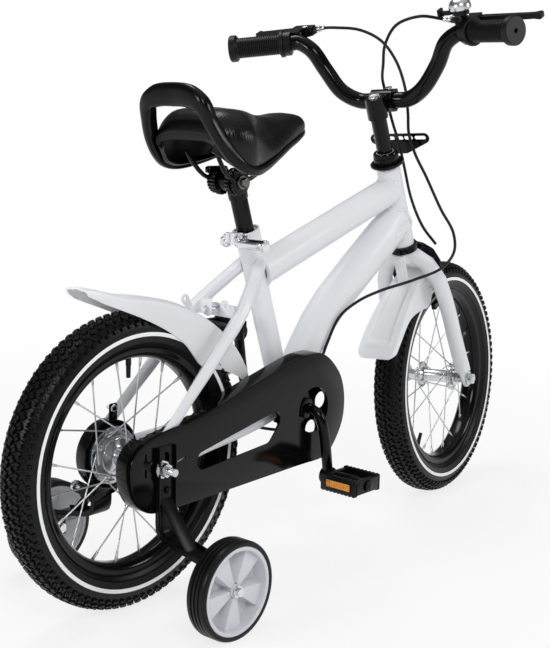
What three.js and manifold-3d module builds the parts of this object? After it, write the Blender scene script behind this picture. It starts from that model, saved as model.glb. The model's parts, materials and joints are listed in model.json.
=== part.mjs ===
// Child's bicycle with training wheels. Millimetres, +X forward, +Y left, +Z up.
// The origin is on the ground, under the rear axle, in the middle plane of the frame.
import * as THREE from 'three';
import { mergeVertices } from 'three/addons/utils/BufferGeometryUtils.js';
import Module from 'manifold-3d';

const wasm = await Module();
wasm.setup();

// Clearances and fineness
const seatGap = 0.3;
const runningGap = 0.5;
const overrun = 2;
const weldTolerance = 0.001;
const wheelFacets = 18;
const roundFacets = 16;
const smallFacets = 12;
const tinyFacets = 8;
const hexFacets = 6;

// Overall layout
const wheelRadius = 178;
const crankRise = 21.2;
const crankForward = 280;
const headRise = 210.2;
const headForward = 544.6;
const headAngle = THREE.MathUtils.degToRad(68.5);
const seatAngle = THREE.MathUtils.degToRad(71);
const forkRake = 27.2;
const restSteer = THREE.MathUtils.degToRad(9);
const crankRestAngle = THREE.MathUtils.degToRad(8);

// Tyres, rims and inner tubes
const tyreWidth = 45;
const treadWidth = 16;
const tyreHeight = 48.4;
const rimWidth = 32.4;
const rimFlange = 6.4;
const rimDepth = 13.7;
const valveRadius = 3.6;
const valveReach = 24;
const valvePitches = { rear: 0, front: 12 };

// Hubs, axles and spokes
const axleRadius = 4.8;
const spokePairs = 10;
const spokeRadius = 1;
const nippleRadius = 1.7;
const hubBarrelRadius = 9.5;
const hubCupRadius = 12.5;
const flangeThickness = 3;
const spokeHoleInset = 3.2;
const frontFlangeRadius = 20;
const frontFlangeOffset = 25.5;
const frontHubHalf = 33;
const frontAxleLength = 124;
const frontDropoutInside = 48.5;
const rearFlangeRadius = 22.6;
const brakeFlangeRadius = 32;
const rearRightFlange = 22.5;
const rearLeftFlange = 21.5;
const rearHubHalf = 43.5;
const rearAxleLength = 158.8;
const rearDropoutInside = 47.2;
const dropoutThickness = 4;
const dropoutRadius = 15;
const frontDropoutThickness = 3.5;
const axleNutAcross = 15;
const axleNutThickness = 7;
const washerThickness = 1.8;
const washerRadius = 11;

// Band brake cover
const coverRadius = 42;
const coverWall = 2;
const coverFace = 45.9;

// Drive
const chainLine = 36;
const chainPitch = 12.7;
const chainHeight = 8.6;
const chainWidth = 9;
const chainPlate = 1;
const chainwheelTeeth = 28;
const sprocketTeeth = 16;
const sprocketThickness = 2.6;
const toothRise = 3.2;
const crankLength = 89;
const crankRodRadius = 7;
const crankEyeRadius = 12;
const crankEyeThickness = 13;
const crankOffset = 71;
const pedalWidth = 57;
const pedalLength = 53;
const pedalHeight = 21;
const pedalSpindleRadius = 5;
const freewheelRadius = 17;

// Frame tubes
const tubeWall = 1.6;
const headTubeRadius = 17;
const headTubeFoot = 6;
const headTubeTop = 127;
const steererRadius = 12.7;
const steererBore = 11.5;
const quillRadius = 11.1;
const topTubeRadius = 20.3;
const topTubeHeadAlong = 93.5;
const topTubeSeatAlong = 190;
const seatTubeRadius = 14.3;
const seatTubeLength = 249;
const seatPostRadius = 11;
const seatPostLength = 145;
const seatPostTop = 303;
const shellRadius = 25;
const shellBore = 20.5;
const shellHalf = 30;
const stayRadius = 8.5;
const stayFacets = 10;

// Training wheels
const trainingRadius = 58;
const trainingHubRadius = 52;
const trainingOffset = 157.5;
const trainingWidth = 27;
const trainingForward = 10;

const materials = {
  whitePaint: material('white_paint', 0xe9ebef, 0.32, 0.05),
  whitePlastic: material('white_plastic', 0xf1f2f5, 0.45, 0),
  blackPaint: material('black_paint', 0x101113, 0.3, 0.1),
  blackPlastic: material('black_plastic', 0x17181a, 0.45, 0),
  blackRubber: material('black_rubber', 0x131314, 0.85, 0),
  vinyl: material('black_vinyl', 0x18181a, 0.5, 0),
  chrome: material('chrome', 0xc9ccd0, 0.14, 1),
  steel: material('steel', 0xa9adb2, 0.35, 1),
  greyPlastic: material('grey_plastic', 0xc4c7cd, 0.5, 0),
};

function material(name, color, roughness, metalness) {
  return new THREE.MeshStandardMaterial({ name, color, roughness, metalness });
}

// Closed solids, joined and cut

function solid(geometry) {
  const bare = geometry.clone();
  for (const name of Object.keys(bare.attributes)) {
    if (name !== 'position') bare.deleteAttribute(name);
  }
  const welded = mergeVertices(bare, weldTolerance);
  const position = welded.attributes.position.array;
  const corners = welded.index.array;
  const kept = [];
  for (let i = 0; i < corners.length; i += 3) {
    const [a, b, c] = [corners[i], corners[i + 1], corners[i + 2]];
    if (a !== b && b !== c && c !== a) kept.push(a, b, c);
  }
  if (signedVolume(position, kept) < 0) kept.reverse();
  return new wasm.Manifold(new wasm.Mesh({
    numProp: 3,
    vertProperties: new Float32Array(position),
    triVerts: new Uint32Array(kept),
  }));
}

function signedVolume(position, corners) {
  const at = (i) => new THREE.Vector3().fromArray(position, 3 * i);
  let sum = 0;
  for (let i = 0; i < corners.length; i += 3) {
    const [a, b, c] = [at(corners[i]), at(corners[i + 1]), at(corners[i + 2])];
    sum += a.dot(b.cross(c));
  }
  return sum;
}

function joined(...solids) {
  return solids.reduce((whole, piece) => whole.add(piece));
}

function cut(whole, ...tools) {
  return tools.reduce((left, tool) => left.subtract(tool), whole);
}

function moved(body, x, y, z) {
  return body.translate([x, y, z]);
}

function mirrored(body) {
  return body.mirror([0, 1, 0]);
}

// The same solid for the left side as built, or mirrored for the right
function onSide(side, body) {
  return side > 0 ? body : mirrored(body);
}

const sides = [['left', 1], ['right', -1]];

function geometryOf(body) {
  const found = body.getMesh();
  const geometry = new THREE.BufferGeometry();
  geometry.setAttribute('position', new THREE.Float32BufferAttribute(found.vertProperties, 3));
  geometry.setIndex(Array.from(found.triVerts));
  geometry.computeVertexNormals();
  return geometry;
}

function add(group, name, body, finish) {
  const mesh = new THREE.Mesh(geometryOf(body), finish);
  mesh.name = name;
  group.add(mesh);
  return mesh;
}

function v3(x, y, z) {
  return new THREE.Vector3(x, y, z);
}

function indexed(position, index) {
  const geometry = new THREE.BufferGeometry();
  geometry.setAttribute('position', new THREE.Float32BufferAttribute(position, 3));
  geometry.setIndex(index);
  return solid(geometry);
}

// A straight round bar between two points, its corners on the radius
function rod(from, to, radius, facets = roundFacets, endRadius = radius) {
  const along = to.clone().sub(from);
  const geometry = new THREE.CylinderGeometry(endRadius, radius, along.length(), facets);
  geometry.applyQuaternion(new THREE.Quaternion().setFromUnitVectors(v3(0, 1, 0), along.normalize()));
  const middle = from.clone().add(to).divideScalar(2);
  geometry.translate(middle.x, middle.y, middle.z);
  return solid(geometry);
}

// A round cutter between two points, its flats on the radius
function bore(from, to, radius, facets = roundFacets) {
  return rod(from, to, radius / Math.cos(Math.PI / facets), facets);
}

function crossRod(x, z, fromY, toY, radius, facets = roundFacets) {
  return rod(v3(x, fromY, z), v3(x, toY, z), radius, facets);
}

function crossBore(x, z, fromY, toY, radius, facets = roundFacets) {
  return bore(v3(x, fromY, z), v3(x, toY, z), radius, facets);
}

// A hexagonal head between two points, by its width across flats
function hex(from, to, acrossFlats) {
  return rod(from, to, acrossFlats / Math.sqrt(3), hexFacets);
}

function box(fromX, toX, fromY, toY, fromZ, toZ) {
  const geometry = new THREE.BoxGeometry(toX - fromX, toY - fromY, toZ - fromZ);
  geometry.translate((fromX + toX) / 2, (fromY + toY) / 2, (fromZ + toZ) / 2);
  return solid(geometry);
}

function roundSection(radius, facets) {
  const section = new THREE.Shape();
  for (let i = 0; i < facets; i += 1) {
    const angle = (i / facets) * 2 * Math.PI;
    const [x, y] = [radius * Math.cos(angle), radius * Math.sin(angle)];
    if (i === 0) section.moveTo(x, y);
    else section.lineTo(x, y);
  }
  section.closePath();
  return section;
}

function smoothPath(points) {
  return new THREE.CatmullRomCurve3(points, false, 'centripetal');
}

// A round tube of constant radius along a smooth line
function tubeAlong(points, radius, steps, facets = smallFacets) {
  const settings = { steps, bevelEnabled: false, extrudePath: smoothPath(points) };
  return solid(new THREE.ExtrudeGeometry(roundSection(radius, facets), settings));
}

// Triangles between one ring of points and the next
function wallIndex(rings) {
  const count = rings[0].length;
  const index = [];
  for (let r = 0; r + 1 < rings.length; r += 1) {
    for (let i = 0; i < count; i += 1) {
      const [a, b] = [r * count + i, r * count + ((i + 1) % count)];
      index.push(a, b, b + count, a, b + count, a + count);
    }
  }
  return index;
}

// Triangles that close one flat ring of points, in the ring's own order
function capIndex(ring) {
  const normal = v3(0, 0, 0);
  ring.forEach((p, i) => normal.add(p.clone().cross(ring[(i + 1) % ring.length])));
  normal.normalize();
  const u = ring[1].clone().sub(ring[0]).projectOnPlane(normal).normalize();
  const v = normal.clone().cross(u);
  const flat = ring.map((p) => new THREE.Vector2(p.dot(u), p.dot(v)));
  return THREE.ShapeUtils.triangulateShape(flat, []);
}

// A solid through rings of points, closed at both ends
function loft(rings) {
  const count = rings[0].length;
  const position = rings.flat().flatMap((p) => [p.x, p.y, p.z]);
  const index = wallIndex(rings);
  const last = (rings.length - 1) * count;
  for (const [i, j, k] of capIndex(rings[0])) index.push(k, j, i);
  for (const [i, j, k] of capIndex(rings[rings.length - 1])) index.push(last + i, last + j, last + k);
  return indexed(position, index);
}

// A thin sheet between an outer and an inner grid of points, closed along its edges
function sheet(outerRows, innerRows) {
  const rings = outerRows.map((row, i) => [...row, ...innerRows[i].slice().reverse()]);
  const count = rings[0].length;
  const position = rings.flat().flatMap((p) => [p.x, p.y, p.z]);
  const index = wallIndex(rings);
  const last = (rings.length - 1) * count;
  for (let i = 0; i + 1 < outerRows[0].length; i += 1) {
    const [a, b, c, d] = [i, i + 1, count - 2 - i, count - 1 - i];
    index.push(a, d, c, a, c, b);
    index.push(last + a, last + b, last + c, last + a, last + c, last + d);
  }
  return indexed(position, index);
}

// Elliptical rings along a line in the middle plane, each station with x, z, wide and tall
function flatSweep(stations, grow, steps, facets = roundFacets) {
  const path = smoothPath(stations.map((s) => v3(s.x, s.y ?? 0, s.z)));
  const size = smoothPath(stations.map((s) => v3(s.wide, s.tall, 0)));
  const rings = [];
  for (let k = 0; k <= steps; k += 1) {
    const along = path.getTangent(k / steps);
    const up = v3(-along.z, 0, along.x).normalize();
    const across = up.clone().cross(along).normalize();
    const extent = size.getPoint(k / steps);
    const ring = [];
    for (let i = 0; i < facets; i += 1) {
      const angle = (i / facets) * 2 * Math.PI;
      const point = path.getPoint(k / steps);
      point.addScaledVector(across, (extent.x + grow) * Math.cos(angle));
      ring.push(point.addScaledVector(up, (extent.y + grow) * Math.sin(angle)));
    }
    rings.push(ring);
  }
  return loft(rings);
}

// A body of revolution about Y whose profile of radius and y closes on itself.
// Its flats, not its corners, are at the radius, and one flat faces down.
function wheelTurned(profile, facets = wheelFacets) {
  const outward = 1 / Math.cos(Math.PI / facets);
  const points = profile.map(([radius, y]) => new THREE.Vector2(radius * outward, y));
  points.push(points[0].clone());
  const geometry = new THREE.LatheGeometry(points, facets);
  geometry.rotateY(Math.PI / facets);
  return solid(geometry);
}

// The radius of the flats of a many-sided round whose corners are on the radius given
function inscribed(radius, facets) {
  return radius * Math.cos(Math.PI / facets);
}

// A profile listed for one side, from the middle plane round to the middle plane again
function bothSides(half) {
  const other = half.filter(([, y]) => y !== 0).map(([radius, y]) => [radius, -y]);
  return [...half, ...other.reverse()];
}

function pathShape(points) {
  const shape = new THREE.Shape();
  points.forEach(([x, z], i) => (i === 0 ? shape.moveTo(x, z) : shape.lineTo(x, z)));
  shape.closePath();
  return shape;
}

// A plate outlined in X and Z, from one Y to another
function plate(shape, fromY, toY, curveSegments = tinyFacets) {
  const settings = { depth: toY - fromY, bevelEnabled: false, curveSegments };
  const geometry = new THREE.ExtrudeGeometry(shape, settings);
  geometry.rotateX(Math.PI / 2);
  geometry.translate(0, toY, 0);
  return solid(geometry);
}

// A rounded slot along Y between two centres in X and Z
function slotAlongY(from, to, radius, fromY, toY) {
  const ends = [from, to].map(([x, z]) => crossBore(x, z, fromY, toY, radius, smallFacets));
  const length = Math.hypot(to[0] - from[0], to[1] - from[1]);
  const nx = (-(to[1] - from[1]) / length) * radius;
  const nz = ((to[0] - from[0]) / length) * radius;
  const middle = plate(pathShape([
    [from[0] + nx, from[1] + nz],
    [from[0] - nx, from[1] - nz],
    [to[0] - nx, to[1] - nz],
    [to[0] + nx, to[1] + nz],
  ]), fromY, toY);
  return joined(middle, ...ends);
}

// Groups: the frame's own, the steering axis and what turns on it

const root = new THREE.Group();
root.name = 'kids_bike';
const frame = new THREE.Group();
root.add(frame);

const headBottom = v3(headForward, 0, wheelRadius + headRise);
const headAxis = v3(-Math.cos(headAngle), 0, Math.sin(headAngle));
const headAhead = v3(Math.sin(headAngle), 0, Math.cos(headAngle));
const crankHeight = wheelRadius + crankRise;
const bottomBracket = v3(crankForward, 0, crankHeight);
const seatAxis = v3(-Math.cos(seatAngle), 0, Math.sin(seatAngle));

function headPoint(along, ahead = 0) {
  return headBottom.clone().addScaledVector(headAxis, along).addScaledVector(headAhead, ahead);
}

function seatPoint(along, y = 0) {
  return bottomBracket.clone().addScaledVector(seatAxis, along).setY(y);
}

// At rest the steered wheel leans, so its tread edge is the lowest point and touches the ground
const wheelLean = Math.asin(Math.sin(restSteer) * Math.cos(headAngle));
const frontAxleHeight = wheelRadius * Math.cos(wheelLean) + (treadWidth / 2) * Math.sin(wheelLean);
const rakeRise = forkRake * Math.cos(headAngle) * Math.cos(restSteer);
const frontAxleAlong = -(headBottom.z - frontAxleHeight + rakeRise) / Math.sin(headAngle);

const steering = new THREE.Group();
steering.position.copy(headBottom);
steering.rotation.y = -(Math.PI / 2 - headAngle);
root.add(steering);
const steered = new THREE.Group();
steered.rotation.z = restSteer;
steering.add(steered);

// Wheels

const beadRadius = wheelRadius - tyreHeight;
const rimLipRadius = beadRadius + rimFlange;
const rimInnerRadius = rimLipRadius - rimDepth;
const tyreWallShares = [[0.9, 0.82], [0.6, 1]];
const tyreLiningShares = [[0.42, 0.8], [0.89, 0]];
const beadWidthShares = [0.86, 0.62, 0.5];

function tyre() {
  const bead = beadWidthShares.map((share) => (share * rimWidth) / 2);
  const place = ([rise, wide]) => [beadRadius + rise * tyreHeight, (wide * tyreWidth) / 2];
  return wheelTurned(bothSides([
    [wheelRadius, treadWidth / 2],
    ...tyreWallShares.map(place),
    [rimLipRadius + 2 * seatGap, bead[0]],
    [beadRadius, bead[1]],
    [beadRadius, bead[2]],
    ...tyreLiningShares.map(place),
  ]));
}

const rimOuterShares = [[0, 0], [0, 0.37], [0.4, 0.88], [1, 1]];
const rimInnerShares = [[1, 0.889], [0.2, 0.55], [0.131, 0]];

function rim() {
  const place = ([rise, wide]) => [rimInnerRadius + rise * rimDepth, (wide * rimWidth) / 2];
  return wheelTurned(bothSides([...rimOuterShares.map(place), ...rimInnerShares.map(place)]));
}

// The rim with the valve stem of its inner tube standing in it
function rimWithValve(pitches) {
  const angle = (pitches * Math.PI) / spokePairs;
  const [foot, tip] = [rimInnerRadius + (rimDepth * rimInnerShares[2][0]) / 2, rimInnerRadius - valveReach]
    .map((radius) => v3(radius * Math.sin(angle), 0, radius * Math.cos(angle)));
  return joined(rim(), rod(foot, tip, valveRadius, hexFacets));
}

// One spoke with its nipple, from its hole in the flange to just short of the rim
function spoke(flangeAngle, flangeRadius, flangeY, rimAngle) {
  const at = (angle, radius, y) => v3(radius * Math.sin(angle), y, radius * Math.cos(angle));
  const foot = at(flangeAngle, flangeRadius, flangeY);
  const reach = at(rimAngle, rimInnerRadius, 0);
  const along = reach.clone().sub(foot).normalize();
  const lean = along.angleTo(at(rimAngle, 1, 0));
  const backOff = seatGap / Math.cos(lean) + nippleRadius * Math.tan(lean);
  const tip = reach.addScaledVector(along, -backOff);
  const across = at(rimAngle + Math.PI / 2, 1, 0).cross(along).normalize();
  const over = along.clone().cross(across);
  const ring = (centre, radius) => [[1, 0], [-0.5, 0.87], [-0.5, -0.87]].map(([u, v]) => (
    centre.clone().addScaledVector(across, u * radius).addScaledVector(over, v * radius)
  ));
  return loft([ring(foot, spokeRadius), ring(tip, nippleRadius)]);
}

const spokeLead = 4;

// Leading and trailing spokes leave the flange on its two faces, so they pass at their crossing
function spokes(leftRadius, leftY, rightRadius, rightY) {
  const pitch = Math.PI / spokePairs;
  const pieces = [];
  for (let k = 0; k < 2 * spokePairs; k += 1) {
    const [radius, y] = k % 2 === 0 ? [leftRadius, leftY] : [rightRadius, rightY];
    const trailing = Math.floor(k / 2) % 2;
    const lead = trailing ? -spokeLead : spokeLead;
    const face = trailing ? -flangeThickness / 2 : flangeThickness / 2;
    const rimAngle = (k + 0.5) * pitch;
    pieces.push(spoke(rimAngle + lead * pitch, radius, y + face, rimAngle));
  }
  return pieces;
}

// A hub profile side: barrel, flange and bearing cup out to its end
function hubSide(flangeOffset, flangeRadius, end, endRadius = hubCupRadius) {
  const half = flangeThickness / 2;
  return [
    [hubBarrelRadius, 0],
    [hubBarrelRadius, flangeOffset - 2 * flangeThickness],
    [hubCupRadius, flangeOffset - half],
    [flangeRadius, flangeOffset - half],
    [flangeRadius, flangeOffset + half],
    [endRadius, flangeOffset + half],
    [endRadius, end],
    [axleRadius + runningGap, end],
  ];
}

function frontHub() {
  const shell = wheelTurned(bothSides(hubSide(frontFlangeOffset, frontFlangeRadius, frontHubHalf)), stayFacets);
  const hole = frontFlangeRadius - spokeHoleInset;
  return joined(shell, ...spokes(hole, frontFlangeOffset, hole, -frontFlangeOffset));
}

// The left flange is wider, the right end carries the freewheel's seat
function rearHub() {
  const left = hubSide(rearLeftFlange, brakeFlangeRadius, rearHubHalf);
  const seat = inscribed(freewheelRadius - runningGap, stayFacets);
  const right = hubSide(rearRightFlange, rearFlangeRadius, rearHubHalf, seat).map(([radius, y]) => [radius, -y]);
  const shell = wheelTurned([...left, ...right.reverse().slice(0, -1)], stayFacets);
  const wires = spokes(brakeFlangeRadius - spokeHoleInset, rearLeftFlange,
    rearFlangeRadius - spokeHoleInset, -rearRightFlange);
  return joined(shell, brakeDrum(), ...wires);
}

const drumRadius = 35;
const drumWidth = 11;
const drumWall = 3;
const drumFoot = rearLeftFlange + flangeThickness / 2 + 2 * spokeRadius + seatGap;

// The drum that the brake band grips, screwed on the hub's left end
function brakeDrum() {
  return wheelTurned([
    [hubCupRadius - overrun, drumFoot],
    [drumRadius, drumFoot],
    [drumRadius, drumFoot + drumWidth],
    [drumRadius - drumWall, drumFoot + drumWidth],
    [drumRadius - drumWall, drumFoot + drumWall],
    [hubCupRadius - overrun, drumFoot + drumWall],
  ], roundFacets);
}

const stackRadius = 8.2;

// An axle with a locknut stack inside each dropout and a washer and nut outside it
function axle(length, hubEnd, leftFace, rightFace, leftSeat, rightSeat) {
  const half = length / 2;
  const nut = (seat) => joined(
    crossRod(0, 0, seat, seat + washerThickness, washerRadius, tinyFacets),
    hex(v3(0, seat + washerThickness - seatGap, 0), v3(0, seat + washerThickness + axleNutThickness, 0), axleNutAcross),
  );
  const stack = (face) => crossRod(0, 0, hubEnd + seatGap, face - seatGap, stackRadius, hexFacets);
  return joined(
    crossRod(0, 0, -half, half, axleRadius, tinyFacets),
    stack(leftFace),
    mirrored(stack(rightFace)),
    nut(leftSeat),
    mirrored(nut(rightSeat)),
  );
}

function addWheels() {
  const rear = new THREE.Group();
  rear.position.set(0, 0, wheelRadius);
  root.add(rear);
  const front = new THREE.Group();
  front.position.set(forkRake, 0, frontAxleAlong);
  front.rotation.y = Math.atan2(Math.cos(headAngle) * Math.cos(restSteer), Math.sin(headAngle));
  steered.add(front);
  for (const [group, name] of [[rear, 'rear'], [front, 'front']]) {
    add(group, `${name}_tyre`, tyre(), materials.blackRubber);
    add(group, `${name}_rim`, rimWithValve(valvePitches[name]), materials.blackPaint);
  }
  add(rear, 'rear_hub_and_spokes', rearHub(), materials.chrome);
  add(front, 'front_hub_and_spokes', frontHub(), materials.chrome);
}

addWheels();

// Frame tubes

const shellEnvelope = (gap) => crossBore(crankForward, crankHeight, -2 * shellHalf, 2 * shellHalf, shellRadius + gap);
const headEnvelope = (gap) => bore(headPoint(-headTubeTop), headPoint(2 * headTubeTop), headTubeRadius + gap);
const seatTubeEnvelope = (gap) => bore(seatPoint(0), seatPoint(2 * seatTubeLength), seatTubeRadius + gap);

function headTube() {
  const outer = rod(headPoint(headTubeFoot), headPoint(headTubeTop), headTubeRadius);
  return cut(outer, bore(headPoint(0), headPoint(headTubeTop + overrun), headTubeRadius - tubeWall));
}

// The seat tube stands on the shell that the crank turns in, welded to it
function seatTube() {
  const tube = rod(seatPoint(shellRadius / 2), seatPoint(seatTubeLength), seatTubeRadius);
  const shell = crossRod(crankForward, crankHeight, -shellHalf, shellHalf, shellRadius);
  const post = bore(seatPoint(0), seatPoint(seatTubeLength + overrun), seatPostRadius + seatGap);
  const passage = crossBore(crankForward, crankHeight, -2 * shellHalf, 2 * shellHalf, shellBore);
  return cut(joined(tube, shell), post, passage, seatSlot());
}

const seatSlotWidth = 3;
const seatSlotDepth = 22;

// The slot behind the top of the seat tube that the clamp closes
function seatSlot() {
  const from = seatPoint(seatTubeLength - seatSlotDepth);
  return box(from.x - 3 * seatTubeRadius, from.x, -seatSlotWidth / 2, seatSlotWidth / 2,
    from.z, from.z + 2 * seatSlotDepth);
}

// Down tube stations as shares of the way from the crank forward and up to the head
const downTubeRunShares = [0, 0.065, 0.154, 0.264, 0.386, 0.61, 0.858, 1];
const downTubeRiseShares = [0, 0.14, 0.269, 0.414, 0.534, 0.705, 0.891, 1];
const downTubeWideShares = [0.87, 0.87, 0.9, 0.92, 0.95, 1, 0.98, 0.86];
const downTubeTallShares = [0.8, 0.82, 0.86, 0.9, 0.92, 0.94, 0.96, 0.88];
const downTubeWide = 25;
const downTubeTall = 29.5;
const downTubeHeadAlong = 48.5;
const downTubeSteps = 7;

function downTubeSolid(grow, facets = smallFacets) {
  const end = headPoint(downTubeHeadAlong);
  const stations = downTubeRunShares.map((share, i) => ({
    x: crankForward + share * (end.x - crankForward),
    z: crankHeight + downTubeRiseShares[i] * (end.z - crankHeight),
    wide: downTubeWideShares[i] * downTubeWide,
    tall: downTubeTallShares[i] * downTubeTall,
  }));
  return flatSweep(stations, grow, downTubeSteps, facets);
}

function downTube() {
  const hollow = cut(downTubeSolid(0), downTubeSolid(-tubeWall, hexFacets));
  return cut(hollow, shellEnvelope(seatGap), headEnvelope(seatGap), seatTubeEnvelope(seatGap));
}

const mitreShare = 0.5;

function topTube() {
  const [seatEnd, headEnd] = [seatPoint(topTubeSeatAlong), headPoint(topTubeHeadAlong)];
  const along = headEnd.clone().sub(seatEnd).normalize();
  const from = seatEnd.addScaledVector(along, mitreShare * seatTubeRadius);
  const to = headEnd.addScaledVector(along, -mitreShare * headTubeRadius);
  const outer = rod(from, to, topTubeRadius, smallFacets);
  const overshoot = along.clone().multiplyScalar(overrun);
  const inner = bore(from.clone().sub(overshoot), to.clone().add(overshoot), topTubeRadius - 2 * tubeWall, smallFacets);
  const mitred = cut(outer, inner, seatTubeEnvelope(seatGap), headEnvelope(seatGap));
  return cut(mitred, downTubeSolid(seatGap));
}

// Chainstay: from the shell, out past the tyre, to the flat dropout round the axle
const chainStayRunShares = [0.93, 0.77, 0.63, 0.36, 0.13];
const chainStaySideShares = [0.37, 0.5, 0.69, 0.82, 1];
const chainStayTallShares = [1, 1, 1, 1, 0.9];
const chainStayWideShares = [1, 1, 0.95, 0.85, 0.2];
const dropoutSlotReach = 26;

function chainStay() {
  const plateY = rearDropoutInside + dropoutThickness / 2;
  const stations = chainStayRunShares.map((share, i) => ({
    x: share * crankForward,
    y: chainStaySideShares[i] * plateY,
    z: wheelRadius + share * crankRise,
    wide: chainStayWideShares[i] * stayRadius,
    tall: chainStayTallShares[i] * stayRadius,
  }));
  const tube = flatSweep(stations, 0, 5, tinyFacets);
  return cut(joined(tube, dropout()), axleHole(), shellEnvelope(seatGap), seatTubeEnvelope(seatGap));
}

function axleHole() {
  return crossBore(0, wheelRadius, rearDropoutInside - overrun, rearDropoutInside + dropoutThickness + overrun,
    axleRadius + seatGap, tinyFacets);
}

// The plate welded to the chainstay's end, rounded behind the axle and raised at the seat stay
const dropoutOutlineShares = [[2.6, 0.45], [0.9, 1.9], [-0.3, 1.9]];

function dropout() {
  const shape = new THREE.Shape();
  shape.absarc(0, wheelRadius, dropoutRadius, Math.PI * 0.85, Math.PI * 1.5, false);
  shape.lineTo(dropoutOutlineShares[0][0] * dropoutRadius, wheelRadius - dropoutRadius / 2);
  for (const [x, z] of dropoutOutlineShares) {
    shape.lineTo(x * dropoutRadius, wheelRadius + z * dropoutRadius);
  }
  shape.closePath();
  return plate(shape, rearDropoutInside, rearDropoutInside + dropoutThickness);
}

// Seat stay: down from the seat tube, round the mudguard, to the top of the dropout
const seatStayTop = 206;
const seatStayTopSide = 13;
const seatStayBendForward = 150;
const seatStayBendRise = 162;
const seatStayBendSide = 41;
const seatStayFootShares = [0.35, 1.75];

function seatStayPoints() {
  const top = seatPoint(seatStayTop, seatStayTopSide);
  const bend = v3(seatStayBendForward, seatStayBendSide, wheelRadius + seatStayBendRise);
  const plateY = rearDropoutInside + dropoutThickness / 2;
  const [x, z] = seatStayFootShares.map((share) => share * dropoutRadius);
  const foot = v3(x, plateY, wheelRadius + z);
  return { top, bend, foot };
}

const seatStayFlatReach = 48;
const seatStayRoundReach = 84;

function seatStay() {
  const { top, bend, foot } = seatStayPoints();
  const down = foot.clone().sub(bend).normalize();
  const before = bend.clone().addScaledVector(top.clone().sub(bend).normalize(), stayRadius * 1.5);
  const after = bend.clone().addScaledVector(down, stayRadius * 1.5);
  const flat = foot.clone().addScaledVector(down, -seatStayFlatReach);
  const round = foot.clone().addScaledVector(down, -seatStayRoundReach);
  const station = (p, wide, tall) => ({ x: p.x, y: p.y, z: p.z, wide, tall });
  const tube = flatSweep([
    station(top, stayRadius, stayRadius),
    station(before, stayRadius, stayRadius),
    station(after, stayRadius, stayRadius),
    station(round, stayRadius * 0.7, stayRadius),
    station(flat, dropoutThickness / 2, stayRadius),
    station(foot, dropoutThickness / 2, stayRadius),
  ], 0, 7, tinyFacets);
  return cut(tube, grownDropout(), seatTubeEnvelope(seatGap));
}

function grownDropout() {
  return box(-3 * dropoutRadius, 3 * dropoutRadius, rearDropoutInside - seatGap - overrun,
    rearDropoutInside + dropoutThickness + overrun, 0, wheelRadius + 1.9 * dropoutRadius + seatGap);
}

const stayBendGap = 2.5;
const bridgeThickness = 5;
const bridgeHeight = 15;
const bridgeBoltRadius = 3;
const bridgeBoltReach = 9;

// The bridge between the stays, welded to the left one, with the bolt that holds the mudguard
function stayBridge() {
  const { bend } = seatStayPoints();
  const [fromX, toX] = [bend.x - bridgeThickness / 2, bend.x + bridgeThickness / 2];
  const reach = bend.y - stayRadius;
  const plateBody = box(fromX, toX, -reach + stayBendGap, reach + overrun, bend.z - bridgeHeight / 2, bend.z + bridgeHeight / 2);
  return joined(plateBody, rod(v3(fromX - bridgeBoltReach, 0, bend.z), v3(toX, 0, bend.z), bridgeBoltRadius, hexFacets));
}

const torqueBoltForward = 17;
const torqueBoltRise = 51;
const torqueBoltRadius = 3;

// The bolt at the foot of the left stay that keeps the brake cover from turning
function torqueBolt() {
  const [x, z] = [torqueBoltForward, wheelRadius + torqueBoltRise];
  const outside = rearDropoutInside + dropoutThickness;
  return crossRod(x, z, coverFace - 2 * coverWall, outside + torqueBoltRadius, torqueBoltRadius, hexFacets);
}

function addFrameTubes() {
  add(frame, 'head_tube', headTube(), materials.whitePaint);
  add(frame, 'seat_tube_and_shell', seatTube(), materials.whitePaint);
  add(frame, 'down_tube', downTube(), materials.whitePaint);
  add(frame, 'top_tube', topTube(), materials.whitePaint);
  for (const [name, side] of sides) {
    add(frame, `chainstay_${name}`, onSide(side, chainStay()), materials.whitePaint);
    const stay = side > 0 ? joined(seatStay(), stayBridge(), torqueBolt()) : seatStay();
    add(frame, `seatstay_${name}`, onSide(side, stay), materials.whitePaint);
  }
}

addFrameTubes();

// Bottom bracket, crank, chainwheel, chain and freewheel

const cupFlangeRadius = 27;
const cupFlangeThickness = 3;
const cupDepth = 12;
const crankSpindleRadius = 7.5;
const coneRadius = 14;

function pitchRadius(teeth) {
  return chainPitch / (2 * Math.sin(Math.PI / teeth));
}

// A bearing cup pressed into one end of the shell, its flange bearing on the end face
function bearingCup() {
  const face = shellHalf + seatGap;
  const passage = crankSpindleRadius + runningGap;
  const barrel = inscribed(shellBore - seatGap, smallFacets);
  return moved(wheelTurned([
    [passage, face - cupDepth],
    [barrel, face - cupDepth],
    [barrel, face],
    [cupFlangeRadius, face],
    [cupFlangeRadius, face + cupFlangeThickness],
    [passage, face + cupFlangeThickness],
  ], smallFacets), crankForward, 0, crankHeight);
}

// Toothed plate outline: valley, flank and tip angles as shares of one tooth
const toothShares = [[-0.24, 0], [0, 1], [0.24, 0]];

function toothedShape(teeth) {
  const points = [];
  const step = (2 * Math.PI) / teeth;
  const valley = pitchRadius(teeth) - toothRise;
  for (let k = 0; k < teeth; k += 1) {
    for (const [turn, rise] of toothShares) {
      const [angle, radius] = [(k + turn) * step, valley + rise * 2 * toothRise];
      points.push([radius * Math.cos(angle), radius * Math.sin(angle)]);
    }
  }
  return pathShape(points);
}

const chainwheelOpenings = 5;
const chainwheelOpeningShare = 0.2;
const chainwheelOpeningPlaceShare = 0.6;

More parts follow.
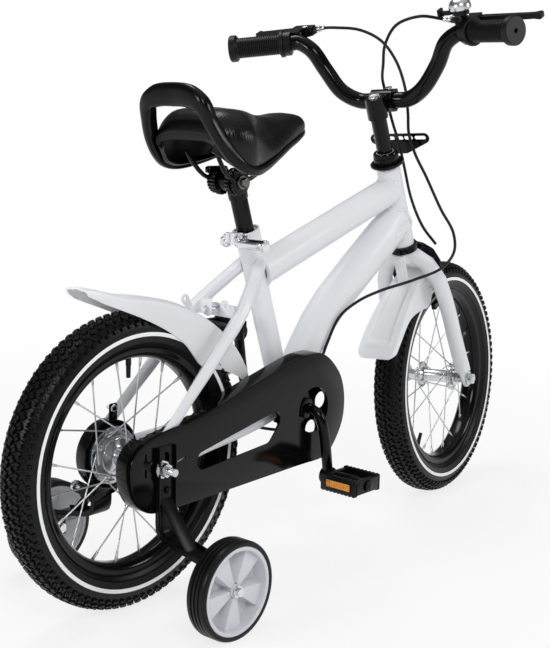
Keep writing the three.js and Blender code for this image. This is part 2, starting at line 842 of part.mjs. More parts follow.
function chainwheel() {
  const radius = pitchRadius(chainwheelTeeth);
  const half = sprocketThickness / 2;
  const blank = plate(toothedShape(chainwheelTeeth), -half, half);
  const cutters = [crossBore(0, 0, -overrun, overrun, crankSpindleRadius + seatGap)];
  for (let k = 0; k < chainwheelOpenings; k += 1) {
    const angle = (k / chainwheelOpenings) * 2 * Math.PI;
    const place = chainwheelOpeningPlaceShare * radius;
    const [x, z] = [place * Math.cos(angle), place * Math.sin(angle)];
    cutters.push(crossBore(x, z, -overrun, overrun, chainwheelOpeningShare * radius, tinyFacets));
  }
  return moved(cut(blank, ...cutters), 0, -chainLine, 0);
}

function freewheelSprocket() {
  const [inner, outer] = [rearHubHalf - 2 * sprocketThickness, rearHubHalf];
  const half = sprocketThickness / 2;
  const plateBody = moved(plate(toothedShape(sprocketTeeth), -half, half), 0, -chainLine, 0);
  const collar = crossRod(0, 0, -outer, -chainLine + 3 * half, freewheelRadius + 3 * half, smallFacets);
  const passage = crossBore(0, 0, -outer - overrun, -inner + 2 * chainWidth, freewheelRadius, smallFacets);
  return cut(joined(plateBody, collar), passage);
}

// Both arms, their bends and the spindle are one bar, with an eye at each end for a pedal
const crankArmShares = [[0, 0.55], [0, 0.7], [0.04, 0.82], [0.16, 0.92], [0.34, 0.97], [1, 1]];

function crank() {
  const arm = crankArmShares.map(([reach, side]) => v3(0, side * crankOffset, reach * crankLength));
  const half = crankEyeThickness / 2;
  const armSolid = (side) => {
    const tube = tubeAlong(arm, crankRodRadius, 7, tinyFacets);
    const eye = crossRod(0, crankLength, crankOffset - half, crankOffset + half, crankEyeRadius, tinyFacets);
    const whole = joined(tube, eye, pedalSpindle());
    return side > 0 ? whole : whole.rotate([180, 0, 0]);
  };
  const spindle = crossRod(0, 0, -0.6 * crankOffset, 0.6 * crankOffset, crankSpindleRadius, smallFacets);
  const stop = cupFlangeThickness + shellHalf + 2 * seatGap;
  const cone = crossRod(0, 0, stop, stop + cupFlangeThickness, coneRadius, tinyFacets);
  const lock = crossRod(0, 0, -chainLine - 3 * sprocketThickness, -chainLine - sprocketThickness, coneRadius, tinyFacets);
  return joined(armSolid(1), armSolid(-1), spindle, cone, lock);
}

// Pedal: a hollow frame of four bars round the spindle's sleeve, with a reflector pocket front and rear
const pedalWallShare = 0.2;
const pedalSleeveRadius = 9;
const pedalReflectorDepth = 2.2;
const pedalReflectorShares = [0.36, 0.27];

function pedalBody() {
  const [half, tall] = [pedalLength / 2, pedalHeight / 2];
  const [inside, outside] = [0, pedalWidth];
  const wall = pedalWallShare * half;
  const block = box(-half, half, inside, outside, -tall, tall);
  const sleeve = crossRod(0, 0, inside, outside, pedalSleeveRadius, smallFacets);
  const hollows = [-1, 1].map((end) => {
    const from = pedalSleeveRadius + wall / 2;
    const to = half - wall;
    return box(...(end > 0 ? [from, to] : [-to, -from]), wall * 1.6, outside - wall * 1.6, -pedalHeight, pedalHeight);
  });
  const pockets = [-1, 1].map(reflectorPocket);
  const passage = crossBore(0, 0, -overrun, outside + overrun, pedalSpindleRadius + runningGap, smallFacets);
  return cut(joined(block, sleeve), ...hollows, ...pockets, passage);
}

function reflectorPocket(end) {
  const half = pedalLength / 2;
  const [wide, tall] = pedalReflectorShares;
  const middle = pedalWidth / 2;
  const span = [half - pedalReflectorDepth, half + overrun];
  const [fromX, toX] = end > 0 ? span : [-span[1], -span[0]];
  return box(fromX, toX, middle - wide * pedalWidth, middle + wide * pedalWidth,
    -tall * pedalHeight, tall * pedalHeight);
}

const pedalInside = crankOffset + crankEyeThickness / 2 + 2;

// The spindle screwed in the crank's eye, with its end nut
function pedalSpindle() {
  const outside = pedalInside + pedalWidth + seatGap;
  const collar = pedalSpindleRadius * 1.8;
  const eyeFace = crankOffset + crankEyeThickness / 2;
  return joined(
    crossRod(0, crankLength, crankOffset, outside + dropoutThickness, pedalSpindleRadius, tinyFacets),
    crossRod(0, crankLength, eyeFace - seatGap, pedalInside - seatGap, collar, tinyFacets),
    crossRod(0, crankLength, outside, outside + dropoutThickness, collar, hexFacets),
  );
}

const rearArcShare = 0.7;

// The chain's outer line or inner line round both toothed wheels, offset from the pitch line
function chainLoop(offset, segments) {
  const front = pitchRadius(chainwheelTeeth) + offset;
  const rear = pitchRadius(sprocketTeeth) + offset;
  const span = Math.hypot(crankForward, crankRise);
  const tilt = Math.atan2(crankRise, crankForward);
  const reach = Math.acos((rear - front) / span);
  const points = [];
  const arc = (x, z, radius, from, to, count) => {
    const outward = radius / Math.cos((to - from) / count / 2);
    for (let i = 0; i <= count; i += 1) {
      const angle = from + ((to - from) * i) / count;
      const size = i === 0 || i === count ? radius : outward;
      points.push([x + size * Math.cos(angle), z + size * Math.sin(angle)]);
    }
  };
  arc(crankForward, crankHeight, front, tilt - reach, tilt + reach, segments);
  arc(0, wheelRadius, rear, tilt + reach, tilt + 2 * Math.PI - reach, Math.round(segments * rearArcShare));
  return pathShape(points);
}

const chainFacets = 10;

// The chain runs round both wheels, open on its inner side so that the teeth pass through
function chain() {
  const half = chainWidth / 2;
  const band = (outer, inner, fromY, toY) => cut(
    plate(chainLoop(outer, chainFacets), fromY, toY),
    plate(chainLoop(inner, chainFacets), fromY - overrun, toY + overrun),
  );
  const rise = toothRise + runningGap;
  const crown = rise + chainPlate;
  const side = (from) => band(crown, -chainHeight / 2, from, from + chainPlate);
  return joined(
    band(crown, rise, -chainLine - half, -chainLine + half),
    side(-chainLine - half),
    side(-chainLine + half - chainPlate),
  );
}

const coverDepth = 17;
const lugForward = -12;
const lugDrop = 50;
const lugRadius = 11;
const lugBoltRadius = 3.5;
const barrelForward = 20;
const barrelDrop = 49;
const barrelRadius = 3;
const barrelLength = 18;
const tabReach = 6;

// The fixed cover over the drum: a cup open towards the hub, a lug below and a tab at the torque bolt
function brakeCover() {
  const inside = coverRadius - coverWall;
  const cup = wheelTurned([
    [inside, coverFace - coverDepth],
    [coverRadius, coverFace - coverDepth],
    [coverRadius, coverFace],
    [stackRadius + seatGap, coverFace],
    [stackRadius + seatGap, coverFace - coverWall],
    [inside, coverFace - coverWall],
  ], roundFacets);
  const lug = plate(pathShape([
    [-inside / 2, -inside * 0.8],
    [lugForward - lugRadius, -lugDrop],
    [lugForward, -lugDrop - lugRadius],
    [barrelForward, -lugDrop - lugRadius / 2],
    [inside / 2, -inside * 0.8],
  ]), coverFace - coverWall, coverFace);
  const tab = box(torqueBoltForward - tabReach, torqueBoltForward + tabReach, coverFace - coverWall, coverFace,
    coverRadius - tabReach, torqueBoltRise + tabReach);
  const barrelY = coverFace + 0.6 * barrelRadius;
  const barrel = rod(v3(barrelForward - barrelLength, barrelY, -barrelDrop), v3(barrelForward, barrelY, -barrelDrop),
    barrelRadius, hexFacets);
  const boltPassage = crossBore(torqueBoltForward, torqueBoltRise, 0, 2 * coverFace, torqueBoltRadius + seatGap, hexFacets);
  const pivotPassage = crossBore(lugForward, -lugDrop, 0, 2 * coverFace, lugBoltRadius + seatGap, hexFacets);
  return cut(joined(cup, lug, tab, barrel), boltPassage, pivotPassage);
}

const brakeArmReach = [-27, 15.6];
const brakeArmThickness = 3.4;
const brakeArmRadius = 7;
const pinchBoltRadius = 3;

// The arm that draws the band tight, turning on the lug, with the bolt that pinches the cable
function brakeArm() {
  const from = coverFace + seatGap;
  const to = from + brakeArmThickness;
  const [x, z] = [lugForward + brakeArmReach[0], -lugDrop + brakeArmReach[1]];
  const length = Math.hypot(...brakeArmReach);
  const nx = (-brakeArmReach[1] / length) * brakeArmRadius;
  const nz = (brakeArmReach[0] / length) * brakeArmRadius;
  const blade = plate(pathShape([
    [lugForward + nx, -lugDrop + nz],
    [lugForward - nx, -lugDrop - nz],
    [x - nx, z - nz],
    [x + nx, z + nz],
  ]), from, to);
  const eye = crossRod(lugForward, -lugDrop, from, to, brakeArmRadius, tinyFacets);
  const end = crossRod(x, z, from, to, brakeArmRadius, tinyFacets);
  const pin = crossRod(lugForward, -lugDrop, coverFace - 2 * coverWall, to + coverWall, lugBoltRadius, hexFacets);
  const pinch = crossRod(x, z, from - pinchBoltRadius, to + pinchBoltRadius, pinchBoltRadius, hexFacets);
  return joined(blade, eye, end, pin, pinch);
}

function addDrive() {
  for (const [name, side] of sides) {
    add(frame, `bottom_bracket_cup_${name}`, onSide(side, bearingCup()), materials.blackPaint);
  }
  add(frame, 'chain', chain(), materials.steel);
  const rearAxis = new THREE.Group();
  rearAxis.position.set(0, 0, wheelRadius);
  frame.add(rearAxis);
  add(rearAxis, 'freewheel_sprocket', freewheelSprocket(), materials.steel);
  add(rearAxis, 'brake_cover', brakeCover(), materials.blackPaint);
  add(rearAxis, 'brake_arm', brakeArm(), materials.blackPaint);
  const turning = new THREE.Group();
  turning.position.copy(bottomBracket);
  turning.rotation.y = -crankRestAngle;
  frame.add(turning);
  add(turning, 'crank', crank(), materials.blackPaint);
  add(turning, 'chainwheel', chainwheel(), materials.blackPaint);
  for (const [name, side] of sides) {
    const pedal = new THREE.Group();
    pedal.position.set(0, 0, side * crankLength);
    pedal.rotation.y = crankRestAngle;
    turning.add(pedal);
    add(pedal, `pedal_${name}`, onSide(side, moved(pedalBody(), 0, pedalInside, 0)), materials.blackPlastic);
  }
}

addDrive();

// Rear axle, fork, headset and the front of the bicycle

const strapThickness = 3.5;
const guardThickness = 1.9;
const guardFace = rearDropoutInside + dropoutThickness + seatGap;
const strapFaceRight = guardFace + guardThickness + seatGap;
const strapFaceLeft = rearDropoutInside + dropoutThickness + seatGap;

function rearAxle() {
  const right = strapFaceRight + strapThickness + seatGap;
  const left = strapFaceLeft + strapThickness + seatGap;
  const body = axle(rearAxleLength, rearHubHalf, rearDropoutInside, rearDropoutInside, left, right);
  return moved(body, 0, 0, wheelRadius);
}

function frontAxle() {
  const seat = frontDropoutInside + frontDropoutThickness + seatGap;
  const body = axle(frontAxleLength, frontHubHalf, frontDropoutInside, frontDropoutInside, seat, seat);
  return moved(body, forkRake, 0, frontAxleAlong);
}

// Fork legs as shares of the way from the crown down to the axle
const forkLegRadius = 12;
const forkCrownDrop = 8;
const forkLegSide = 52;
const forkLegDropShares = [0, 0.062, 0.19, 0.4, 0.66, 0.905];
const forkLegSideShares = [0.15, 0.54, 0.83, 0.95, 0.98, 1];
const forkLegAheadShares = [0, 0.07, 0.22, 0.3, 0.4, 0.62];
const forkDropoutRadius = 13;
const steererTop = 150;
const steererBoreDepth = 125;

function forkLeg() {
  const length = -frontAxleAlong - forkCrownDrop;
  const points = forkLegDropShares.map((share, i) => v3(
    forkLegAheadShares[i] * forkRake,
    forkLegSideShares[i] * forkLegSide,
    -forkCrownDrop - share * length,
  ));
  const leg = tubeAlong(points, forkLegRadius, 7, tinyFacets);
  const [from, to] = [frontDropoutInside, frontDropoutInside + frontDropoutThickness];
  const round = crossRod(forkRake, frontAxleAlong, from, to, forkDropoutRadius, stayFacets);
  const foot = points[points.length - 1];
  const tab = plate(pathShape([
    [forkRake - forkDropoutRadius, frontAxleAlong],
    [forkRake + forkDropoutRadius, frontAxleAlong],
    [foot.x + forkLegRadius, foot.z + forkLegRadius],
    [foot.x - forkLegRadius, foot.z + forkLegRadius],
  ]), from, to);
  return joined(leg, round, tab);
}

function fork() {
  const crownTop = headTubeFoot - lowerRingHeight;
  const crown = rod(v3(0, 0, -forkCrownDrop - forkLegRadius), v3(0, 0, crownTop), headTubeRadius, smallFacets);
  const above = rod(v3(0, 0, crownTop), v3(0, 0, steererTop), 2 * forkLegSide);
  const steerer = rod(v3(0, 0, -forkCrownDrop), v3(0, 0, steererTop), steererRadius, smallFacets);
  const stemBore = bore(v3(0, 0, steererTop - steererBoreDepth), v3(0, 0, steererTop + overrun), steererBore, smallFacets);
  const axleBore = crossBore(forkRake, frontAxleAlong, -forkLegSide * 2, forkLegSide * 2, axleRadius + seatGap, tinyFacets);
  const legs = [forkLeg(), mirrored(forkLeg())];
  const lower = cut(joined(crown, ...legs), above);
  return joined(cut(joined(lower, steerer), stemBore, axleBore), crownBolt());
}

const crownBoltRadius = 3;
const crownBoltAlong = -15;

function crownBore(grow) {
  return bore(v3(-3 * headTubeRadius, 0, crownBoltAlong), v3(3 * headTubeRadius, 0, crownBoltAlong),
    crownBoltRadius + grow, tinyFacets);
}

const lowerRingRadius = 20.5;
const lowerRingHeight = 11;
const upperFlangeRadius = 24;
const upperFlangeHeight = 8;
const cupInsert = 10;

// A ring about the steering axis from a profile of radius and height along it
function axialTurned(profile, facets = smallFacets) {
  return wheelTurned(profile.map(([radius, along]) => [radius, along]), facets).rotate([90, 0, 0]);
}

function lowerCup() {
  const passage = steererRadius + runningGap;
  const insert = inscribed(headTubeRadius - tubeWall - seatGap, smallFacets);
  const top = headTubeFoot - seatGap;
  return axialTurned([
    [passage, top - lowerRingHeight + seatGap * 2],
    [lowerRingRadius, top - lowerRingHeight + seatGap * 2],
    [lowerRingRadius, top],
    [insert, top],
    [insert, top + cupInsert],
    [passage, top + cupInsert],
  ]);
}

function upperCup() {
  const passage = steererRadius + runningGap;
  const insert = inscribed(headTubeRadius - tubeWall - seatGap, smallFacets);
  const foot = headTubeTop + seatGap;
  return axialTurned([
    [passage, foot - cupInsert],
    [insert, foot - cupInsert],
    [insert, foot],
    [headTubeRadius, foot],
    [upperFlangeRadius, foot + upperFlangeHeight / 2],
    [upperFlangeRadius, foot + upperFlangeHeight],
    [passage, foot + upperFlangeHeight],
  ]);
}

const locknutRadius = 18;
const bracketPlateThickness = 2;

function locknutFoot() {
  return headTubeTop + 2 * seatGap + upperFlangeHeight;
}

function inscribedBore(radius) {
  return radius + seatGap;
}

// The locknut on the steerer's thread, over the bracket's ring
function headsetLocknut() {
  const foot = locknutFoot() + bracketPlateThickness + seatGap;
  const height = steererTop - foot + seatGap;
  return axialTurned([
    [inscribedBore(steererRadius), foot],
    [locknutRadius, foot],
    [locknutRadius - overrun, foot + height],
    [inscribedBore(steererRadius), foot + height],
  ], smallFacets);
}

// Front bracket: a ring under the locknut, a tongue forward and a slotted plate standing across
const bracketAhead = 50;
const bracketHalfWidth = 47;
const bracketEndHeight = 15.5;
const bracketRise = 14;
const bracketNeck = 12;
const bracketSlotPlaces = [0.22, 0.67];
const bracketSlotShares = [0.1, 0.18];

function frontBracket() {
  const foot = locknutFoot();
  const top = foot + bracketPlateThickness;
  const ring = rod(v3(0, 0, foot), v3(0, 0, top), locknutRadius);
  const tongue = box(0, bracketAhead, -bracketNeck / 2, bracketNeck / 2, foot, top);
  const middle = foot + bracketRise;
  const half = bracketEndHeight / 2;
  const shape = pathShape([
    [-bracketHalfWidth + half, middle + half],
    [-bracketHalfWidth, middle],
    [-bracketHalfWidth + half, middle - half],
    [-bracketNeck, foot - half],
    [bracketNeck, foot - half],
    [bracketHalfWidth - half, middle - half],
    [bracketHalfWidth, middle],
    [bracketHalfWidth - half, middle + half],
  ]);
  const upright = plate(shape, bracketAhead - bracketPlateThickness, bracketAhead);
  const cutters = [];
  for (const side of [-1, 1]) {
    for (const place of bracketSlotPlaces) {
      const x = side * place * bracketHalfWidth;
      const [wide, tall] = bracketSlotShares.map((share) => share * bracketHalfWidth);
      cutters.push(box(x - wide * 1.4, x + wide * 1.4, 0, 2 * bracketAhead, middle - tall / 3, middle + tall / 3));
    }
  }
  const across = cut(upright, ...cutters).rotate([0, 0, -90]);
  return cut(joined(ring, tongue, across), bore(v3(0, 0, 0), v3(0, 0, steererTop), steererRadius + seatGap));
}

// Stem: a quill in the steerer, rising to a clamp ring that holds the handlebar
const clampAhead = 25;
const clampAlong = 216.6;
const barRadius = 11.1;
const clampRadius = 16.5;
const clampWidth = 34;
const stemTop = 231;
const stemPlug = 60;

function stem() {
  const quill = rod(v3(0, 0, steererTop - stemPlug), v3(0, 0, stemTop), quillRadius, stayFacets);
  const head = rod(v3(0, 0, clampAlong - clampRadius), v3(0, 0, stemTop), quillRadius * 1.3, stayFacets);
  const ring = crossRod(clampAhead, clampAlong, -clampWidth / 2, clampWidth / 2, clampRadius, stayFacets);
  const bridge = box(0, clampAhead, -quillRadius, quillRadius, clampAlong - clampRadius * 0.7, stemTop - overrun);
  const ears = box(clampAhead, clampAhead + clampRadius * 1.5, -clampWidth / 3, clampWidth / 3,
    clampAlong - clampRadius * 0.5, clampAlong + clampRadius * 0.5);
  const barBore = crossBore(clampAhead, clampAlong, -clampWidth, clampWidth, barRadius + seatGap * 2, stayFacets);
  const slot = box(clampAhead, clampAhead + 2 * clampRadius, -clampWidth, clampWidth,
    clampAlong - seatGap * 5, clampAlong + seatGap * 5);
  return joined(cut(joined(quill, head, ring, bridge, ears), barBore, slot), expanderBolt(), clampBolt());
}

const stemBoltRadius = 4;
const clampBoltRadius = 3;
const boltHeadShare = 3.2;

// The heads of the bolt that spreads the quill and of the bolt that closes the clamp
function expanderBolt() {
  const top = v3(0, 0, stemTop + stemBoltRadius);
  return hex(v3(0, 0, stemTop - overrun), top, stemBoltRadius * boltHeadShare);
}

function clampBolt() {
  const x = clampAhead + clampRadius * 1.15;
  const half = clampRadius * 0.5 + clampBoltRadius;
  const shank = rod(v3(x, 0, clampAlong - half), v3(x, 0, clampAlong + half), clampBoltRadius, hexFacets);
  const head = hex(v3(x, 0, clampAlong + clampRadius * 0.5 - seatGap), v3(x, 0, clampAlong + half), clampBoltRadius * boltHeadShare);
  const nut = hex(v3(x, 0, clampAlong - half), v3(x, 0, clampAlong - clampRadius * 0.5 + seatGap), clampBoltRadius * boltHeadShare);
  return joined(shank, head, nut);
}

// Handlebar: half of its centre line, as shares of its reach, half width and rise over the clamp
const barHalfWidth = 216;
const barSteps = 22;
const barRise = 94.8;
const barBackset = 22.5;
const barStraight = 96;
const barStraightShares = [1, 0.9, 0.45, 0];
const barSideShares = [0, 0.083, 0.179, 0.296, 0.405, 0.485];
const barRiseShares = [0, 0, 0.01, 0.17, 0.487, 0.795];
const barAheadShares = [0, 0, 0.036, -0.03, 0.3, 0.4];

const gripDirection = v3(-0.359, 0.929, 0.076).normalize();

function barPoints() {
  const half = barSideShares.map((share, i) => v3(
    clampAhead + barAheadShares[i] * barBackset,
    share * barHalfWidth,
    clampAlong + barRiseShares[i] * barRise,
  ));
  const end = barEnd();
  const straight = barStraightShares.map((share) => (
    end.clone().addScaledVector(gripDirection, -share * barStraight)
  ));
  return [...half, ...straight];
}

function barEnd() {
  return v3(clampAhead - barBackset, barHalfWidth, clampAlong + barRise);
}

function handlebar() {
  const left = barPoints();
  const right = left.slice(1).map((p) => v3(p.x, -p.y, p.z)).reverse();
  return tubeAlong([...right, ...left], barRadius, barSteps, tinyFacets);
}

// Grips, brake levers and bell ride on the straight ends of the bar

const gripLength = 76;
const gripRadius = 14.5;
const gripFlangeRadius = 19;
const gripFlangeThickness = 5;
const gripEndWall = 3;

// A solid built along +Y from 0 is laid along the left end of the bar, measured in from its tip
function onBar(body, fromTip) {
  const turn = new THREE.Quaternion().setFromUnitVectors(v3(0, 1, 0), gripDirection);
  const place = barEnd().addScaledVector(gripDirection, -fromTip);
  const matrix = new THREE.Matrix4().compose(place, turn, v3(1, 1, 1));
  return body.transform(matrix.elements);
}

function grip() {
  const inside = inscribedBore(barRadius);
  const tip = gripEndWall + seatGap;
  return onBar(wheelTurned([
    [inside, -gripLength],
    [gripFlangeRadius, -gripLength],
    [gripFlangeRadius, -gripLength + gripFlangeThickness],
    [gripRadius, -gripLength + gripFlangeThickness],
    [gripRadius, tip - gripFlangeThickness * 2],
    [gripFlangeRadius, tip - gripFlangeThickness * 1.4],
    [gripFlangeRadius, tip],
    [gripEndWall, tip],
    [gripEndWall, seatGap],
    [inside, seatGap],
  ], stayFacets), 0);
}

const leverClampRadius = 16;
const leverClampWidth = 10;
const leverPivot = v3(62, 126, 311);
const leverTip = v3(85, 224, 305);
const leverBarrel = v3(61, 105, 314);
const leverThickness = 9;
const leverPivotRadius = 9;
const leverPinRadius = 2.5;
const leverCheek = 3;

// Rings of four corners about a point, square to Y, by half width and half height
function squareRing(at, wide, tall) {
  return [[-1, -1], [1, -1], [1, 1], [-1, 1]].map(([u, v]) => v3(at.x + u * wide, at.y, at.z + v * tall));
}

// Brake bracket: a clamp round the bar, a body reaching forward to the pin, and the cable barrel
function leverBracket() {
  const passage = inscribedBore(barRadius);
  const clamp = onBar(wheelTurned([
    [passage, -leverClampWidth],
    [leverClampRadius, -leverClampWidth],
    [leverClampRadius, 0],
    [passage, 0],
  ], tinyFacets), gripLength + seatGap);
  const half = leverThickness / 2 + seatGap;
  const cheek = half + leverCheek;
  const foot = barEnd().addScaledVector(gripDirection, -gripLength - leverClampWidth / 2);
  const arm = box(foot.x + barRadius / 2, leverPivot.x + leverPivotRadius, leverPivot.y,
    foot.y + leverClampWidth / 2, leverPivot.z - cheek, leverPivot.z + cheek);
  const body = loft([
    squareRing(leverPivot.clone().setY(leverPivot.y + leverPivotRadius), leverPivotRadius, cheek),
    squareRing(leverBarrel.clone().lerp(leverPivot, 0.3), leverPivotRadius * 0.7, cheek * 0.8),
  ]);
  const barrel = rod(leverBarrel.clone().lerp(leverPivot, 0.4), leverBarrel, leverPinRadius * 1.8, hexFacets);
  const { x, y, z } = leverPivot;
  const slot = joined(
    bore(v3(x, y, z - half), v3(x, y, z + half), leverPivotRadius + seatGap * 2, tinyFacets),
    box(x - leverPivotRadius * 2, x + leverPivotRadius * 2, y, y + leverPivotRadius * 3, z - half, z + half),
  );
  const pin = bore(v3(x, y, z - 2 * cheek), v3(x, y, z + 2 * cheek), leverPinRadius + seatGap, hexFacets);
  const barSpace = onBar(crossBore(0, 0, -barHalfWidth, barHalfWidth, passage, tinyFacets), gripLength);
  return joined(cut(joined(arm, body), slot, pin, barSpace), clamp, barrel);
}

// Lever: a root that turns on the pin, a blade and a rounded tip, with its pin
function brakeLever() {
  const half = leverThickness / 2;
  const { x, y, z } = leverPivot;
  const rootBody = rod(v3(x, y, z - half), v3(x, y, z + half), leverPivotRadius, tinyFacets);
  const pinReach = half + leverCheek;
  const pin = rod(v3(x, y, z - pinReach), v3(x, y, z + pinReach), leverPinRadius, hexFacets);
  const neck = v3(x, y, z).lerp(leverTip, 0.24).setZ(z);
  const blade = loft([
    squareRing(leverPivot, leverPivotRadius * 0.7, half),
    squareRing(neck, leverPivotRadius * 0.6, half),
    squareRing(neck.clone().lerp(leverTip, 0.85), leverPivotRadius * 0.42, half * 0.9),
    squareRing(leverTip.clone().lerp(neck, 0.04), leverPivotRadius * 0.75, half),
    squareRing(leverTip, leverPivotRadius * 0.6, half * 0.8),
  ]);
  return joined(rootBody, pin, blade);
}

const bellPlace = v3(32, 133, 337);
const bellDomeRadius = 15;
const bellDomeHeight = 14;
const bellBaseRadius = 12;
const bellWall = 1.2;
const bellLeverLength = 14;
const bellLeverRadius = 4;

// The bell's seat stands on the right brake bracket, with the post that the dome is screwed to
function bellSeat() {
  const foot = v3(leverPivot.x - leverPivotRadius * 2, bellPlace.y, leverPivot.z + leverThickness / 2 + leverCheek - 1);
  const under = v3(bellPlace.x, bellPlace.y, bellPlace.z - 7);
  return joined(
    rod(foot, under.clone().setZ(under.z + 1), 5, hexFacets),
    rod(under, bellPlace.clone().setZ(bellPlace.z - 2), bellBaseRadius, tinyFacets),
    rod(bellPlace.clone().setZ(bellPlace.z - 3), bellPlace.clone().setZ(bellPlace.z + bellDomeHeight - bellWall - seatGap),
      2, hexFacets),
  );
}

function bellDome() {
  const wall = bellWall;
  const outer = [[1, 0], [0.97, 0.35], [0.8, 0.72], [0.45, 0.94], [0, 1]];
  const top = bellDomeHeight;
  const profile = [
    ...outer.map(([share, rise]) => [share * bellDomeRadius, rise * top]),
    ...outer.slice().reverse().map(([share, rise]) => [share * (bellDomeRadius - wall), rise * (top - wall)]),
  ].map(([radius, height]) => new THREE.Vector2(radius, height));
  profile.push(profile[0].clone());
  const geometry = new THREE.LatheGeometry(profile, stayFacets);
  geometry.rotateX(Math.PI / 2);
  return moved(solid(geometry), bellPlace.x, bellPlace.y, bellPlace.z);
}

function bellThumbLever() {
  const pivot = v3(bellPlace.x, bellPlace.y - bellBaseRadius - seatGap - bellLeverRadius, bellPlace.z - 5);
  const half = bellLeverRadius * 0.6;
  const eye = rod(pivot.clone().setZ(pivot.z - half), pivot.clone().setZ(pivot.z + half), bellLeverRadius, tinyFacets);
  const reach = pivot.y - bellLeverLength + bellLeverRadius;
  const arm = box(pivot.x - bellLeverRadius, pivot.x + bellLeverRadius, reach, pivot.y, pivot.z - half, pivot.z + half);
  const pad = box(pivot.x - 2 * bellLeverRadius, pivot.x + bellLeverRadius, reach - bellLeverRadius, reach,
    pivot.z - 1.5 * bellLeverRadius, pivot.z + 1.7 * bellLeverRadius);
  return joined(eye, arm, pad);
}

// Side-pull brake in front of the fork crown

const caliperAhead = 22;
const caliperThickness = 7;
const caliperWidth = 11;
const caliperClear = 5;

function caliperArmPoints() {
  const rimTop = frontAxleAlong + (rimLipRadius + rimInnerRadius) / 2;
  const outside = tyreWidth / 2 + caliperClear;
  const top = crownBoltAlong;
  return [
    v3(0, 0, top),
    v3(0, outside * 0.75, top - 6),
    v3(0, outside + 5, top - 32),
    v3(0, outside + 4, (top + rimTop) / 2 - 8),
    v3(0, outside, rimTop),
  ];
}

// One flat arm, its own side's pad stud and its eye on the centre bolt
function caliperArm(layer) {
  const points = caliperArmPoints();
  const from = caliperAhead + layer * (caliperThickness + seatGap);
  const path = smoothPath(points);
  const outline = [];
  const back = [];
  const count = 7;
  for (let i = 0; i <= count; i += 1) {
    const point = path.getPoint(i / count);
    const along = path.getTangent(i / count);
    const wide = caliperWidth * (0.75 - 0.3 * (i / count));
    outline.push([point.y - along.z * wide, point.z + along.y * wide]);
    back.push([point.y + along.z * wide, point.z - along.y * wide]);
  }
  const flat = plate(pathShape([...outline, ...back.reverse()]), from, from + caliperThickness);
  const eye = crossRod(0, crownBoltAlong, from, from + caliperThickness, caliperWidth * 0.8, smallFacets);
  const blade = joined(flat, eye).rotate([0, 0, -90]).mirror([0, 1, 0]);
  return joined(cut(blade, crownBore(seatGap)), brakePad(from + caliperThickness / 2));
}

const padLength = 34;
const padHeight = 9;
const padReach = 7;
const padClearance = 2.5;

// The pad and its stud, reaching in from the arm's foot to just short of the rim
function brakePad(middle) {
  const foot = caliperArmPoints().pop();
  const rimSide = rimWidth / 2 + padClearance;
  return joined(
    box(middle - padLength / 2, middle + padLength / 2, rimSide, rimSide + padReach,
      foot.z - padHeight / 2, foot.z + padHeight / 2),
    crossRod(middle, foot.z, rimSide + padReach / 2, foot.y + padReach, crownBoltRadius, hexFacets),
  );
}

function crownBolt() {
  const head = caliperAhead + 2 * caliperThickness + 2 * seatGap + seatGap;
  const tail = headTubeRadius + 2 + 2 * seatGap;
  const shank = rod(v3(-tail - 6, 0, crownBoltAlong), v3(head + 4, 0, crownBoltAlong), crownBoltRadius, tinyFacets);
  const nut = hex(v3(-tail - 5, 0, crownBoltAlong), v3(-tail, 0, crownBoltAlong), 3.4 * crownBoltRadius);
  const front = hex(v3(head, 0, crownBoltAlong), v3(head + 5, 0, crownBoltAlong), 3.4 * crownBoltRadius);
  return joined(shank, nut, front);
}

function addSteering() {
  add(steering, 'headset_lower_cup', lowerCup(), materials.blackPaint);
  add(steering, 'headset_upper_cup', upperCup(), materials.blackPaint);
  add(steered, 'headset_locknut', headsetLocknut(), materials.blackPaint);
  add(steered, 'front_bracket', frontBracket(), materials.blackPaint);
  add(steered, 'fork', fork(), materials.whitePaint);
  add(steered, 'front_axle', frontAxle(), materials.chrome);
  add(steered, 'stem', stem(), materials.blackPaint);
  add(steered, 'handlebar', handlebar(), materials.blackPaint);
  for (const [name, side] of sides) {
    add(steered, `grip_${name}`, onSide(side, grip()), materials.blackRubber);
    const bracket = side > 0 ? leverBracket() : joined(leverBracket(), bellSeat());
    add(steered, `brake_bracket_${name}`, onSide(side, bracket), materials.blackPlastic);
    add(steered, `brake_lever_${name}`, onSide(side, brakeLever()), materials.blackPlastic);
    add(steered, `caliper_arm_${name}`, onSide(side, caliperArm(side > 0 ? 0 : 1)), materials.blackPaint);
  }
  add(steered, 'bell_dome', mirrored(bellDome()), materials.chrome);
  add(steered, 'bell_thumb_lever', mirrored(bellThumbLever()), materials.blackPlastic);
  add(frame, 'rear_axle', rearAxle(), materials.chrome);
}

addSteering();

// Mudguards: curved shells round the tyres, each with a raised band down its middle

const mudguardThickness = 2.2;
const mudguardAcross = [-1, -0.72, -0.3, 0, 0.3, 0.72, 1];
const mudguardCrownShares = [-1, -0.42, 0, 0.1, 0, -0.42, -1];
const mudguardDrop = 9;

// Rows across a mudguard; each station has its polar angle, radius and half width
function mudguardShell(stations, steps, centreX, centreZ) {
  const path = smoothPath(stations.map((s) => v3(s.angle, s.radius, s.half)));
  const rows = (inset) => {
    const found = [];
    for (let k = 0; k <= steps; k += 1) {
      const { x: angle, y: radius, z: half } = path.getPoint(k / steps);
      found.push(mudguardAcross.map((share, i) => {
        const reach = radius + mudguardCrownShares[i] * mudguardDrop - inset;
        const y = share * (half - (Math.abs(share) === 1 ? inset : 0));
        return v3(centreX + reach * Math.cos(angle), y, centreZ + reach * Math.sin(angle));
      }));
    }
    return found;
  };
  return sheet(rows(0), rows(mudguardThickness));
}

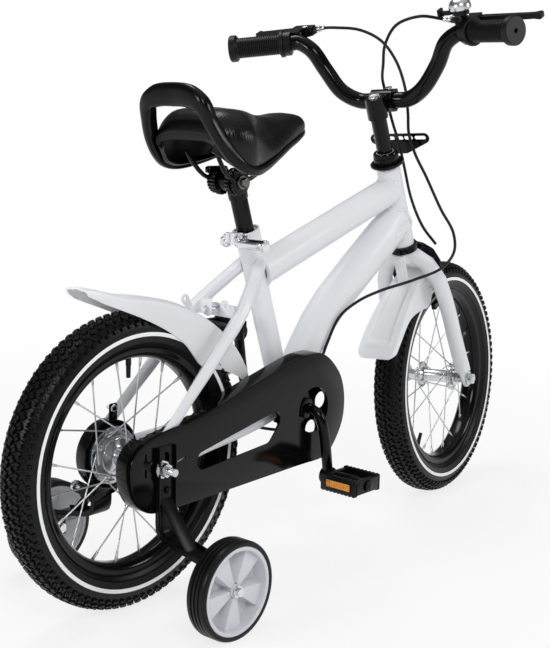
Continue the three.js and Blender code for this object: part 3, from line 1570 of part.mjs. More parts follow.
const rearGuardAngles = [18, 32, 45, 63, 84, 98, 110];
const rearGuardClearShares = [1.2, 1.155, 1.115, 1.08, 1.08, 1.125, 1.285];
const rearGuardHalfShares = [0.6, 0.9, 1, 1, 1, 1.05, 1.08];
const rearGuardHalf = 25;

const rearTabHalf = 8;

// The rear mudguard, with the tab that hangs it on the bolt of the stay bridge
function rearMudguard() {
  const { bend } = seatStayPoints();
  const face = bend.x - bridgeThickness / 2 - seatGap;
  const reach = rearGuardClearShares[2] * wheelRadius;
  const foot = wheelRadius + Math.sqrt(reach * reach - face * face);
  const tab = box(face - mudguardThickness, face, -rearTabHalf, rearTabHalf, foot - mudguardThickness / 2,
    bend.z + bridgeHeight / 2);
  const passage = bore(v3(0, 0, bend.z), v3(2 * bend.x, 0, bend.z), bridgeBoltRadius + seatGap, hexFacets);
  return joined(rearShell(), cut(tab, passage));
}

function rearShell() {
  return mudguardShell(rearGuardAngles.map((degrees, i) => ({
    angle: THREE.MathUtils.degToRad(degrees),
    radius: rearGuardClearShares[i] * wheelRadius,
    half: rearGuardHalfShares[i] * rearGuardHalf,
  })), 10, 0, wheelRadius);
}

// Angles are from the upright over the front axle, backwards
const frontGuardAngles = [-4, 14, 30, 44, 56];
const frontGuardClearShares = [1.085, 1.085, 1.09, 1.115, 1.17];
const frontGuardHalfShares = [0.8, 0.9, 1, 1.04, 1.08];
const frontGuardHalf = 26;

function frontMudguard() {
  const shell = mudguardShell(frontGuardAngles.map((degrees, i) => ({
    angle: Math.PI / 2 + THREE.MathUtils.degToRad(degrees),
    radius: frontGuardClearShares[i] * wheelRadius,
    half: frontGuardHalfShares[i] * frontGuardHalf,
  })), 7, forkRake, frontAxleAlong);
  const top = frontAxleAlong + frontGuardClearShares[0] * wheelRadius;
  const face = -headTubeRadius - seatGap;
  const tab = box(face - mudguardThickness, face, -tabHalf, tabHalf, top - mudguardThickness * 3, crownBoltAlong + tabHalf);
  return joined(shell, cut(tab, crownBore(seatGap)));
}

const tabHalf = 9;

// Chain guard: a plate with a long slot and a hole for the crank, and a wall turned inwards all round
const guardRearReach = 47;
const guardFrontReach = 70;
const guardHeight = 150.8;
const guardDrop = 75.4;
const guardWallDepth = 26;
const guardOutlineShares = [
  [0.146, 0.642], [0.271, 0.675], [0.751, 0.999], [0.8, 1], [0.85, 0.993], [0.89, 0.95], [0.935, 0.851],
  [0.97, 0.73], [1, 0.532], [0.985, 0.32], [0.925, 0.103], [0.866, 0.035], [0.764, 0.036],
  [0.549, 0.021], [0.383, 0.011], [0.207, 0], [0.072, 0.017], [0.03, 0.11], [0.004, 0.306], [0.01, 0.489],
  [0.06, 0.59],
];
const guardSlotShares = [[0.302, 0.326], [0.627, 0.495], [0.589, 0.386]];
const guardSlotRadiusShare = 0.075;
const guardCrankHole = 30;

function guardShape(inset) {
  const from = -guardRearReach;
  const length = crankForward + guardFrontReach + guardRearReach;
  const middle = [from + length / 2, crankHeight - guardDrop + guardHeight / 2];
  return pathShape(guardOutlineShares.map(([run, rise]) => {
    const [x, z] = [from + run * length, crankHeight - guardDrop + rise * guardHeight];
    return [
      middle[0] + (x - middle[0]) * (1 - (2 * inset) / length),
      middle[1] + (z - middle[1]) * (1 - (2 * inset) / guardHeight),
    ];
  }));
}

function chainGuard() {
  const length = crankForward + guardFrontReach + guardRearReach;
  const place = ([run, rise]) => [-guardRearReach + run * length, crankHeight - guardDrop + rise * guardHeight];
  const outer = guardFace + guardThickness;
  const wallFrom = outer - guardWallDepth;
  const skin = plate(guardShape(0), wallFrom, outer);
  const inside = plate(guardShape(guardThickness), wallFrom - overrun, guardFace);
  const corners = guardSlotShares.map(place);
  const slot = joined(...corners.map((corner, i) => slotAlongY(corner, corners[(i + 1) % corners.length],
    guardSlotRadiusShare * guardHeight, wallFrom, outer + overrun)));
  const crankHole = crossBore(crankForward, crankHeight, guardFace - overrun, outer + overrun, guardCrankHole);
  const axleBore = crossBore(0, wheelRadius, guardFace - overrun, outer + overrun, axleRadius + seatGap, tinyFacets);
  return cut(skin, inside, slot, crankHole, axleBore, stayNotch(wallFrom));
}

const notchForward = 20;
const notchReach = 95;

// Room in the guard's wall for the stays and the dropout
function stayNotch(wallFrom) {
  return joined(
    box(-notchForward, notchReach, wallFrom - overrun, guardFace, wheelRadius + dropoutRadius,
      crankHeight + guardHeight),
  );
}

// Clamp, seat post and saddle

const clampHeight = 16;
const clampWall = 3.6;
const clampEarReach = 14;
const clampEarHalf = 7;

// The collar that closes the slotted top of the seat tube, with its cross bolt and nut
function seatClamp() {
  const [foot, top] = [seatPoint(seatTubeLength - clampHeight), seatPoint(seatTubeLength + overrun)];
  const radius = seatTubeRadius + clampWall;
  const middle = foot.clone().lerp(top, 0.5);
  const ears = box(middle.x - radius - clampEarReach, middle.x, -clampEarHalf, clampEarHalf,
    middle.z - clampHeight * 0.35, middle.z + clampHeight * 0.35);
  const passage = bore(seatPoint(0), seatPoint(2 * seatTubeLength), seatTubeRadius + seatGap, smallFacets);
  const slot = box(middle.x - 3 * radius, middle.x, -seatSlotWidth / 2, seatSlotWidth / 2, foot.z - radius, top.z + radius);
  const boltX = middle.x - radius - clampEarReach / 2;
  const bolt = joined(
    crossRod(boltX, middle.z, -clampEarHalf - 5, clampEarHalf + 8, clampBoltRadius, hexFacets),
    crossRod(boltX, middle.z, clampEarHalf - seatGap, clampEarHalf + 5, clampBoltRadius * 1.9, hexFacets),
    crossRod(boltX, middle.z, -clampEarHalf - 4, -clampEarHalf + seatGap, clampBoltRadius * 1.9, tinyFacets),
  );
  return joined(cut(joined(rod(foot, top, radius, smallFacets), ears), passage, slot), bolt);
}

function seatPost() {
  const top = seatPoint(seatPostTop);
  return rod(seatPoint(seatPostTop - seatPostLength), top, seatPostRadius);
}

const railRadius = 3.5;
const railSide = 20;
const saddleClampAlong = 316;
const saddleClampBack = 12;
const saddleClampHalf = 19;
const saddleClampDisc = 12;

// The clamp on the post's top, holding both rails between its toothed discs
function saddleClamp() {
  const centre = clampCentre();
  const sleeve = rod(seatPoint(seatPostTop - 26), seatPoint(seatPostTop + 3), seatPostRadius + clampWall, tinyFacets);
  const postBore = bore(seatPoint(0), seatPoint(seatPostTop + seatGap), seatPostRadius + seatGap, tinyFacets);
  const neck = rod(seatPoint(seatPostTop - saddleClampDisc), centre, saddleClampDisc * 0.8, tinyFacets);
  const drum = crossRod(centre.x, centre.z, -saddleClampHalf, saddleClampHalf, saddleClampDisc, tinyFacets);
  const boltHalf = saddleClampHalf + saddleClampDisc;
  const bolt = crossRod(centre.x, centre.z, -boltHalf, boltHalf, railRadius, hexFacets);
  const washers = [1, -1].map((side) => crossRod(centre.x, centre.z, side * (saddleClampHalf - 1),
    side * (saddleClampHalf + 6), saddleClampDisc * 0.75, tinyFacets));
  const rails = tubeAlong(railPoints(), railRadius + seatGap, railSteps, hexFacets);
  return cut(joined(cut(joined(sleeve, neck), postBore), drum, bolt, ...washers), rails);
}

function clampCentre() {
  return seatPoint(saddleClampAlong).add(v3(-saddleClampBack, 0, 0));
}

// Saddle stations from the back: share of the length, of the half width, drop of the top and of the rim
const saddleBack = 95;
const saddleLength = 203;
const saddleHalf = 74;
const saddleTopHeight = 588;
const saddleHeight = 80;
const padStationShares = [0, 0.035, 0.1, 0.2, 0.32, 0.42, 0.52, 0.66, 0.82, 0.94, 1];
const padHalfShares = [0.42, 0.66, 0.86, 1, 0.98, 0.84, 0.64, 0.44, 0.36, 0.28, 0.12];
const padTopShares = [0.25, 0.09, 0.02, 0, 0.02, 0.07, 0.11, 0.12, 0.08, 0.13, 0.27];
const padRimShares = [0.55, 0.68, 0.88, 1, 0.98, 0.93, 0.86, 0.73, 0.6, 0.52, 0.45];
const padSectionShares = [[0.84, 0], [1, 0.3], [0.94, 0.66], [0.62, 0.93], [0, 1]];
const padHollowShares = [[0.74, 0], [0.64, 0.4]];

function padStation(k) {
  const x = saddleBack + padStationShares[k] * saddleLength;
  const half = padHalfShares[k] * saddleHalf;
  const rim = saddleTopHeight - padRimShares[k] * saddleHeight;
  const height = (padRimShares[k] - padTopShares[k]) * saddleHeight;
  return { x, half, rim, height };
}

// Half a section, drawn in by an inset, its rim lowered by a drop
function padSection(k, shares, inset, drop = 0) {
  const { x, half, rim, height } = padStation(k);
  return shares.map(([wide, rise]) => v3(
    x,
    wide === 0 ? 0 : wide * half - inset,
    rise === 0 ? rim - drop : rim + rise * height - inset,
  ));
}

function twoSided(points) {
  const middle = points.filter((p) => p.y === 0);
  const left = points.filter((p) => p.y !== 0);
  return [...left, ...middle, ...left.map((p) => v3(p.x, -p.y, p.z)).reverse()];
}

// The pad: crowned across, drawn in at its sides and hollow below over the base
function saddlePad() {
  return loft(padStationShares.map((share, k) => [
    ...twoSided(padSection(k, padSectionShares, 0)),
    ...twoSided(padSection(k, padHollowShares, 0)).reverse(),
  ]));
}

const baseThickness = 3;

// The base shell that lines the pad's hollow, open below
function baseShell() {
  return loft(padStationShares.slice(1, -1).map((share, i) => [
    ...twoSided(padSection(i + 1, padHollowShares, 2 * seatGap)),
    ...twoSided(padSection(i + 1, padHollowShares, 2 * seatGap + baseThickness)).reverse(),
  ]));
}

// Rails: two legs from the back of the base, level through the clamp, joined round the nose
const railRunShares = [-0.25, -0.15, -0.08, 0.08, 0.3, 0.5, 0.55];
const railSideShares = [1.3, 1.1, 1, 1, 0.85, 0.45, 0];
const railSteps = 18;
const railBackStation = 2;
const railNoseStation = 8;

function railPoints() {
  const centre = clampCentre();
  const under = (k) => {
    const { rim, height } = padStation(k);
    return rim + padHollowShares[1][1] * height - 4 * seatGap - baseThickness - railRadius;
  };
  const [back, level, nose] = [under(railBackStation), centre.z + railRadius / 2, under(railNoseStation)];
  const heights = [back, level + (back - level) * 0.3, level, level, level + (nose - level) * 0.55, nose, nose];
  const left = railRunShares.map((run, i) => v3(
    centre.x + run * saddleLength,
    railSideShares[i] * railSide,
    heights[i],
  ));
  return [...left, ...left.slice(0, -1).map((p) => v3(p.x, -p.y, p.z)).reverse()];
}

function saddleRails() {
  return tubeAlong(railPoints(), railRadius, railSteps, hexFacets);
}

// The grab handle rises behind the pad from the base: its half line from foot to top bar middle
const handleAcross = 10;
const handleTall = 24;
const handleHalf = 53;
const handleTop = 603;
const handleRunShares = [0.14, 0.05, -0.02, -0.05, -0.08, -0.093, -0.095];
const handleSideShares = [0.76, 0.86, 0.98, 1, 0.98, 0.8, 0];
const handleDropShares = [0.85, 1, 0.83, 0.55, 0.22, 0.03, 0];
const handleHeight = 82;
const handleSteps = 12;
const handleSectionShares = [[-1, -0.7], [-0.6, -1], [0.6, -1], [1, -0.7], [1, 0.7], [0.6, 1], [-0.6, 1], [-1, 0.7]];

function grabHandle() {
  const left = handleRunShares.map((run, i) => v3(
    saddleBack + run * saddleLength,
    handleSideShares[i] * handleHalf,
    handleTop - handleDropShares[i] * handleHeight,
  ));
  const right = left.slice(0, -1).map((p) => v3(p.x, -p.y, p.z)).reverse();
  const path = smoothPath([...left, ...right]);
  const rings = [];
  for (let k = 0; k <= handleSteps; k += 1) {
    const centre = path.getPoint(k / handleSteps);
    const along = path.getTangent(k / handleSteps);
    const upright = v3(1, 0, 0).cross(along).normalize();
    const back = along.clone().cross(upright).normalize();
    const tall = handleTall * (0.5 + 0.5 * Math.sin((Math.PI * k) / handleSteps));
    rings.push(handleSectionShares.map(([u, v]) => (
      centre.clone().addScaledVector(back, (u * handleAcross) / 2).addScaledVector(upright, (v * tall) / 2)
    )));
  }
  return cut(loft(rings), grownPad());
}

// The pad grown by the gap all round, to clear what passes it
function grownPad() {
  return loft(padStationShares.map((share, k) => {
    const ring = [
      ...twoSided(padSection(k, padSectionShares, -seatGap, seatGap)),
      ...twoSided(padSection(k, padHollowShares, seatGap, seatGap)).reverse(),
    ];
    return ring.map((p) => p.setX(k === 0 ? p.x - seatGap : p.x));
  }));
}

function addSeat() {
  add(frame, 'seat_clamp', seatClamp(), materials.chrome);
  add(frame, 'seat_post', seatPost(), materials.blackPaint);
  add(frame, 'saddle_clamp', saddleClamp(), materials.blackPaint);
  add(frame, 'saddle_rails', saddleRails(), materials.blackPaint);
  const rails = tubeAlong(railPoints(), railRadius + seatGap, railSteps, hexFacets);
  add(frame, 'saddle_base', cut(joined(baseShell(), grabHandle()), rails), materials.blackPlastic);
  add(frame, 'saddle_pad', saddlePad(), materials.vinyl);
}

addSeat();

function addGuards() {
  add(frame, 'rear_mudguard', rearMudguard(), materials.whitePlastic);
  add(steered, 'front_mudguard', frontMudguard(), materials.whitePlastic);
  add(frame, 'chain_guard', mirrored(chainGuard()), materials.blackPlastic);
}

addGuards();

// Training wheels: a bent strap with a brace on each end of the rear axle, and a wheel on a bolt

const strapWidth = 26;
const strapForward = 6;
const strapTop = 18;
const strapBend = -60;
const trainingTabOffset = 138;
const trainingTabRise = 22;
const braceWidth = 20;
const braceThickness = 2.5;
const trainingBoltRadius = 4.5;
const trainingTyreThickness = 6;

function strapLine(face) {
  const tabTop = trainingRadius + trainingTabRise;
  return [
    [face, wheelRadius + strapTop],
    [face, wheelRadius + strapBend],
    [trainingTabOffset - trainingTabRise, tabTop],
    [trainingTabOffset, tabTop - strapThickness],
    [trainingTabOffset, trainingRadius - trainingTabRise / 2],
  ];
}

// A flat strip bent along a line of Y and Z, of one thickness
function bentStrip(line, thickness, fromX, toX) {
  const normals = line.map((point, i) => {
    const before = line[Math.max(i - 1, 0)];
    const after = line[Math.min(i + 1, line.length - 1)];
    const length = Math.hypot(after[0] - before[0], after[1] - before[1]);
    return [-(after[1] - before[1]) / length, (after[0] - before[0]) / length];
  });
  const outer = line.map(([y, z], i) => [y + normals[i][0] * thickness, z + normals[i][1] * thickness]);
  const shape = pathShape([...line, ...outer.reverse()]);
  return plate(shape, fromX, toX).rotate([0, 0, -90]).mirror([0, 1, 0]);
}

function trainingBracket(face) {
  const [fromX, toX] = [strapForward - strapWidth / 2, strapForward + strapWidth / 2];
  const strap = bentStrip(strapLine(face), strapThickness, fromX, toX);
  const [by, bz] = [trainingTabOffset - trainingTabRise * 1.6, trainingRadius + trainingTabRise * 0.9];
  const bolt = crossRod(trainingForward, trainingRadius, trainingTabOffset + seatGap, trainingOffset + trainingWidth / 2 + 6,
    trainingBoltRadius, tinyFacets);
  const head = hex(v3(trainingForward, trainingOffset + trainingWidth / 2 + seatGap * 2, trainingRadius),
    v3(trainingForward, trainingOffset + trainingWidth / 2 + 7, trainingRadius), trainingBoltRadius * boltHeadShare);
  const brace = bentStrip([
    [face + 2, wheelRadius + strapBend * 0.62],
    [by, bz],
  ], braceThickness, strapForward - braceWidth / 2, strapForward + braceWidth / 2);
  const slot = slotAlongY([strapForward, wheelRadius + strapTop * 0.1], [0, wheelRadius], axleRadius + seatGap,
    face - overrun, face + 4 * strapThickness);
  const axlePassage = crossBore(0, wheelRadius, face - overrun, face + 4 * strapThickness, axleRadius + seatGap);
  return joined(cut(joined(strap, brace), slot, axlePassage), bolt, head);
}

const trainingFacets = 12;
const trainingBladeHoles = 5;

function trainingTyre() {
  const half = trainingWidth / 2;
  return moved(wheelTurned([
    [trainingHubRadius, -half],
    [trainingRadius - 2, -half],
    [trainingRadius, -half * 0.7],
    [trainingRadius, half * 0.7],
    [trainingRadius - 2, half],
    [trainingHubRadius, half],
  ], trainingFacets), trainingForward, trainingOffset, trainingRadius);
}

function trainingHub() {
  const half = trainingWidth / 2 - 1;
  const edge = trainingHubRadius - seatGap;
  const blade = 6;
  const dish = wheelTurned([
    [trainingBoltRadius + runningGap, -half],
    [edge - 5, -blade / 2],
    [edge, -half],
    [edge, half],
    [edge - 5, blade / 2],
    [14, blade / 2],
    [14, half],
    [trainingBoltRadius + runningGap, half],
  ], trainingFacets);
  const cutters = [];
  for (let k = 0; k < trainingBladeHoles; k += 1) {
    const middle = ((k + 0.5) / trainingBladeHoles) * 2 * Math.PI + Math.PI / 2;
    const spread = 0.3;
    const corner = (radius, turn) => [radius * Math.cos(middle + turn), radius * Math.sin(middle + turn)];
    cutters.push(plate(pathShape([
      corner(20, -spread * 0.8), corner(20, spread * 0.8), corner(edge - 8, spread), corner(edge - 6, 0), corner(edge - 8, -spread),
    ]), -trainingWidth, trainingWidth));
  }
  return moved(cut(dish, ...cutters), trainingForward, trainingOffset, trainingRadius);
}

function addTrainingWheels() {
  for (const [name, side] of sides) {
    const face = side > 0 ? strapFaceLeft : strapFaceRight;
    add(frame, `training_bracket_${name}`, onSide(side, trainingBracket(face)), materials.blackPaint);
    add(frame, `training_tyre_${name}`, onSide(side, trainingTyre()), materials.blackPlastic);
    add(frame, `training_hub_${name}`, onSide(side, trainingHub()), materials.greyPlastic);
  }
}

addTrainingWheels();

// Brake cables: black housings along their real routes

const cableRadius = 2.4;
const rearCableSteps = 62;
const frontCableSteps = 32;

// Points on the steered parts: ahead of the steering axis, to the left of it and along it
function steeredPoint([ahead, side, along]) {
  root.updateMatrixWorld(true);
  return steered.localToWorld(v3(ahead, side, along));
}

const rearCableSteered = [
  [61, 104.6, 314.1], [60.6, 94, 315.6], [66, 76, 313], [84, 50, 302], [92, 24, 282], [88, 4, 252], [74, -10, 216],
  [56, -17, 186], [42, -20, 160], [36, -27, 132], [44, -34, 92],
];
const rearCableFixed = [
  [566, -48, 446], [586, -58, 412], [582, -64, 386], [552, -64, 364], [500, -52, 350],
  [440, -36, 338], [398, -30, 327], [362, -27, 309],
  [340, -25, 276], [330, -16, 232], [320, -6, 190], [298, 8, 160], [262, 18, 164],
  [224, 25, 180.5], [176, 34, 178], [110, 41, 171], [72, 45, 156], [48, 47.4, 139], [34, 47.7, 129.6], [20.3, 47.7, 129],
];

function rearCable() {
  const points = [...rearCableSteered.map(steeredPoint), ...rearCableFixed.map(([x, y, z]) => v3(x, y, z))];
  return tubeAlong(points, cableRadius, rearCableSteps, tinyFacets);
}

const frontCableSteered = [
  [61, -104.6, 314.1], [60.6, -94, 315.6], [40, -70, 328], [24, -42, 324], [26, -18, 298], [42, 0, 264],
  [57, 14, 236], [57, 13, 216], [54, 11, 200], [44, 4, 180], [32, -6, 156], [28, -10, 134], [29, -10, 110], [36, -8, 60],
  [44, -14, 12], [44, -30, -16],
];

function frontCable() {
  return tubeAlong(frontCableSteered.map(([ahead, side, along]) => v3(ahead, side, along)),
    cableRadius, frontCableSteps, tinyFacets);
}

add(frame, 'rear_brake_cable', rearCable(), materials.blackPlastic);
add(steered, 'front_brake_cable', frontCable(), materials.blackPlastic);

export default root;
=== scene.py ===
"""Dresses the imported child's bicycle with training wheels for rendering.

Sizes in the classes are millimetres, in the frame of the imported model: the origin on the
ground under the rear axle, +X forward, +Y left and +Z up. A finished piece is in metres.
"""

import json
import logging
import math
from dataclasses import dataclass, field
from enum import Enum
from typing import Callable, Sequence

import bmesh
import bpy
from mathutils import Matrix, Vector


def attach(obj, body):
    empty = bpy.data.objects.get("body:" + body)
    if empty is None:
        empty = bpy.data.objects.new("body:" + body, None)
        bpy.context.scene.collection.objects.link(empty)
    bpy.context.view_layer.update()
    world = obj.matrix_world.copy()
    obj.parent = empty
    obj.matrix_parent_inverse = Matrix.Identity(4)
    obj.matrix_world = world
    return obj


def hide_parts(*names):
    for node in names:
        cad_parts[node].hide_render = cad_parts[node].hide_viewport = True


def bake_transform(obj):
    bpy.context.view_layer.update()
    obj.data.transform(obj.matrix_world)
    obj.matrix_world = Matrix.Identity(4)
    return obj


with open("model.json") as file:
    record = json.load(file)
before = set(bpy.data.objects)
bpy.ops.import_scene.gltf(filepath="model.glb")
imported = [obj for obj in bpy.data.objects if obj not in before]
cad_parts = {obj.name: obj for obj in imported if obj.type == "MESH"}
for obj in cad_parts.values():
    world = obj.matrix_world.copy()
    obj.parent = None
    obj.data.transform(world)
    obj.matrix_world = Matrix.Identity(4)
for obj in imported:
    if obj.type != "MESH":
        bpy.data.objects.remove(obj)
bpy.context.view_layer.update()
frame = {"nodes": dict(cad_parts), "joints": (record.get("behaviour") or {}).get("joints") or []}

MM = 0.001
FULL_TURN = 2 * math.pi
QUARTER_ABOUT_X = Matrix.Rotation(math.pi / 2, 4, "X")
SWAPPED = Matrix(((0, 1, 0, 0), (1, 0, 0, 0), (0, 0, 1, 0), (0, 0, 0, 1)))
SIDES = (("left", 1), ("right", -1))
LOG = logging.getLogger("bicycle")

Point = tuple[float, float, float]
Profile = Sequence[tuple[float, float]]
Tree = bpy.types.NodeTree
Socket = bpy.types.NodeSocket
Rows = Sequence[tuple[float, float, float, int, int, float]]


# ---------------------------------------------------------------- finishes


class Texture(Enum):
    """The relief that a finish has on its surface."""

    PAINT = "paint"
    MOULDED = "moulded"
    RUBBER = "rubber"
    DOTTED = "dotted"
    METAL = "metal"
    PRISM = "prism"


def wire(tree: Tree, made: bpy.types.Node,
         values: dict[int | str, object]) -> bpy.types.Node:
    """Links or sets a node's inputs.

    Args:
        tree: the tree that the node is in.
        made: the node.
        values: sockets or plain values by the name or index of the input.

    Returns:
        The node.
    """
    for key, value in values.items():
        if isinstance(value, Socket):
            tree.links.new(value, made.inputs[key])
        else:
            made.inputs[key].default_value = value
    return made


def node(tree: Tree, kind: str, *inputs: object, operation: str = "",
         **named: object) -> bpy.types.Node:
    """Adds a shader node with its inputs.

    Args:
        tree: the tree to add it to.
        kind: Blender's name of the node, without ShaderNode.
        inputs: sockets or plain values of the first inputs.
        operation: what a node that has operations does.
        named: sockets or plain values by input name, with _ for a space.

    Returns:
        The node.
    """
    made = tree.nodes.new("ShaderNode" + kind)
    if operation:
        made.operation = operation
    names = {label.replace("_", " "): value for label, value in named.items()}
    return wire(tree, made, {**dict(enumerate(inputs)), **names})


def maths(tree: Tree, operation: str, *values: object) -> Socket:
    """The output of a new Math node."""
    return node(tree, "Math", *values, operation=operation).outputs[0]


class NodeGroups:
    """Shader node groups that more than one finish uses, each built once."""

    def __init__(self) -> None:
        """Starts with no group built."""
        self._built: dict[str, Tree] = {}

    def _group(self, name: str, inputs: dict[str, object], fill: Callable) -> Tree:
        """A group, built on first use.

        Args:
            name: its name.
            inputs: default value by input name, a number or a colour.
            fill: makes its nodes from the tree and the inputs' sockets, and gives a socket
                for each output by name.

        Returns:
            The group.
        """
        if name in self._built:
            return self._built[name]
        tree = self._built[name] = bpy.data.node_groups.new(name, "ShaderNodeTree")
        for label, value in inputs.items():
            kind = "NodeSocketFloat" if isinstance(value, float) else "NodeSocketColor"
            tree.interface.new_socket(label, in_out="INPUT", socket_type=kind).default_value = value
        results = fill(tree, tree.nodes.new("NodeGroupInput").outputs)
        for label in results:
            kind = "NodeSocketColor" if label == "Colour" else "NodeSocketFloat"
            tree.interface.new_socket(label, in_out="OUTPUT", socket_type=kind)
        wire(tree, tree.nodes.new("NodeGroupOutput"), results)
        return tree

    def tone(self) -> Tree:
        """A colour and a roughness that both vary a little over the surface.

        Returns:
            The group, with the outputs Colour and Roughness.
        """

        def fill(tree: Tree, given: bpy.types.NodeOutputs) -> dict:
            """Makes the nodes.

            Args:
                tree: the group's tree.
                given: outputs of the input node.

            Returns:
                A socket for each output by name.
            """
            place = node(tree, "TexCoord").outputs["Object"]
            noise = node(tree, "TexNoise", Vector=place, Scale=given["Scale"], Detail=4.0)
            centred = maths(tree, "SUBTRACT", noise.outputs["Fac"], 0.5)
            shade = maths(tree, "MULTIPLY", centred, given["Spread"])
            gain = maths(tree, "MULTIPLY_ADD", shade, 2.0, 1.0)
            scaled = node(tree, "VectorMath", given["Colour"], operation="SCALE", Scale=gain)
            rough = maths(tree, "MULTIPLY", centred, given["Rough Spread"])
            return {"Colour": scaled.outputs["Vector"],
                    "Roughness": maths(tree, "ADD", rough, given["Roughness"])}

        return self._group("tone", {"Colour": (1, 1, 1, 1), "Spread": 0.05, "Scale": 30.0,
                                    "Roughness": 0.4, "Rough Spread": 0.05}, fill)

    def relief(self, texture: Texture) -> Tree:
        """The height of a texture over Object coordinates, from 0 to about 1.

        Args:
            texture: which relief.

        Returns:
            The group, with the input Scale and the output Height.
        """
        height = {Texture.DOTTED: self._dots, Texture.PRISM: self._prisms,
                  Texture.PAINT: self._waves, Texture.METAL: self._waves}.get(texture, self._cells)

        def fill(tree: Tree, given: bpy.types.NodeOutputs) -> dict:
            """Makes the nodes.

            Args:
                tree: the group's tree.
                given: outputs of the input node.

            Returns:
                A socket for each output by name.
            """
            place = node(tree, "TexCoord").outputs["Object"]
            return {"Height": height(tree, place, given["Scale"])}

        return self._group("relief_" + texture.value, {"Scale": 500.0}, fill)

    def _waves(self, tree: Tree, place: Socket,
               scale: Socket) -> Socket:
        """Soft waves, as in sprayed paint or polished metal."""
        return node(tree, "TexNoise", Vector=place, Scale=scale, Detail=1.5).outputs["Fac"]

    def _cells(self, tree: Tree, place: Socket,
               scale: Socket) -> Socket:
        """Fine cells over soft waves, as on moulded plastic and rubber."""
        cells = node(tree, "TexVoronoi", Vector=place, Scale=scale).outputs["Distance"]
        return maths(tree, "MULTIPLY_ADD", cells, 0.6, self._waves(tree, place, scale))

    def _scaled(self, tree: Tree, place: Socket,
                scale: Socket) -> bpy.types.NodeOutputs:
        """The three parts of a scaled place."""
        scaled = node(tree, "VectorMath", place, operation="SCALE", Scale=scale)
        return node(tree, "SeparateXYZ", scaled.outputs["Vector"]).outputs

    def _dots(self, tree: Tree, place: Socket,
              scale: Socket) -> Socket:
        """Rows of small dimples, as on embossed vinyl.

        Args:
            tree: the tree to add the nodes to.
            place: socket of the coordinates.
            scale: socket of the scale.

        Returns:
            The height's socket.
        """
        parts = self._scaled(tree, place, scale)
        both = maths(tree, "MULTIPLY", *(maths(tree, "SINE", parts[axis]) for axis in "XY"))
        return maths(tree, "POWER", maths(tree, "ABSOLUTE", both), 0.6)

    def _prisms(self, tree: Tree, place: Socket,
                scale: Socket) -> Socket:
        """Crossed ridges, as inside a reflector."""
        parts = self._scaled(tree, place, scale)
        return maths(tree, "ADD", *(maths(tree, "PINGPONG", parts[axis], 1.0) for axis in "YZ"))


GROUPS = NodeGroups()


@dataclass(frozen=True)
class Finish:
    """One finish of the bicycle, made into a material when it is first used.

    The colour is linear. Scales are waves per metre, relief_depth is in metres.
    """

    name: str
    slot: str
    colour: Point
    roughness: float
    texture: Texture
    metallic: float = 0.0
    coat: float = 0.0
    specular: float = 0.5
    translucent: float = 0.0
    tone_spread: float = 0.04
    tone_scale: float = 25.0
    rough_spread: float = 0.06
    relief_scale: float = 600.0
    relief_depth: float = 0.00002

    def material(self) -> bpy.types.Material:
        """The finish's material, built on first use."""
        return bpy.data.materials.get(self.name) or self._build()

    def _build(self) -> bpy.types.Material:
        """Builds the node tree of the material.

        Returns:
            The material.
        """
        made = bpy.data.materials.new(self.name)
        made.use_nodes = True
        tree = made.node_tree
        tone = self._place(tree, GROUPS.tone(), {
            "Colour": (*self.colour, 1.0), "Spread": self.tone_spread, "Scale": self.tone_scale,
            "Roughness": self.roughness, "Rough Spread": self.rough_spread})
        relief = self._place(tree, GROUPS.relief(self.texture), {"Scale": self.relief_scale})
        bump = node(tree, "Bump", Distance=self.relief_depth, Strength=1.0,
                    Height=relief["Height"])
        wire(tree, tree.nodes["Principled BSDF"], {
            "Base Color": tone["Colour"], "Roughness": tone["Roughness"],
            "Normal": bump.outputs["Normal"], "Metallic": self.metallic,
            "Coat Weight": self.coat, "Coat Roughness": 0.06, "Specular IOR Level": self.specular,
            "Subsurface Weight": self.translucent, "Subsurface Radius": (1.0, 1.0, 1.0),
            "Subsurface Scale": 0.005})
        return made

    def _place(self, tree: Tree, group: Tree,
               values: dict[int | str, object]) -> bpy.types.NodeOutputs:
        """Places a node group with its values and gives its outputs.

        Args:
            tree: the material's tree.
            group: the group to place.
            values: value by input name.

        Returns:
            The outputs of the placed node.
        """
        made = tree.nodes.new("ShaderNodeGroup")
        made.node_tree = group
        return wire(tree, made, values).outputs


WHITE_PAINT = Finish(
    "white_frame_paint", "white_paint", (0.79, 0.80, 0.83), 0.36, Texture.PAINT, coat=0.08,
    specular=0.3, tone_spread=0.01, relief_scale=60, relief_depth=0.000006)
WHITE_PLASTIC = Finish(
    "white_mudguard_plastic", "white_plastic", (0.82, 0.83, 0.855), 0.36, Texture.MOULDED,
    translucent=0.7, tone_spread=0.012, relief_scale=900, relief_depth=0.000006)
BLACK_PAINT = Finish(
    "black_gloss_paint", "black_paint", (0.0016, 0.0016, 0.0018), 0.14, Texture.PAINT, specular=0.2,
    relief_scale=50, relief_depth=0.000001)
STRAP_PAINT = Finish(
    "black_strap_paint", "black_paint", (0.0018, 0.0018, 0.002), 0.3, Texture.PAINT, specular=0.16,
    relief_scale=50, relief_depth=0.000001)
BLACK_PLASTIC = Finish(
    "black_moulded_plastic", "black_plastic", (0.003, 0.003, 0.0032), 0.34, Texture.MOULDED,
    specular=0.22, relief_scale=1300, relief_depth=0.00002)
GUARD_PLASTIC = Finish(
    "black_guard_plastic", "black_plastic", (0.0025, 0.0025, 0.0027), 0.14, Texture.PAINT,
    specular=0.2, relief_scale=40, relief_depth=0.00003)
TYRE_RUBBER = Finish("tread_rubber", "tyre_rubber", (0.0025, 0.0025, 0.0026), 0.36, Texture.RUBBER,
                     specular=0.22, tone_spread=0.2, relief_scale=900, relief_depth=0.00004)
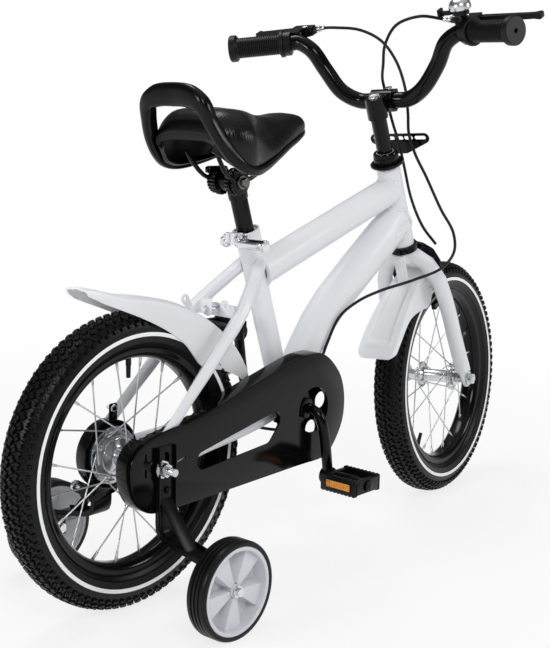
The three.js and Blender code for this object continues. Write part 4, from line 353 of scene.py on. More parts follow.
WHITE_RUBBER = Finish("tyre_white_line", "white_plastic", (0.93, 0.93, 0.93), 0.5, Texture.RUBBER,
                      tone_spread=0.02, relief_scale=700, relief_depth=0.00002)
GRIP_RUBBER = Finish("grip_rubber", "black_rubber", (0.003, 0.003, 0.0032), 0.42, Texture.RUBBER,
                     specular=0.25, relief_scale=1500, relief_depth=0.00003)
GRIP_END = Finish("grip_end_rubber", "black_rubber", (0.022, 0.022, 0.023), 0.5, Texture.RUBBER,
                  specular=0.35, relief_scale=1500, relief_depth=0.00003)
CHROME = Finish("chrome_plate", "chrome", (0.74, 0.75, 0.77), 0.15, Texture.METAL, metallic=1.0,
                tone_spread=0.03, relief_scale=60, relief_depth=0.000004)
ZINC = Finish("zinc_steel", "steel", (0.6, 0.61, 0.63), 0.24, Texture.METAL, metallic=1.0,
              tone_spread=0.08, tone_scale=120, relief_scale=700, relief_depth=0.00001)
SPOKE_STEEL = Finish("spoke_steel", "chrome", (0.62, 0.63, 0.65), 0.3, Texture.METAL, metallic=1.0,
                     tone_spread=0.03, tone_scale=20, relief_scale=50, relief_depth=0.000001)
HUB_CHROME = Finish("hub_chrome", "chrome", (0.66, 0.67, 0.69), 0.27, Texture.METAL, metallic=1.0,
                    tone_spread=0.02, relief_scale=40, relief_depth=0.000001)
CHAIN_STEEL = Finish("chain_steel", "steel", (0.16, 0.155, 0.15), 0.36, Texture.METAL, metallic=1.0,
                     tone_spread=0.2, tone_scale=150, relief_scale=700, relief_depth=0.00002)
VINYL = Finish("dotted_vinyl", "vinyl", (0.0016, 0.0016, 0.0018), 0.28, Texture.DOTTED,
               specular=0.3, relief_scale=850, relief_depth=0.00016, tone_spread=0.05)
LIP_PLASTIC = Finish(
    "black_handle_plastic", "black_plastic", (0.0016, 0.0016, 0.0018), 0.2, Texture.MOULDED,
    specular=0.22, relief_scale=300, relief_depth=0.00002)
GREY_PLASTIC = Finish(
    "grey_wheel_plastic", "grey_plastic", (0.66, 0.67, 0.70), 0.42, Texture.MOULDED,
    tone_spread=0.02, relief_scale=900, relief_depth=0.00001)
CABLE_BLACK = Finish("cable_housing", "black_rubber", (0.002, 0.002, 0.0022), 0.45, Texture.MOULDED,
                     specular=0.3, relief_scale=100, relief_depth=0.0000003)
AMBER = Finish("amber_reflector", "grey_plastic", (0.9, 0.33, 0.01), 0.2, Texture.PRISM,
               coat=0.5, tone_spread=0.1, tone_scale=150, relief_scale=700, relief_depth=0.0005)


# ---------------------------------------------------------------- workshop


def mirror(sign: int) -> Matrix:
    """Mirrors left and right where the sign is -1."""
    return Matrix.Scale(sign, 4, (0, 1, 0))


def bevel_edges(work: bmesh.types.BMesh, edges: list[bmesh.types.BMEdge], width: float) -> None:
    """Bevels edges of a bmesh, if the width isn't 0.

    Args:
        work: the bmesh.
        edges: its edges to bevel.
        width: in millimetres.
    """
    if width:
        bmesh.ops.bevel(work, geom=edges, offset=width, offset_type="OFFSET", segments=2,
                        profile=0.5, affect="EDGES", material=-1)


def bevel_piece(piece: bpy.types.Object, width: float, degrees: float = 30.0,
                harden: bool = False) -> None:
    """Gives a piece a bevel.

    Args:
        piece: the piece.
        width: in millimetres.
        degrees: the angle over which an edge is bevelled.
        harden: whether its normals follow the flat faces.
    """
    edge = piece.modifiers.new("edge", "BEVEL")
    edge.width, edge.segments, edge.limit_method = width * MM, 2, "ANGLE"
    edge.angle_limit = math.radians(degrees)
    edge.harden_normals = harden


class Shape:
    """A bmesh in millimetres, with the operations that the pieces need.

    Each operation adds to the shape and returns it. Its slot is the index of the finish and
    its place a matrix that puts what it adds in place.
    """

    def __init__(self) -> None:
        """Starts empty."""
        self.bm = bmesh.new()

    def newer(self, since: int) -> list[bmesh.types.BMVert]:
        """The vertices made after so many first ones."""
        self.bm.verts.ensure_lookup_table()
        return self.bm.verts[since:]

    def turned(self, profile: Profile, segments: int = 64, place: Matrix | None = None,
               closed: bool = True) -> "Shape":
        """Adds a body turned about the Y axis.

        Args:
            profile: radius and place along Y of each point, in order.
            segments: steps of the full turn.
            place: where it goes.
            closed: whether the profile closes on itself.

        Returns:
            This shape.
        """
        work = bmesh.new()
        points = [work.verts.new((radius, along, 0.0)) for radius, along in profile]
        pairs = [*zip(points, points[1:]), *([(points[-1], points[0])] if closed else [])]
        edges = [work.edges.new(pair) for pair in pairs]
        bmesh.ops.spin(work, geom=points + edges, cent=(0, 0, 0), axis=(0, 1, 0),
                       angle=FULL_TURN, steps=segments, use_merge=True, dvec=(0, 0, 0))
        bmesh.ops.remove_doubles(work, verts=work.verts[:], dist=1e-4)
        return self.take(work, place)

    def take(self, work: bmesh.types.BMesh, place: Matrix | None = None,
             slot: int = 0) -> "Shape":
        """Takes in the faces of another bmesh, which is freed.

        Args:
            work: the bmesh.
            place: where it goes.
            slot: index of the finish.

        Returns:
            This shape.
        """
        bmesh.ops.recalc_face_normals(work, faces=work.faces[:])
        if place is not None:
            work.transform(place)
        for face in work.faces:
            face.material_index = slot
        scratch = bpy.data.meshes.new("scratch")
        work.to_mesh(scratch)
        work.free()
        self.bm.from_mesh(scratch)
        bpy.data.meshes.remove(scratch)
        return self

    def grid(self, across: int, along: int, place_point: Callable[[float, float], Point],
             slot: int = 0, wall: float = 0.0, caps: bool = False) -> "Shape":
        """Adds a surface laid out from a grid.

        Args:
            across: faces in the first direction.
            along: faces in the second direction.
            place_point: gives the place of a point from its two shares, 0 to 1.
            slot: index of the finish.
            wall: thickness given to the sheet, or 0.
            caps: whether open ends are closed.

        Returns:
            This shape.
        """
        work = bmesh.new()
        bmesh.ops.create_grid(work, x_segments=across, y_segments=along, size=1.0)
        for vert in work.verts:
            vert.co = place_point((vert.co.x + 1) / 2, (vert.co.y + 1) / 2)
        bmesh.ops.remove_doubles(work, verts=work.verts[:], dist=1e-3)
        if caps:
            bmesh.ops.holes_fill(work, edges=work.edges[:], sides=0)
        bmesh.ops.recalc_face_normals(work, faces=work.faces[:])
        if wall:
            bmesh.ops.solidify(work, geom=work.faces[:], thickness=wall)
        return self.take(work, slot=slot)

    def tube(self, line: Sequence[Vector], radius: float, sides: int, caps: bool = True,
             flat: Callable[[float, float], tuple[float, float]] | None = None,
             hint_at: Callable[[float], Vector] | None = None) -> "Shape":
        """Adds a tube along a line.

        Args:
            line: points of the centre line.
            radius: its radius.
            sides: faces round it.
            caps: whether its ends are closed.
            flat: section of the tube in radii, from turn and share along.
            hint_at: a direction near the section's first axis, from the share along.

        Returns:
            This shape.
        """
        last = len(line) - 1
        tangents = [(line[min(i + 1, last)] - line[max(i - 1, 0)]).normalized()
                    for i in range(last + 1)]
        hint = tangents[0].orthogonal()
        firsts = []
        for index, tangent in enumerate(tangents):
            hint = hint_at(index / last) if hint_at else hint
            hint = (hint - tangent * hint.dot(tangent)).normalized()
            firsts.append(hint)

        def point(turn_share: float, way: float) -> Point:
            """A point of the tube.

            Args:
                turn_share: share of the turn.
                way: share of the length.

            Returns:
                The point.
            """
            index = round(way * last)
            turn = turn_share * FULL_TURN
            u, v = flat(turn, way) if flat else (math.cos(turn), math.sin(turn))
            second = tangents[index].cross(firsts[index])
            return line[index] + (firsts[index] * u + second * v) * radius

        return self.grid(sides, last, point, caps=caps)

    def rod(self, start: Vector, end: Vector, radius: float, sides: int = 24, slot: int = 0,
            rounding: float = 0.0, end_radius: float | None = None) -> "Shape":
        """Adds a round bar between two points.

        Args:
            start: middle of its first end.
            end: middle of its other end.
            radius: radius at the first end.
            sides: faces round it.
            slot: index of the finish.
            rounding: width of the bevel on its end edges.
            end_radius: radius at the other end, or None for the same.

        Returns:
            This shape.
        """
        work = bmesh.new()
        bmesh.ops.create_cone(work, cap_ends=True, segments=sides, radius1=radius,
                              radius2=radius if end_radius is None else end_radius,
                              depth=(end - start).length)
        bevel_edges(work, [e for e in work.edges if abs(e.verts[0].co.z - e.verts[1].co.z) < 1e-6],
                    rounding)
        turn = (end - start).to_track_quat("Z", "Y").to_matrix().to_4x4()
        return self.take(work, Matrix.Translation((start + end) / 2) @ turn, slot)

    def rods(self, origin: Point | Vector, way: Point | Vector, rows: Rows) -> "Shape":
        """Adds round bars on one axis.

        Args:
            origin: the point that their places count from.
            way: direction of the axis, of length 1.
            rows: start, end, radius, sides, slot and rounding of each bar.

        Returns:
            This shape.
        """
        origin, way = Vector(origin), Vector(way)
        for start, end, *rest in rows:
            self.rod(origin + way * start, origin + way * end, *rest)
        return self

    def block(self, low: Point, high: Point, rounding: float, slot: int = 0) -> "Shape":
        """Adds a box with rounded edges between two opposite corners.

        Args:
            low: one corner.
            high: the opposite corner.
            rounding: width of the bevel on its edges.
            slot: index of the finish.

        Returns:
            This shape.
        """
        work = bmesh.new()
        bmesh.ops.create_cube(work, size=1.0)
        size = Vector([abs(b - a) for a, b in zip(low, high)])
        bmesh.ops.scale(work, vec=size, verts=work.verts[:])
        bmesh.ops.translate(work, vec=(Vector(low) + Vector(high)) / 2, verts=work.verts[:])
        bevel_edges(work, work.edges[:], rounding)
        return self.take(work, slot=slot)

    def slab(self, outline: Profile, low: float, high: float, rounding: float = 0.0,
             place: Matrix | None = None) -> "Shape":
        """Adds a plate outlined in X and Z.

        Args:
            outline: the corners in order.
            low: Y of one face.
            high: Y of the other.
            rounding: width of the bevel on its edges.
            place: where it goes.

        Returns:
            This shape.
        """
        low, high = sorted((low, high))
        work = bmesh.new()
        face = work.faces.new([work.verts.new((x, low, z)) for x, z in outline])
        made = bmesh.ops.extrude_face_region(work, geom=[face])
        moved = [g for g in made["geom"] if isinstance(g, bmesh.types.BMVert)]
        bmesh.ops.translate(work, vec=(0, high - low, 0), verts=moved)
        bmesh.ops.recalc_face_normals(work, faces=work.faces[:])
        bevel_edges(work, [e for e in work.edges if abs(e.verts[0].co.y - e.verts[1].co.y) < 1e-6],
                    rounding)
        return self.take(work, place)

    def ball(self, centre: Point | Vector, radius: float) -> "Shape":
        """Adds a ball.

        Args:
            centre: its middle.
            radius: its radius.

        Returns:
            This shape.
        """
        work = bmesh.new()
        bmesh.ops.create_uvsphere(work, u_segments=20, v_segments=12, radius=radius)
        return self.take(work, Matrix.Translation(centre))

    def round_about(self, count: int, since: int) -> "Shape":
        """Repeats the vertices made after so many first ones, round the Y axis.

        Args:
            count: how many there are in the full turn.
            since: how many vertices there were before them.

        Returns:
            This shape.
        """
        verts = self.newer(since)
        kept = set(verts)
        edges = [e for e in self.bm.edges if e.verts[0] in kept]
        faces = [f for f in self.bm.faces if f.verts[0] in kept]
        bmesh.ops.spin(self.bm, geom=verts + edges + faces, cent=(0, 0, 0), axis=(0, 1, 0),
                       angle=FULL_TURN * (count - 1) / count, steps=count - 1,
                       use_duplicate=True, dvec=(0, 0, 0))
        return self

    def turned_on(self, angle: float, since: int) -> "Shape":
        """Turns the vertices made after so many first ones about the Y axis.

        Args:
            angle: in radians.
            since: how many vertices there were before them.

        Returns:
            This shape.
        """
        turn = Matrix.Rotation(angle, 4, "Y")
        for vert in self.newer(since):
            vert.co = turn @ vert.co
        return self

    def moved(self, place: Matrix) -> "Shape":
        """Moves all of it by a matrix."""
        self.bm.transform(place)
        return self

    def mirrored(self, place: Matrix) -> "Shape":
        """Moves all of it by a matrix that may mirror it, and sets its normals right.

        Args:
            place: the matrix.

        Returns:
            This shape.
        """
        self.bm.transform(place)
        bmesh.ops.recalc_face_normals(self.bm, faces=self.bm.faces[:])
        return self

    def count(self) -> int:
        """How many vertices it has."""
        return len(self.bm.verts)

    def mesh(self, name: str) -> bpy.types.Mesh:
        """Its mesh; the shape is used up.

        Args:
            name: name of the mesh.

        Returns:
            The mesh.
        """
        made = bpy.data.meshes.new(name)
        self.bm.to_mesh(made)
        self.bm.free()
        return made


def shade(mesh: bpy.types.Mesh, degrees: float) -> None:
    """Shades a mesh smooth over its edges under an angle."""
    mesh.shade_smooth()
    mesh.set_sharp_from_angle(angle=math.radians(degrees))


def node_shape(name: str) -> Shape:
    """A merged copy of a CAD node, in millimetres, its flat faces made whole.

    Args:
        name: name of the node.

    Returns:
        The copy.
    """
    shape = Shape()
    shape.bm.from_mesh(frame["nodes"][name].data)
    shape.bm.transform(Matrix.Scale(1 / MM, 4))
    bmesh.ops.remove_doubles(shape.bm, verts=shape.bm.verts[:], dist=0.02)
    bmesh.ops.dissolve_limit(shape.bm, angle_limit=math.radians(1), verts=shape.bm.verts[:],
                             edges=shape.bm.edges[:])
    for face in shape.bm.faces:
        face.material_index = 0
    return shape


def deliver(shape: Shape, name: str, body: str, finishes: Sequence[Finish],
            replaces: Sequence[str] = (), smooth: float = 38.0,
            bevel: float = 0.0) -> bpy.types.Object:
    """Makes a shape a finished piece that rides on a body.

    Args:
        shape: the shape, which is used up.
        name: name of the piece.
        body: name of the CAD body, or none for a piece between two.
        finishes: one finish for each slot index of the shape.
        replaces: CAD nodes that the piece stands for.
        smooth: angle in degrees under which an edge is shaded smooth.
        bevel: width of the bevel on sharper edges.

    Returns:
        The piece.
    """
    mesh = shape.moved(Matrix.Scale(MM, 4)).mesh(name)
    shade(mesh, smooth)
    for finish in finishes:
        mesh.materials.append(finish.material())
    piece = bpy.data.objects.new(name, mesh)
    bpy.context.scene.collection.objects.link(piece)
    if bevel:
        bevel_piece(piece, bevel, max(smooth, 35.0), harden=True)
    if replaces:
        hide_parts(*replaces)
    if body:
        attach(piece, body)
    LOG.info("%s on %s, %d faces", name, body, len(mesh.polygons))
    return piece


def dressed(name: str, body: str, finish: Finish, bevel: float = 0.5, smooth: float = 38.0,
            regions: Sequence[tuple[Point, Point, Finish]] = ()) -> bpy.types.Object:
    """Stands a smoothed copy of a CAD node in its place.

    Args:
        name: name of the node.
        body: its body.
        finish: the finish of all of it.
        bevel: width of the bevel on its edges.
        smooth: angle under which it is shaded smooth.
        regions: boxes in millimetres whose faces take another finish.

    Returns:
        The piece.
    """
    shape = node_shape(name)
    for index, (low, high, _) in enumerate(regions, 1):
        for face in shape.bm.faces:
            centre = face.calc_center_median()
            if all(low[k] <= centre[k] <= high[k] for k in range(3)):
                face.material_index = index
    finishes = [finish, *(region[2] for region in regions)]
    return deliver(shape, name + "_finished", body, finishes, [name], smooth, bevel)


def carve(piece: bpy.types.Object, cutters: Shape) -> None:
    """Cuts a shape, which is used up, out of a piece and applies the cut.

    Args:
        piece: the piece, its mesh in metres.
        cutters: what is taken away, in millimetres.
    """
    mesh = cutters.mirrored(Matrix.Scale(MM, 4)).mesh("cutter")
    tool = bpy.data.objects.new("cutter", mesh)
    bpy.context.scene.collection.objects.link(tool)
    cut = piece.modifiers.new("cut", "BOOLEAN")
    cut.operation, cut.solver, cut.object = "DIFFERENCE", "EXACT", tool
    bpy.context.view_layer.update()
    graph = bpy.context.evaluated_depsgraph_get()
    result = bpy.data.meshes.new_from_object(piece.evaluated_get(graph))
    piece.modifiers.remove(cut)
    old, name = piece.data, piece.data.name
    piece.data = result
    bpy.data.meshes.remove(old)
    result.name = name
    shade(result, 35)
    bpy.data.objects.remove(tool)
    bpy.data.meshes.remove(mesh)


def shift(piece: bpy.types.Object, place: Matrix) -> None:
    """Moves a finished piece's mesh by a matrix in millimetres."""
    piece.data.transform(Matrix.Scale(MM, 4) @ place @ Matrix.Scale(1 / MM, 4))


def smooth_line(points: Sequence[Point | Vector], steps: int) -> list[Vector]:
    """A centripetal Catmull-Rom line through points.

    Args:
        points: the points in order.
        steps: how many parts to cut the line into.

    Returns:
        steps + 1 points of the line.
    """
    knots = [Vector(p) for p in points]
    ends = [knots[0] * 2 - knots[1], *knots, knots[-1] * 2 - knots[-2]]
    found = []
    for step in range(steps + 1):
        at = step / steps * (len(knots) - 1)
        index = min(int(at), len(knots) - 2)
        found.append(_between(ends[index:index + 4], at - index))
    return found


def _between(four: Sequence[Vector], share: float) -> Vector:
    """The point between the middle two of four points.

    Args:
        four: the points.
        share: share of the way between the middle two.

    Returns:
        The point.
    """
    gaps = [max((b - a).length, 1e-6) ** 0.5 for a, b in zip(four, four[1:])]
    p0, p1, p2, p3 = four
    start = ((p1 - p0) / gaps[0] - (p2 - p0) / (gaps[0] + gaps[1]) + (p2 - p1) / gaps[1]) * gaps[1]
    end = ((p2 - p1) / gaps[1] - (p3 - p1) / (gaps[1] + gaps[2]) + (p3 - p2) / gaps[2]) * gaps[1]
    a = p1
    b = start
    c = -3 * p1 + 3 * p2 - 2 * start - end
    d = 2 * p1 - 2 * p2 + start + end
    return a + b * share + c * share ** 2 + d * share ** 3


def closed_line(points: Sequence[Point | Vector], each: int = 4) -> list[Vector]:
    """A smooth closed line through points, cut into so many parts between each two.

    Args:
        points: the points in order.
        each: parts between each two points.

    Returns:
        The line's points.
    """
    count = len(points)
    return [_between([Vector(points[(i + k - 1) % count]) for k in range(4)], step / each)
            for i in range(count) for step in range(each)]


def rounded(corners: Profile, radius: float, steps: int = 48) -> list[tuple[float, float]]:
    """The outline of a disc pushed round inside a convex polygon's corners.

    Args:
        corners: centres of the disc at the corners.
        radius: radius of the disc.
        steps: points of the outline.

    Returns:
        The outline.
    """
    found = []
    for step in range(steps):
        angle = FULL_TURN * (step + 0.5) / steps
        x, z = math.cos(angle), math.sin(angle)
        corner = max(corners, key=lambda c: c[0] * x + c[1] * z)
        found.append((corner[0] + radius * x, corner[1] + radius * z))
    return found


def level(values: Sequence[float], share: float) -> float:
    """The value at a share of the way along evenly spaced values.

    Args:
        values: the values.
        share: share of the way, 0 to 1.

    Returns:
        The value there.
    """
    place = share * (len(values) - 1)
    index = min(int(place), len(values) - 2)
    return values[index] + (values[index + 1] - values[index]) * (place - index)


@dataclass(frozen=True)
class Layout:
    """Main measures that the sub-assemblies share."""

    wheel_radius: float = 178.0
    crank_forward: float = 280.0
    crank_height: float = 199.2
    head_angle: float = 68.5
    rest_steer: float = 9.0
    head_foot: Point = (544.6, 0.0, 388.2)
    seat_angle: float = 71.0
    fork_rake: float = 27.2
    front_axle_along: float = -236.32

    def steered(self) -> Matrix:
        """Takes ahead, left and along the steering axis to the frame of the model.

        Returns:
            The matrix.
        """
        head, steer = math.radians(self.head_angle), math.radians(self.rest_steer)
        up = Vector((-math.cos(head), 0, math.sin(head)))
        ahead = Vector((math.sin(head) * math.cos(steer), math.sin(steer),
                        math.cos(head) * math.cos(steer)))
        left = up.cross(ahead)
        turn = Matrix((ahead, left, up)).transposed().to_4x4()
        return Matrix.Translation(self.head_foot) @ turn

    def seat_point(self, along: float) -> Vector:
        """A point on the seat tube's axis.

        Args:
            along: how far up from the crank's axle it is.

        Returns:
            The point.
        """
        angle = math.radians(self.seat_angle)
        return Vector((self.crank_forward - along * math.cos(angle), 0,
                       self.crank_height + along * math.sin(angle)))

    def front_wheel(self) -> Matrix:
        """Takes the front wheel's own frame to the frame of the model.

        Returns:
            The matrix.
        """
        head, steer = math.radians(self.head_angle), math.radians(self.rest_steer)
        turn = math.atan2(math.cos(head) * math.cos(steer), math.sin(head))
        place = Matrix.Translation((self.fork_rake, 0, self.front_axle_along))
        return self.steered() @ place @ Matrix.Rotation(turn, 4, "Y")

    def rear_wheel(self) -> Matrix:
        """Takes the rear wheel's own frame to the frame of the model."""
        return Matrix.Translation((0, 0, self.wheel_radius))


LAYOUT = Layout()


# ---------------------------------------------------------------- studio


@dataclass
class Studio:
    """Camera at the photograph's angle, soft lamps, and a plain pale floor."""

    camera_place: Point = (-1009.7, -1084.9, 610.5)
    yaw: float = 0.707
    pitch: float = 0.179
    roll: float = 0.025
    focal_pixels: float = 1296.66
    long_side_pixels: float = 648.0
    sensor: float = 36.0
    floor_drop: float = 0.2

    room_shades: Profile = ((0.0, 0.75), (0.1, 0.6), (0.22, 0.14), (0.6, 0.1), (0.8, 0.5),
                            (1.0, 0.6))
    lamps: tuple[tuple[str, Point, Point, float, float], ...] = (
        ("key_lamp", (-1.5, -2.1, 2.3), (0.3, 0.0, 0.3), 0.9, 29),
        ("side_lamp", (1.7, -1.9, 1.5), (0.3, 0.0, 0.3), 0.6, 11),
        ("rear_lamp", (-2.3, 0.5, 1.3), (0.1, 0.0, 0.4), 0.6, 17),
        ("top_lamp", (0.5, 0.9, 2.7), (0.3, 0.0, 0.3), 0.9, 18))

    def build(self) -> None:
        """Makes the camera, the world, the lamps and the floor."""
        self._camera()
        self._world()
        for lamp in self.lamps:
            self._lamp(*lamp)
        self._floor()
        bpy.context.scene.view_settings.view_transform = "Standard"

    def _camera(self) -> None:
        """Places the camera as the photograph's was."""
        cy, sy = math.cos(self.yaw), math.sin(self.yaw)
        cp, sp = math.cos(self.pitch), math.sin(self.pitch)
        cr, sr = math.cos(self.roll), math.sin(self.roll)
        ahead, side = Vector((cy * cp, sy * cp, -sp)), Vector((sy, -cy, 0))
        upright = side.cross(ahead)
        right, up = side * cr + upright * sr, upright * cr - side * sr
        data = bpy.data.cameras.new("photo_camera")
        data.sensor_fit = "AUTO"
        data.sensor_width = self.sensor
        data.lens = self.focal_pixels * self.sensor / self.long_side_pixels
        data.clip_start, data.clip_end = 0.05, 60.0
        camera = bpy.data.objects.new("photo_camera", data)
        turn = Matrix((right, up, -ahead)).transposed().to_4x4()
        camera.matrix_world = Matrix.Translation(Vector(self.camera_place) * MM) @ turn
        bpy.context.scene.collection.objects.link(camera)
        bpy.context.scene.camera = camera

    def _world(self) -> None:
        """White to the camera, a room in clear reflections, softer light elsewhere."""
        world = bpy.data.worlds.new("studio_world")
        bpy.context.scene.world = world
        world.use_nodes = True
        tree = world.node_tree
        tree.nodes.clear()
        ray = node(tree, "LightPath").outputs
        parts = node(tree, "SeparateXYZ", node(tree, "TexCoord").outputs["Generated"])
        ramp = node(tree, "ValToRGB", parts.outputs["Z"])
        elements = ramp.color_ramp.elements
        while len(elements) < len(self.room_shades):
            elements.new(0.5)
        for element, (at, grey) in zip(elements, self.room_shades):
            element.position = at
            element.color = (grey, grey, grey, 1.0)
        room = node(tree, "Background", ramp.outputs["Color"])
        soft = node(tree, "Background", (0.97, 0.98, 1.0, 1.0), 0.5)
        white = node(tree, "Background", (1, 1, 1, 1))
        lit = node(tree, "MixShader", ray["Is Glossy Ray"], soft.outputs[0], room.outputs[0])
        seen = maths(tree, "MAXIMUM", ray["Is Camera Ray"], ray["Is Transmission Ray"])
        both = node(tree, "MixShader", seen, lit.outputs[0], white.outputs[0])
        node(tree, "OutputWorld", both.outputs[0])

    def _lamp(self, name: str, place: Point, aim: Point, size: float, power: float) -> None:
        """Adds a soft square lamp.

        Args:
            name: its name.
            place: where it is, in metres.
            aim: what it points at.
            size: its side.
            power: in watts.
        """
        data = bpy.data.lights.new(name, "AREA")
        data.size, data.energy = size, power
        lamp = bpy.data.objects.new(name, data)
        lamp.location = place
        lamp.rotation_mode = "QUATERNION"
        lamp.rotation_quaternion = (Vector(aim) - Vector(place)).to_track_quat("-Z", "Y")
        bpy.context.scene.collection.objects.link(lamp)

    def _floor(self) -> None:
        """Lays a round pale floor that keeps the shadow of the bicycle."""
        work = bmesh.new()
        bmesh.ops.create_circle(work, cap_ends=True, segments=64, radius=9.0)
        bmesh.ops.translate(work, vec=(0, 0, -self.floor_drop * MM), verts=work.verts[:])
        mesh = bpy.data.meshes.new("studio_floor")
        work.to_mesh(mesh)
        work.free()
        made = bpy.data.materials.new("studio_floor_paper")
        made.use_nodes = True
        tree = made.node_tree
        place = node(tree, "TexCoord").outputs["Object"]
        grain = node(tree, "TexNoise", Vector=place, Scale=6.0)
        paper = node(tree, "MapRange", grain.outputs["Fac"], To_Min=0.86, To_Max=0.9)
        shader = wire(tree, tree.nodes["Principled BSDF"], {
            "Roughness": 0.9, "Specular IOR Level": 0.1, "Base Color": paper.outputs["Result"]})
        glow = node(tree, "Emission", Strength=1.0)
        ray = node(tree, "LightPath").outputs
        seen = maths(tree, "MAXIMUM", ray["Is Camera Ray"], ray["Is Glossy Ray"])
        reach = node(tree, "VectorMath", place, operation="LENGTH").outputs["Value"]
        fade = node(tree, "MapRange", reach, From_Min=0.9, From_Max=1.7, To_Min=0.78, To_Max=1.0)
        share = maths(tree, "MULTIPLY", seen, fade.outputs["Result"])
        both = node(tree, "MixShader", share, shader.outputs[0], glow.outputs[0])
        wire(tree, tree.nodes["Material Output"], {"Surface": both.outputs[0]})
        mesh.materials.append(made)
        floor = bpy.data.objects.new("studio_floor", mesh)
        bpy.context.scene.collection.objects.link(floor)


# ---------------------------------------------------------------- wheels


@dataclass(frozen=True)
class KnobRow:
    """One row of tread blocks: its place across, size and count round the tyre."""

    across: float
    radius: float
    lean: float
    length: float
    width: float
    count: int
    slant: float
    shift: float


@dataclass
class Wheel:
    """A wheel: tyre with tread blocks and a white line, rim, spokes and hub."""

    name: str
    body: str
    place: Matrix
    left_flange: tuple[float, float]
    right_flange: tuple[float, float]
    rim_inner: float = 122.3
    spoke_pairs: int = 10
    spoke_radius: float = 0.95
    segments: int = 120
    spoke_lead: float = 4.0
    valve_turn: float = 0.0
    knob_height: float = 3.4
    side_knob_height: float = 3.0
    casing: Profile = (
        (174.6, 0.0), (174.4, 6.0), (172.4, 12.5), (168.4, 17.8), (162.5, 21.2), (156.5, 22.3))
    wall: Profile = (
        (147.6, 21.9), (143.6, 20.3), (142.2, 19.9), (141.6, 18.6), (140.0, 17.6), (137.0, 15.4),
        (134.5, 13.5))
    line: Profile = ((155.0, 22.5), (154.4, 22.9), (149.9, 22.8), (149.2, 22.3))
    rim: Profile = (
        (122.3, 0.0), (122.3, 5.0), (122.8, 7.2), (124.6, 10.6), (127.4, 13.7), (130.6, 14.9),
        (133.6, 15.1), (134.8, 15.7), (135.8, 16.2), (136.4, 15.7), (136.0, 14.5), (130.0, 12.6),
        (125.4, 9.2), (124.1, 0.0))
    rows: tuple[KnobRow, ...] = (
        KnobRow(-3.9, 174.6, 0.03, 8.2, 6.2, 92, 0.5, 0.0),
        KnobRow(3.9, 174.6, 0.03, 8.2, 6.2, 92, -0.5, 0.5),
        KnobRow(11.2, 172.9, 0.3, 8.0, 5.6, 92, 0.45, 0.0),
        KnobRow(-11.2, 172.9, 0.3, 8.0, 5.6, 92, -0.45, 0.5),
        KnobRow(16.6, 169.3, 0.72, 7.2, 4.6, 92, -0.4, 0.5),
        KnobRow(-16.6, 169.3, 0.72, 7.2, 4.6, 92, 0.4, 0.0),
        KnobRow(20.1, 164.3, 1.12, 5.2, 5.4, 92, 0.0, 0.0),
        KnobRow(-20.1, 164.3, 1.12, 5.2, 5.4, 92, 0.0, 0.5),
    )

    def build(self) -> None:
        """Builds every piece of the wheel but its hub."""
        self._tyre()
        self._white_line()
        self._rim()
        self._spokes()

    def _both(self, half: Profile) -> list[tuple[float, float]]:
        """A profile and its mirror image, as one closed line."""
        return [*half, *((radius, -along) for radius, along in reversed(half) if along)]

    def _tyre(self) -> None:
        """The casing with its tread blocks."""
        half = [*self.casing, *self.line, *self.wall, (131.0, 11.0)]
        shape = Shape().turned(self._both(half), self.segments)
        for row in self.rows:
            self._knobs(shape, row)
        deliver(shape.moved(self.place), self.name + "_tyre_tread", self.body, [TYRE_RUBBER],
                [self.name + "_tyre"], smooth=40)

    def _knobs(self, shape: Shape, row: KnobRow) -> None:
        """Adds one row of blocks, each a slanted bar of two halves and a bridge.

        Args:
            shape: the tyre.
            row: the row.
        """
        since = shape.count()
        lean = Matrix.Rotation(-math.copysign(row.lean, row.across), 4, "X")
        place = (Matrix.Translation((0, row.across, row.radius))
                 @ lean @ Matrix.Rotation(row.slant, 4, "Z"))
        long, wide = row.length / 2, row.width / 2
        height = self.knob_height if abs(row.across) < 12 else self.side_knob_height
        for low, high in (((-long, -wide, -2.0), (-0.4, wide - 0.6, height)),
                          ((0.4, -wide + 0.6, -2.0), (long, wide, height)),
                          ((-1.2, -wide * 0.45, -2.0), (1.2, wide * 0.45, height - 0.3))):
            self._knob(shape, low, high, place)
        shape.turned_on(row.shift * FULL_TURN / row.count, since).round_about(row.count, since)

    def _knob(self, shape: Shape, low: Point, high: Point, place: Matrix) -> None:
        """Adds one block, its top edges cut back.

        Args:
            shape: the tyre.
            low: one corner of the block.
            high: the opposite corner.
            place: matrix that puts it in place.
        """
        work = bmesh.new()
        bmesh.ops.create_cube(work, size=1.0)
        bmesh.ops.scale(work, vec=Vector(high) - Vector(low), verts=work.verts[:])
        bmesh.ops.translate(work, vec=(Vector(low) + Vector(high)) / 2, verts=work.verts[:])
        top = [f for f in work.faces if f.normal.z > 0.9]
        foot = [f for f in work.faces if f.normal.z < -0.9]
        bmesh.ops.inset_region(work, faces=top, thickness=0.7, depth=0.0)
        inner = {v for f in top for v in f.verts}
        rim = [v for v in work.verts if v.co.z > high[2] - 1e-4 and v not in inner]
        bmesh.ops.translate(work, vec=(0, 0, -0.6), verts=rim)
        bmesh.ops.delete(work, geom=foot, context="FACES")
        shape.take(work, place)

    def _white_line(self) -> None:
        """The white line inlaid in each side wall."""
        ring = [(154.9, 22.2), (154.3, 22.95), (152.1, 23.05), (149.9, 22.9), (149.3, 22.2)]
        shape = Shape().turned(ring, self.segments)
        shape.turned([(radius, -along) for radius, along in ring], self.segments)
        deliver(shape.moved(self.place), self.name + "_tyre_white_line", self.body, [WHITE_RUBBER])

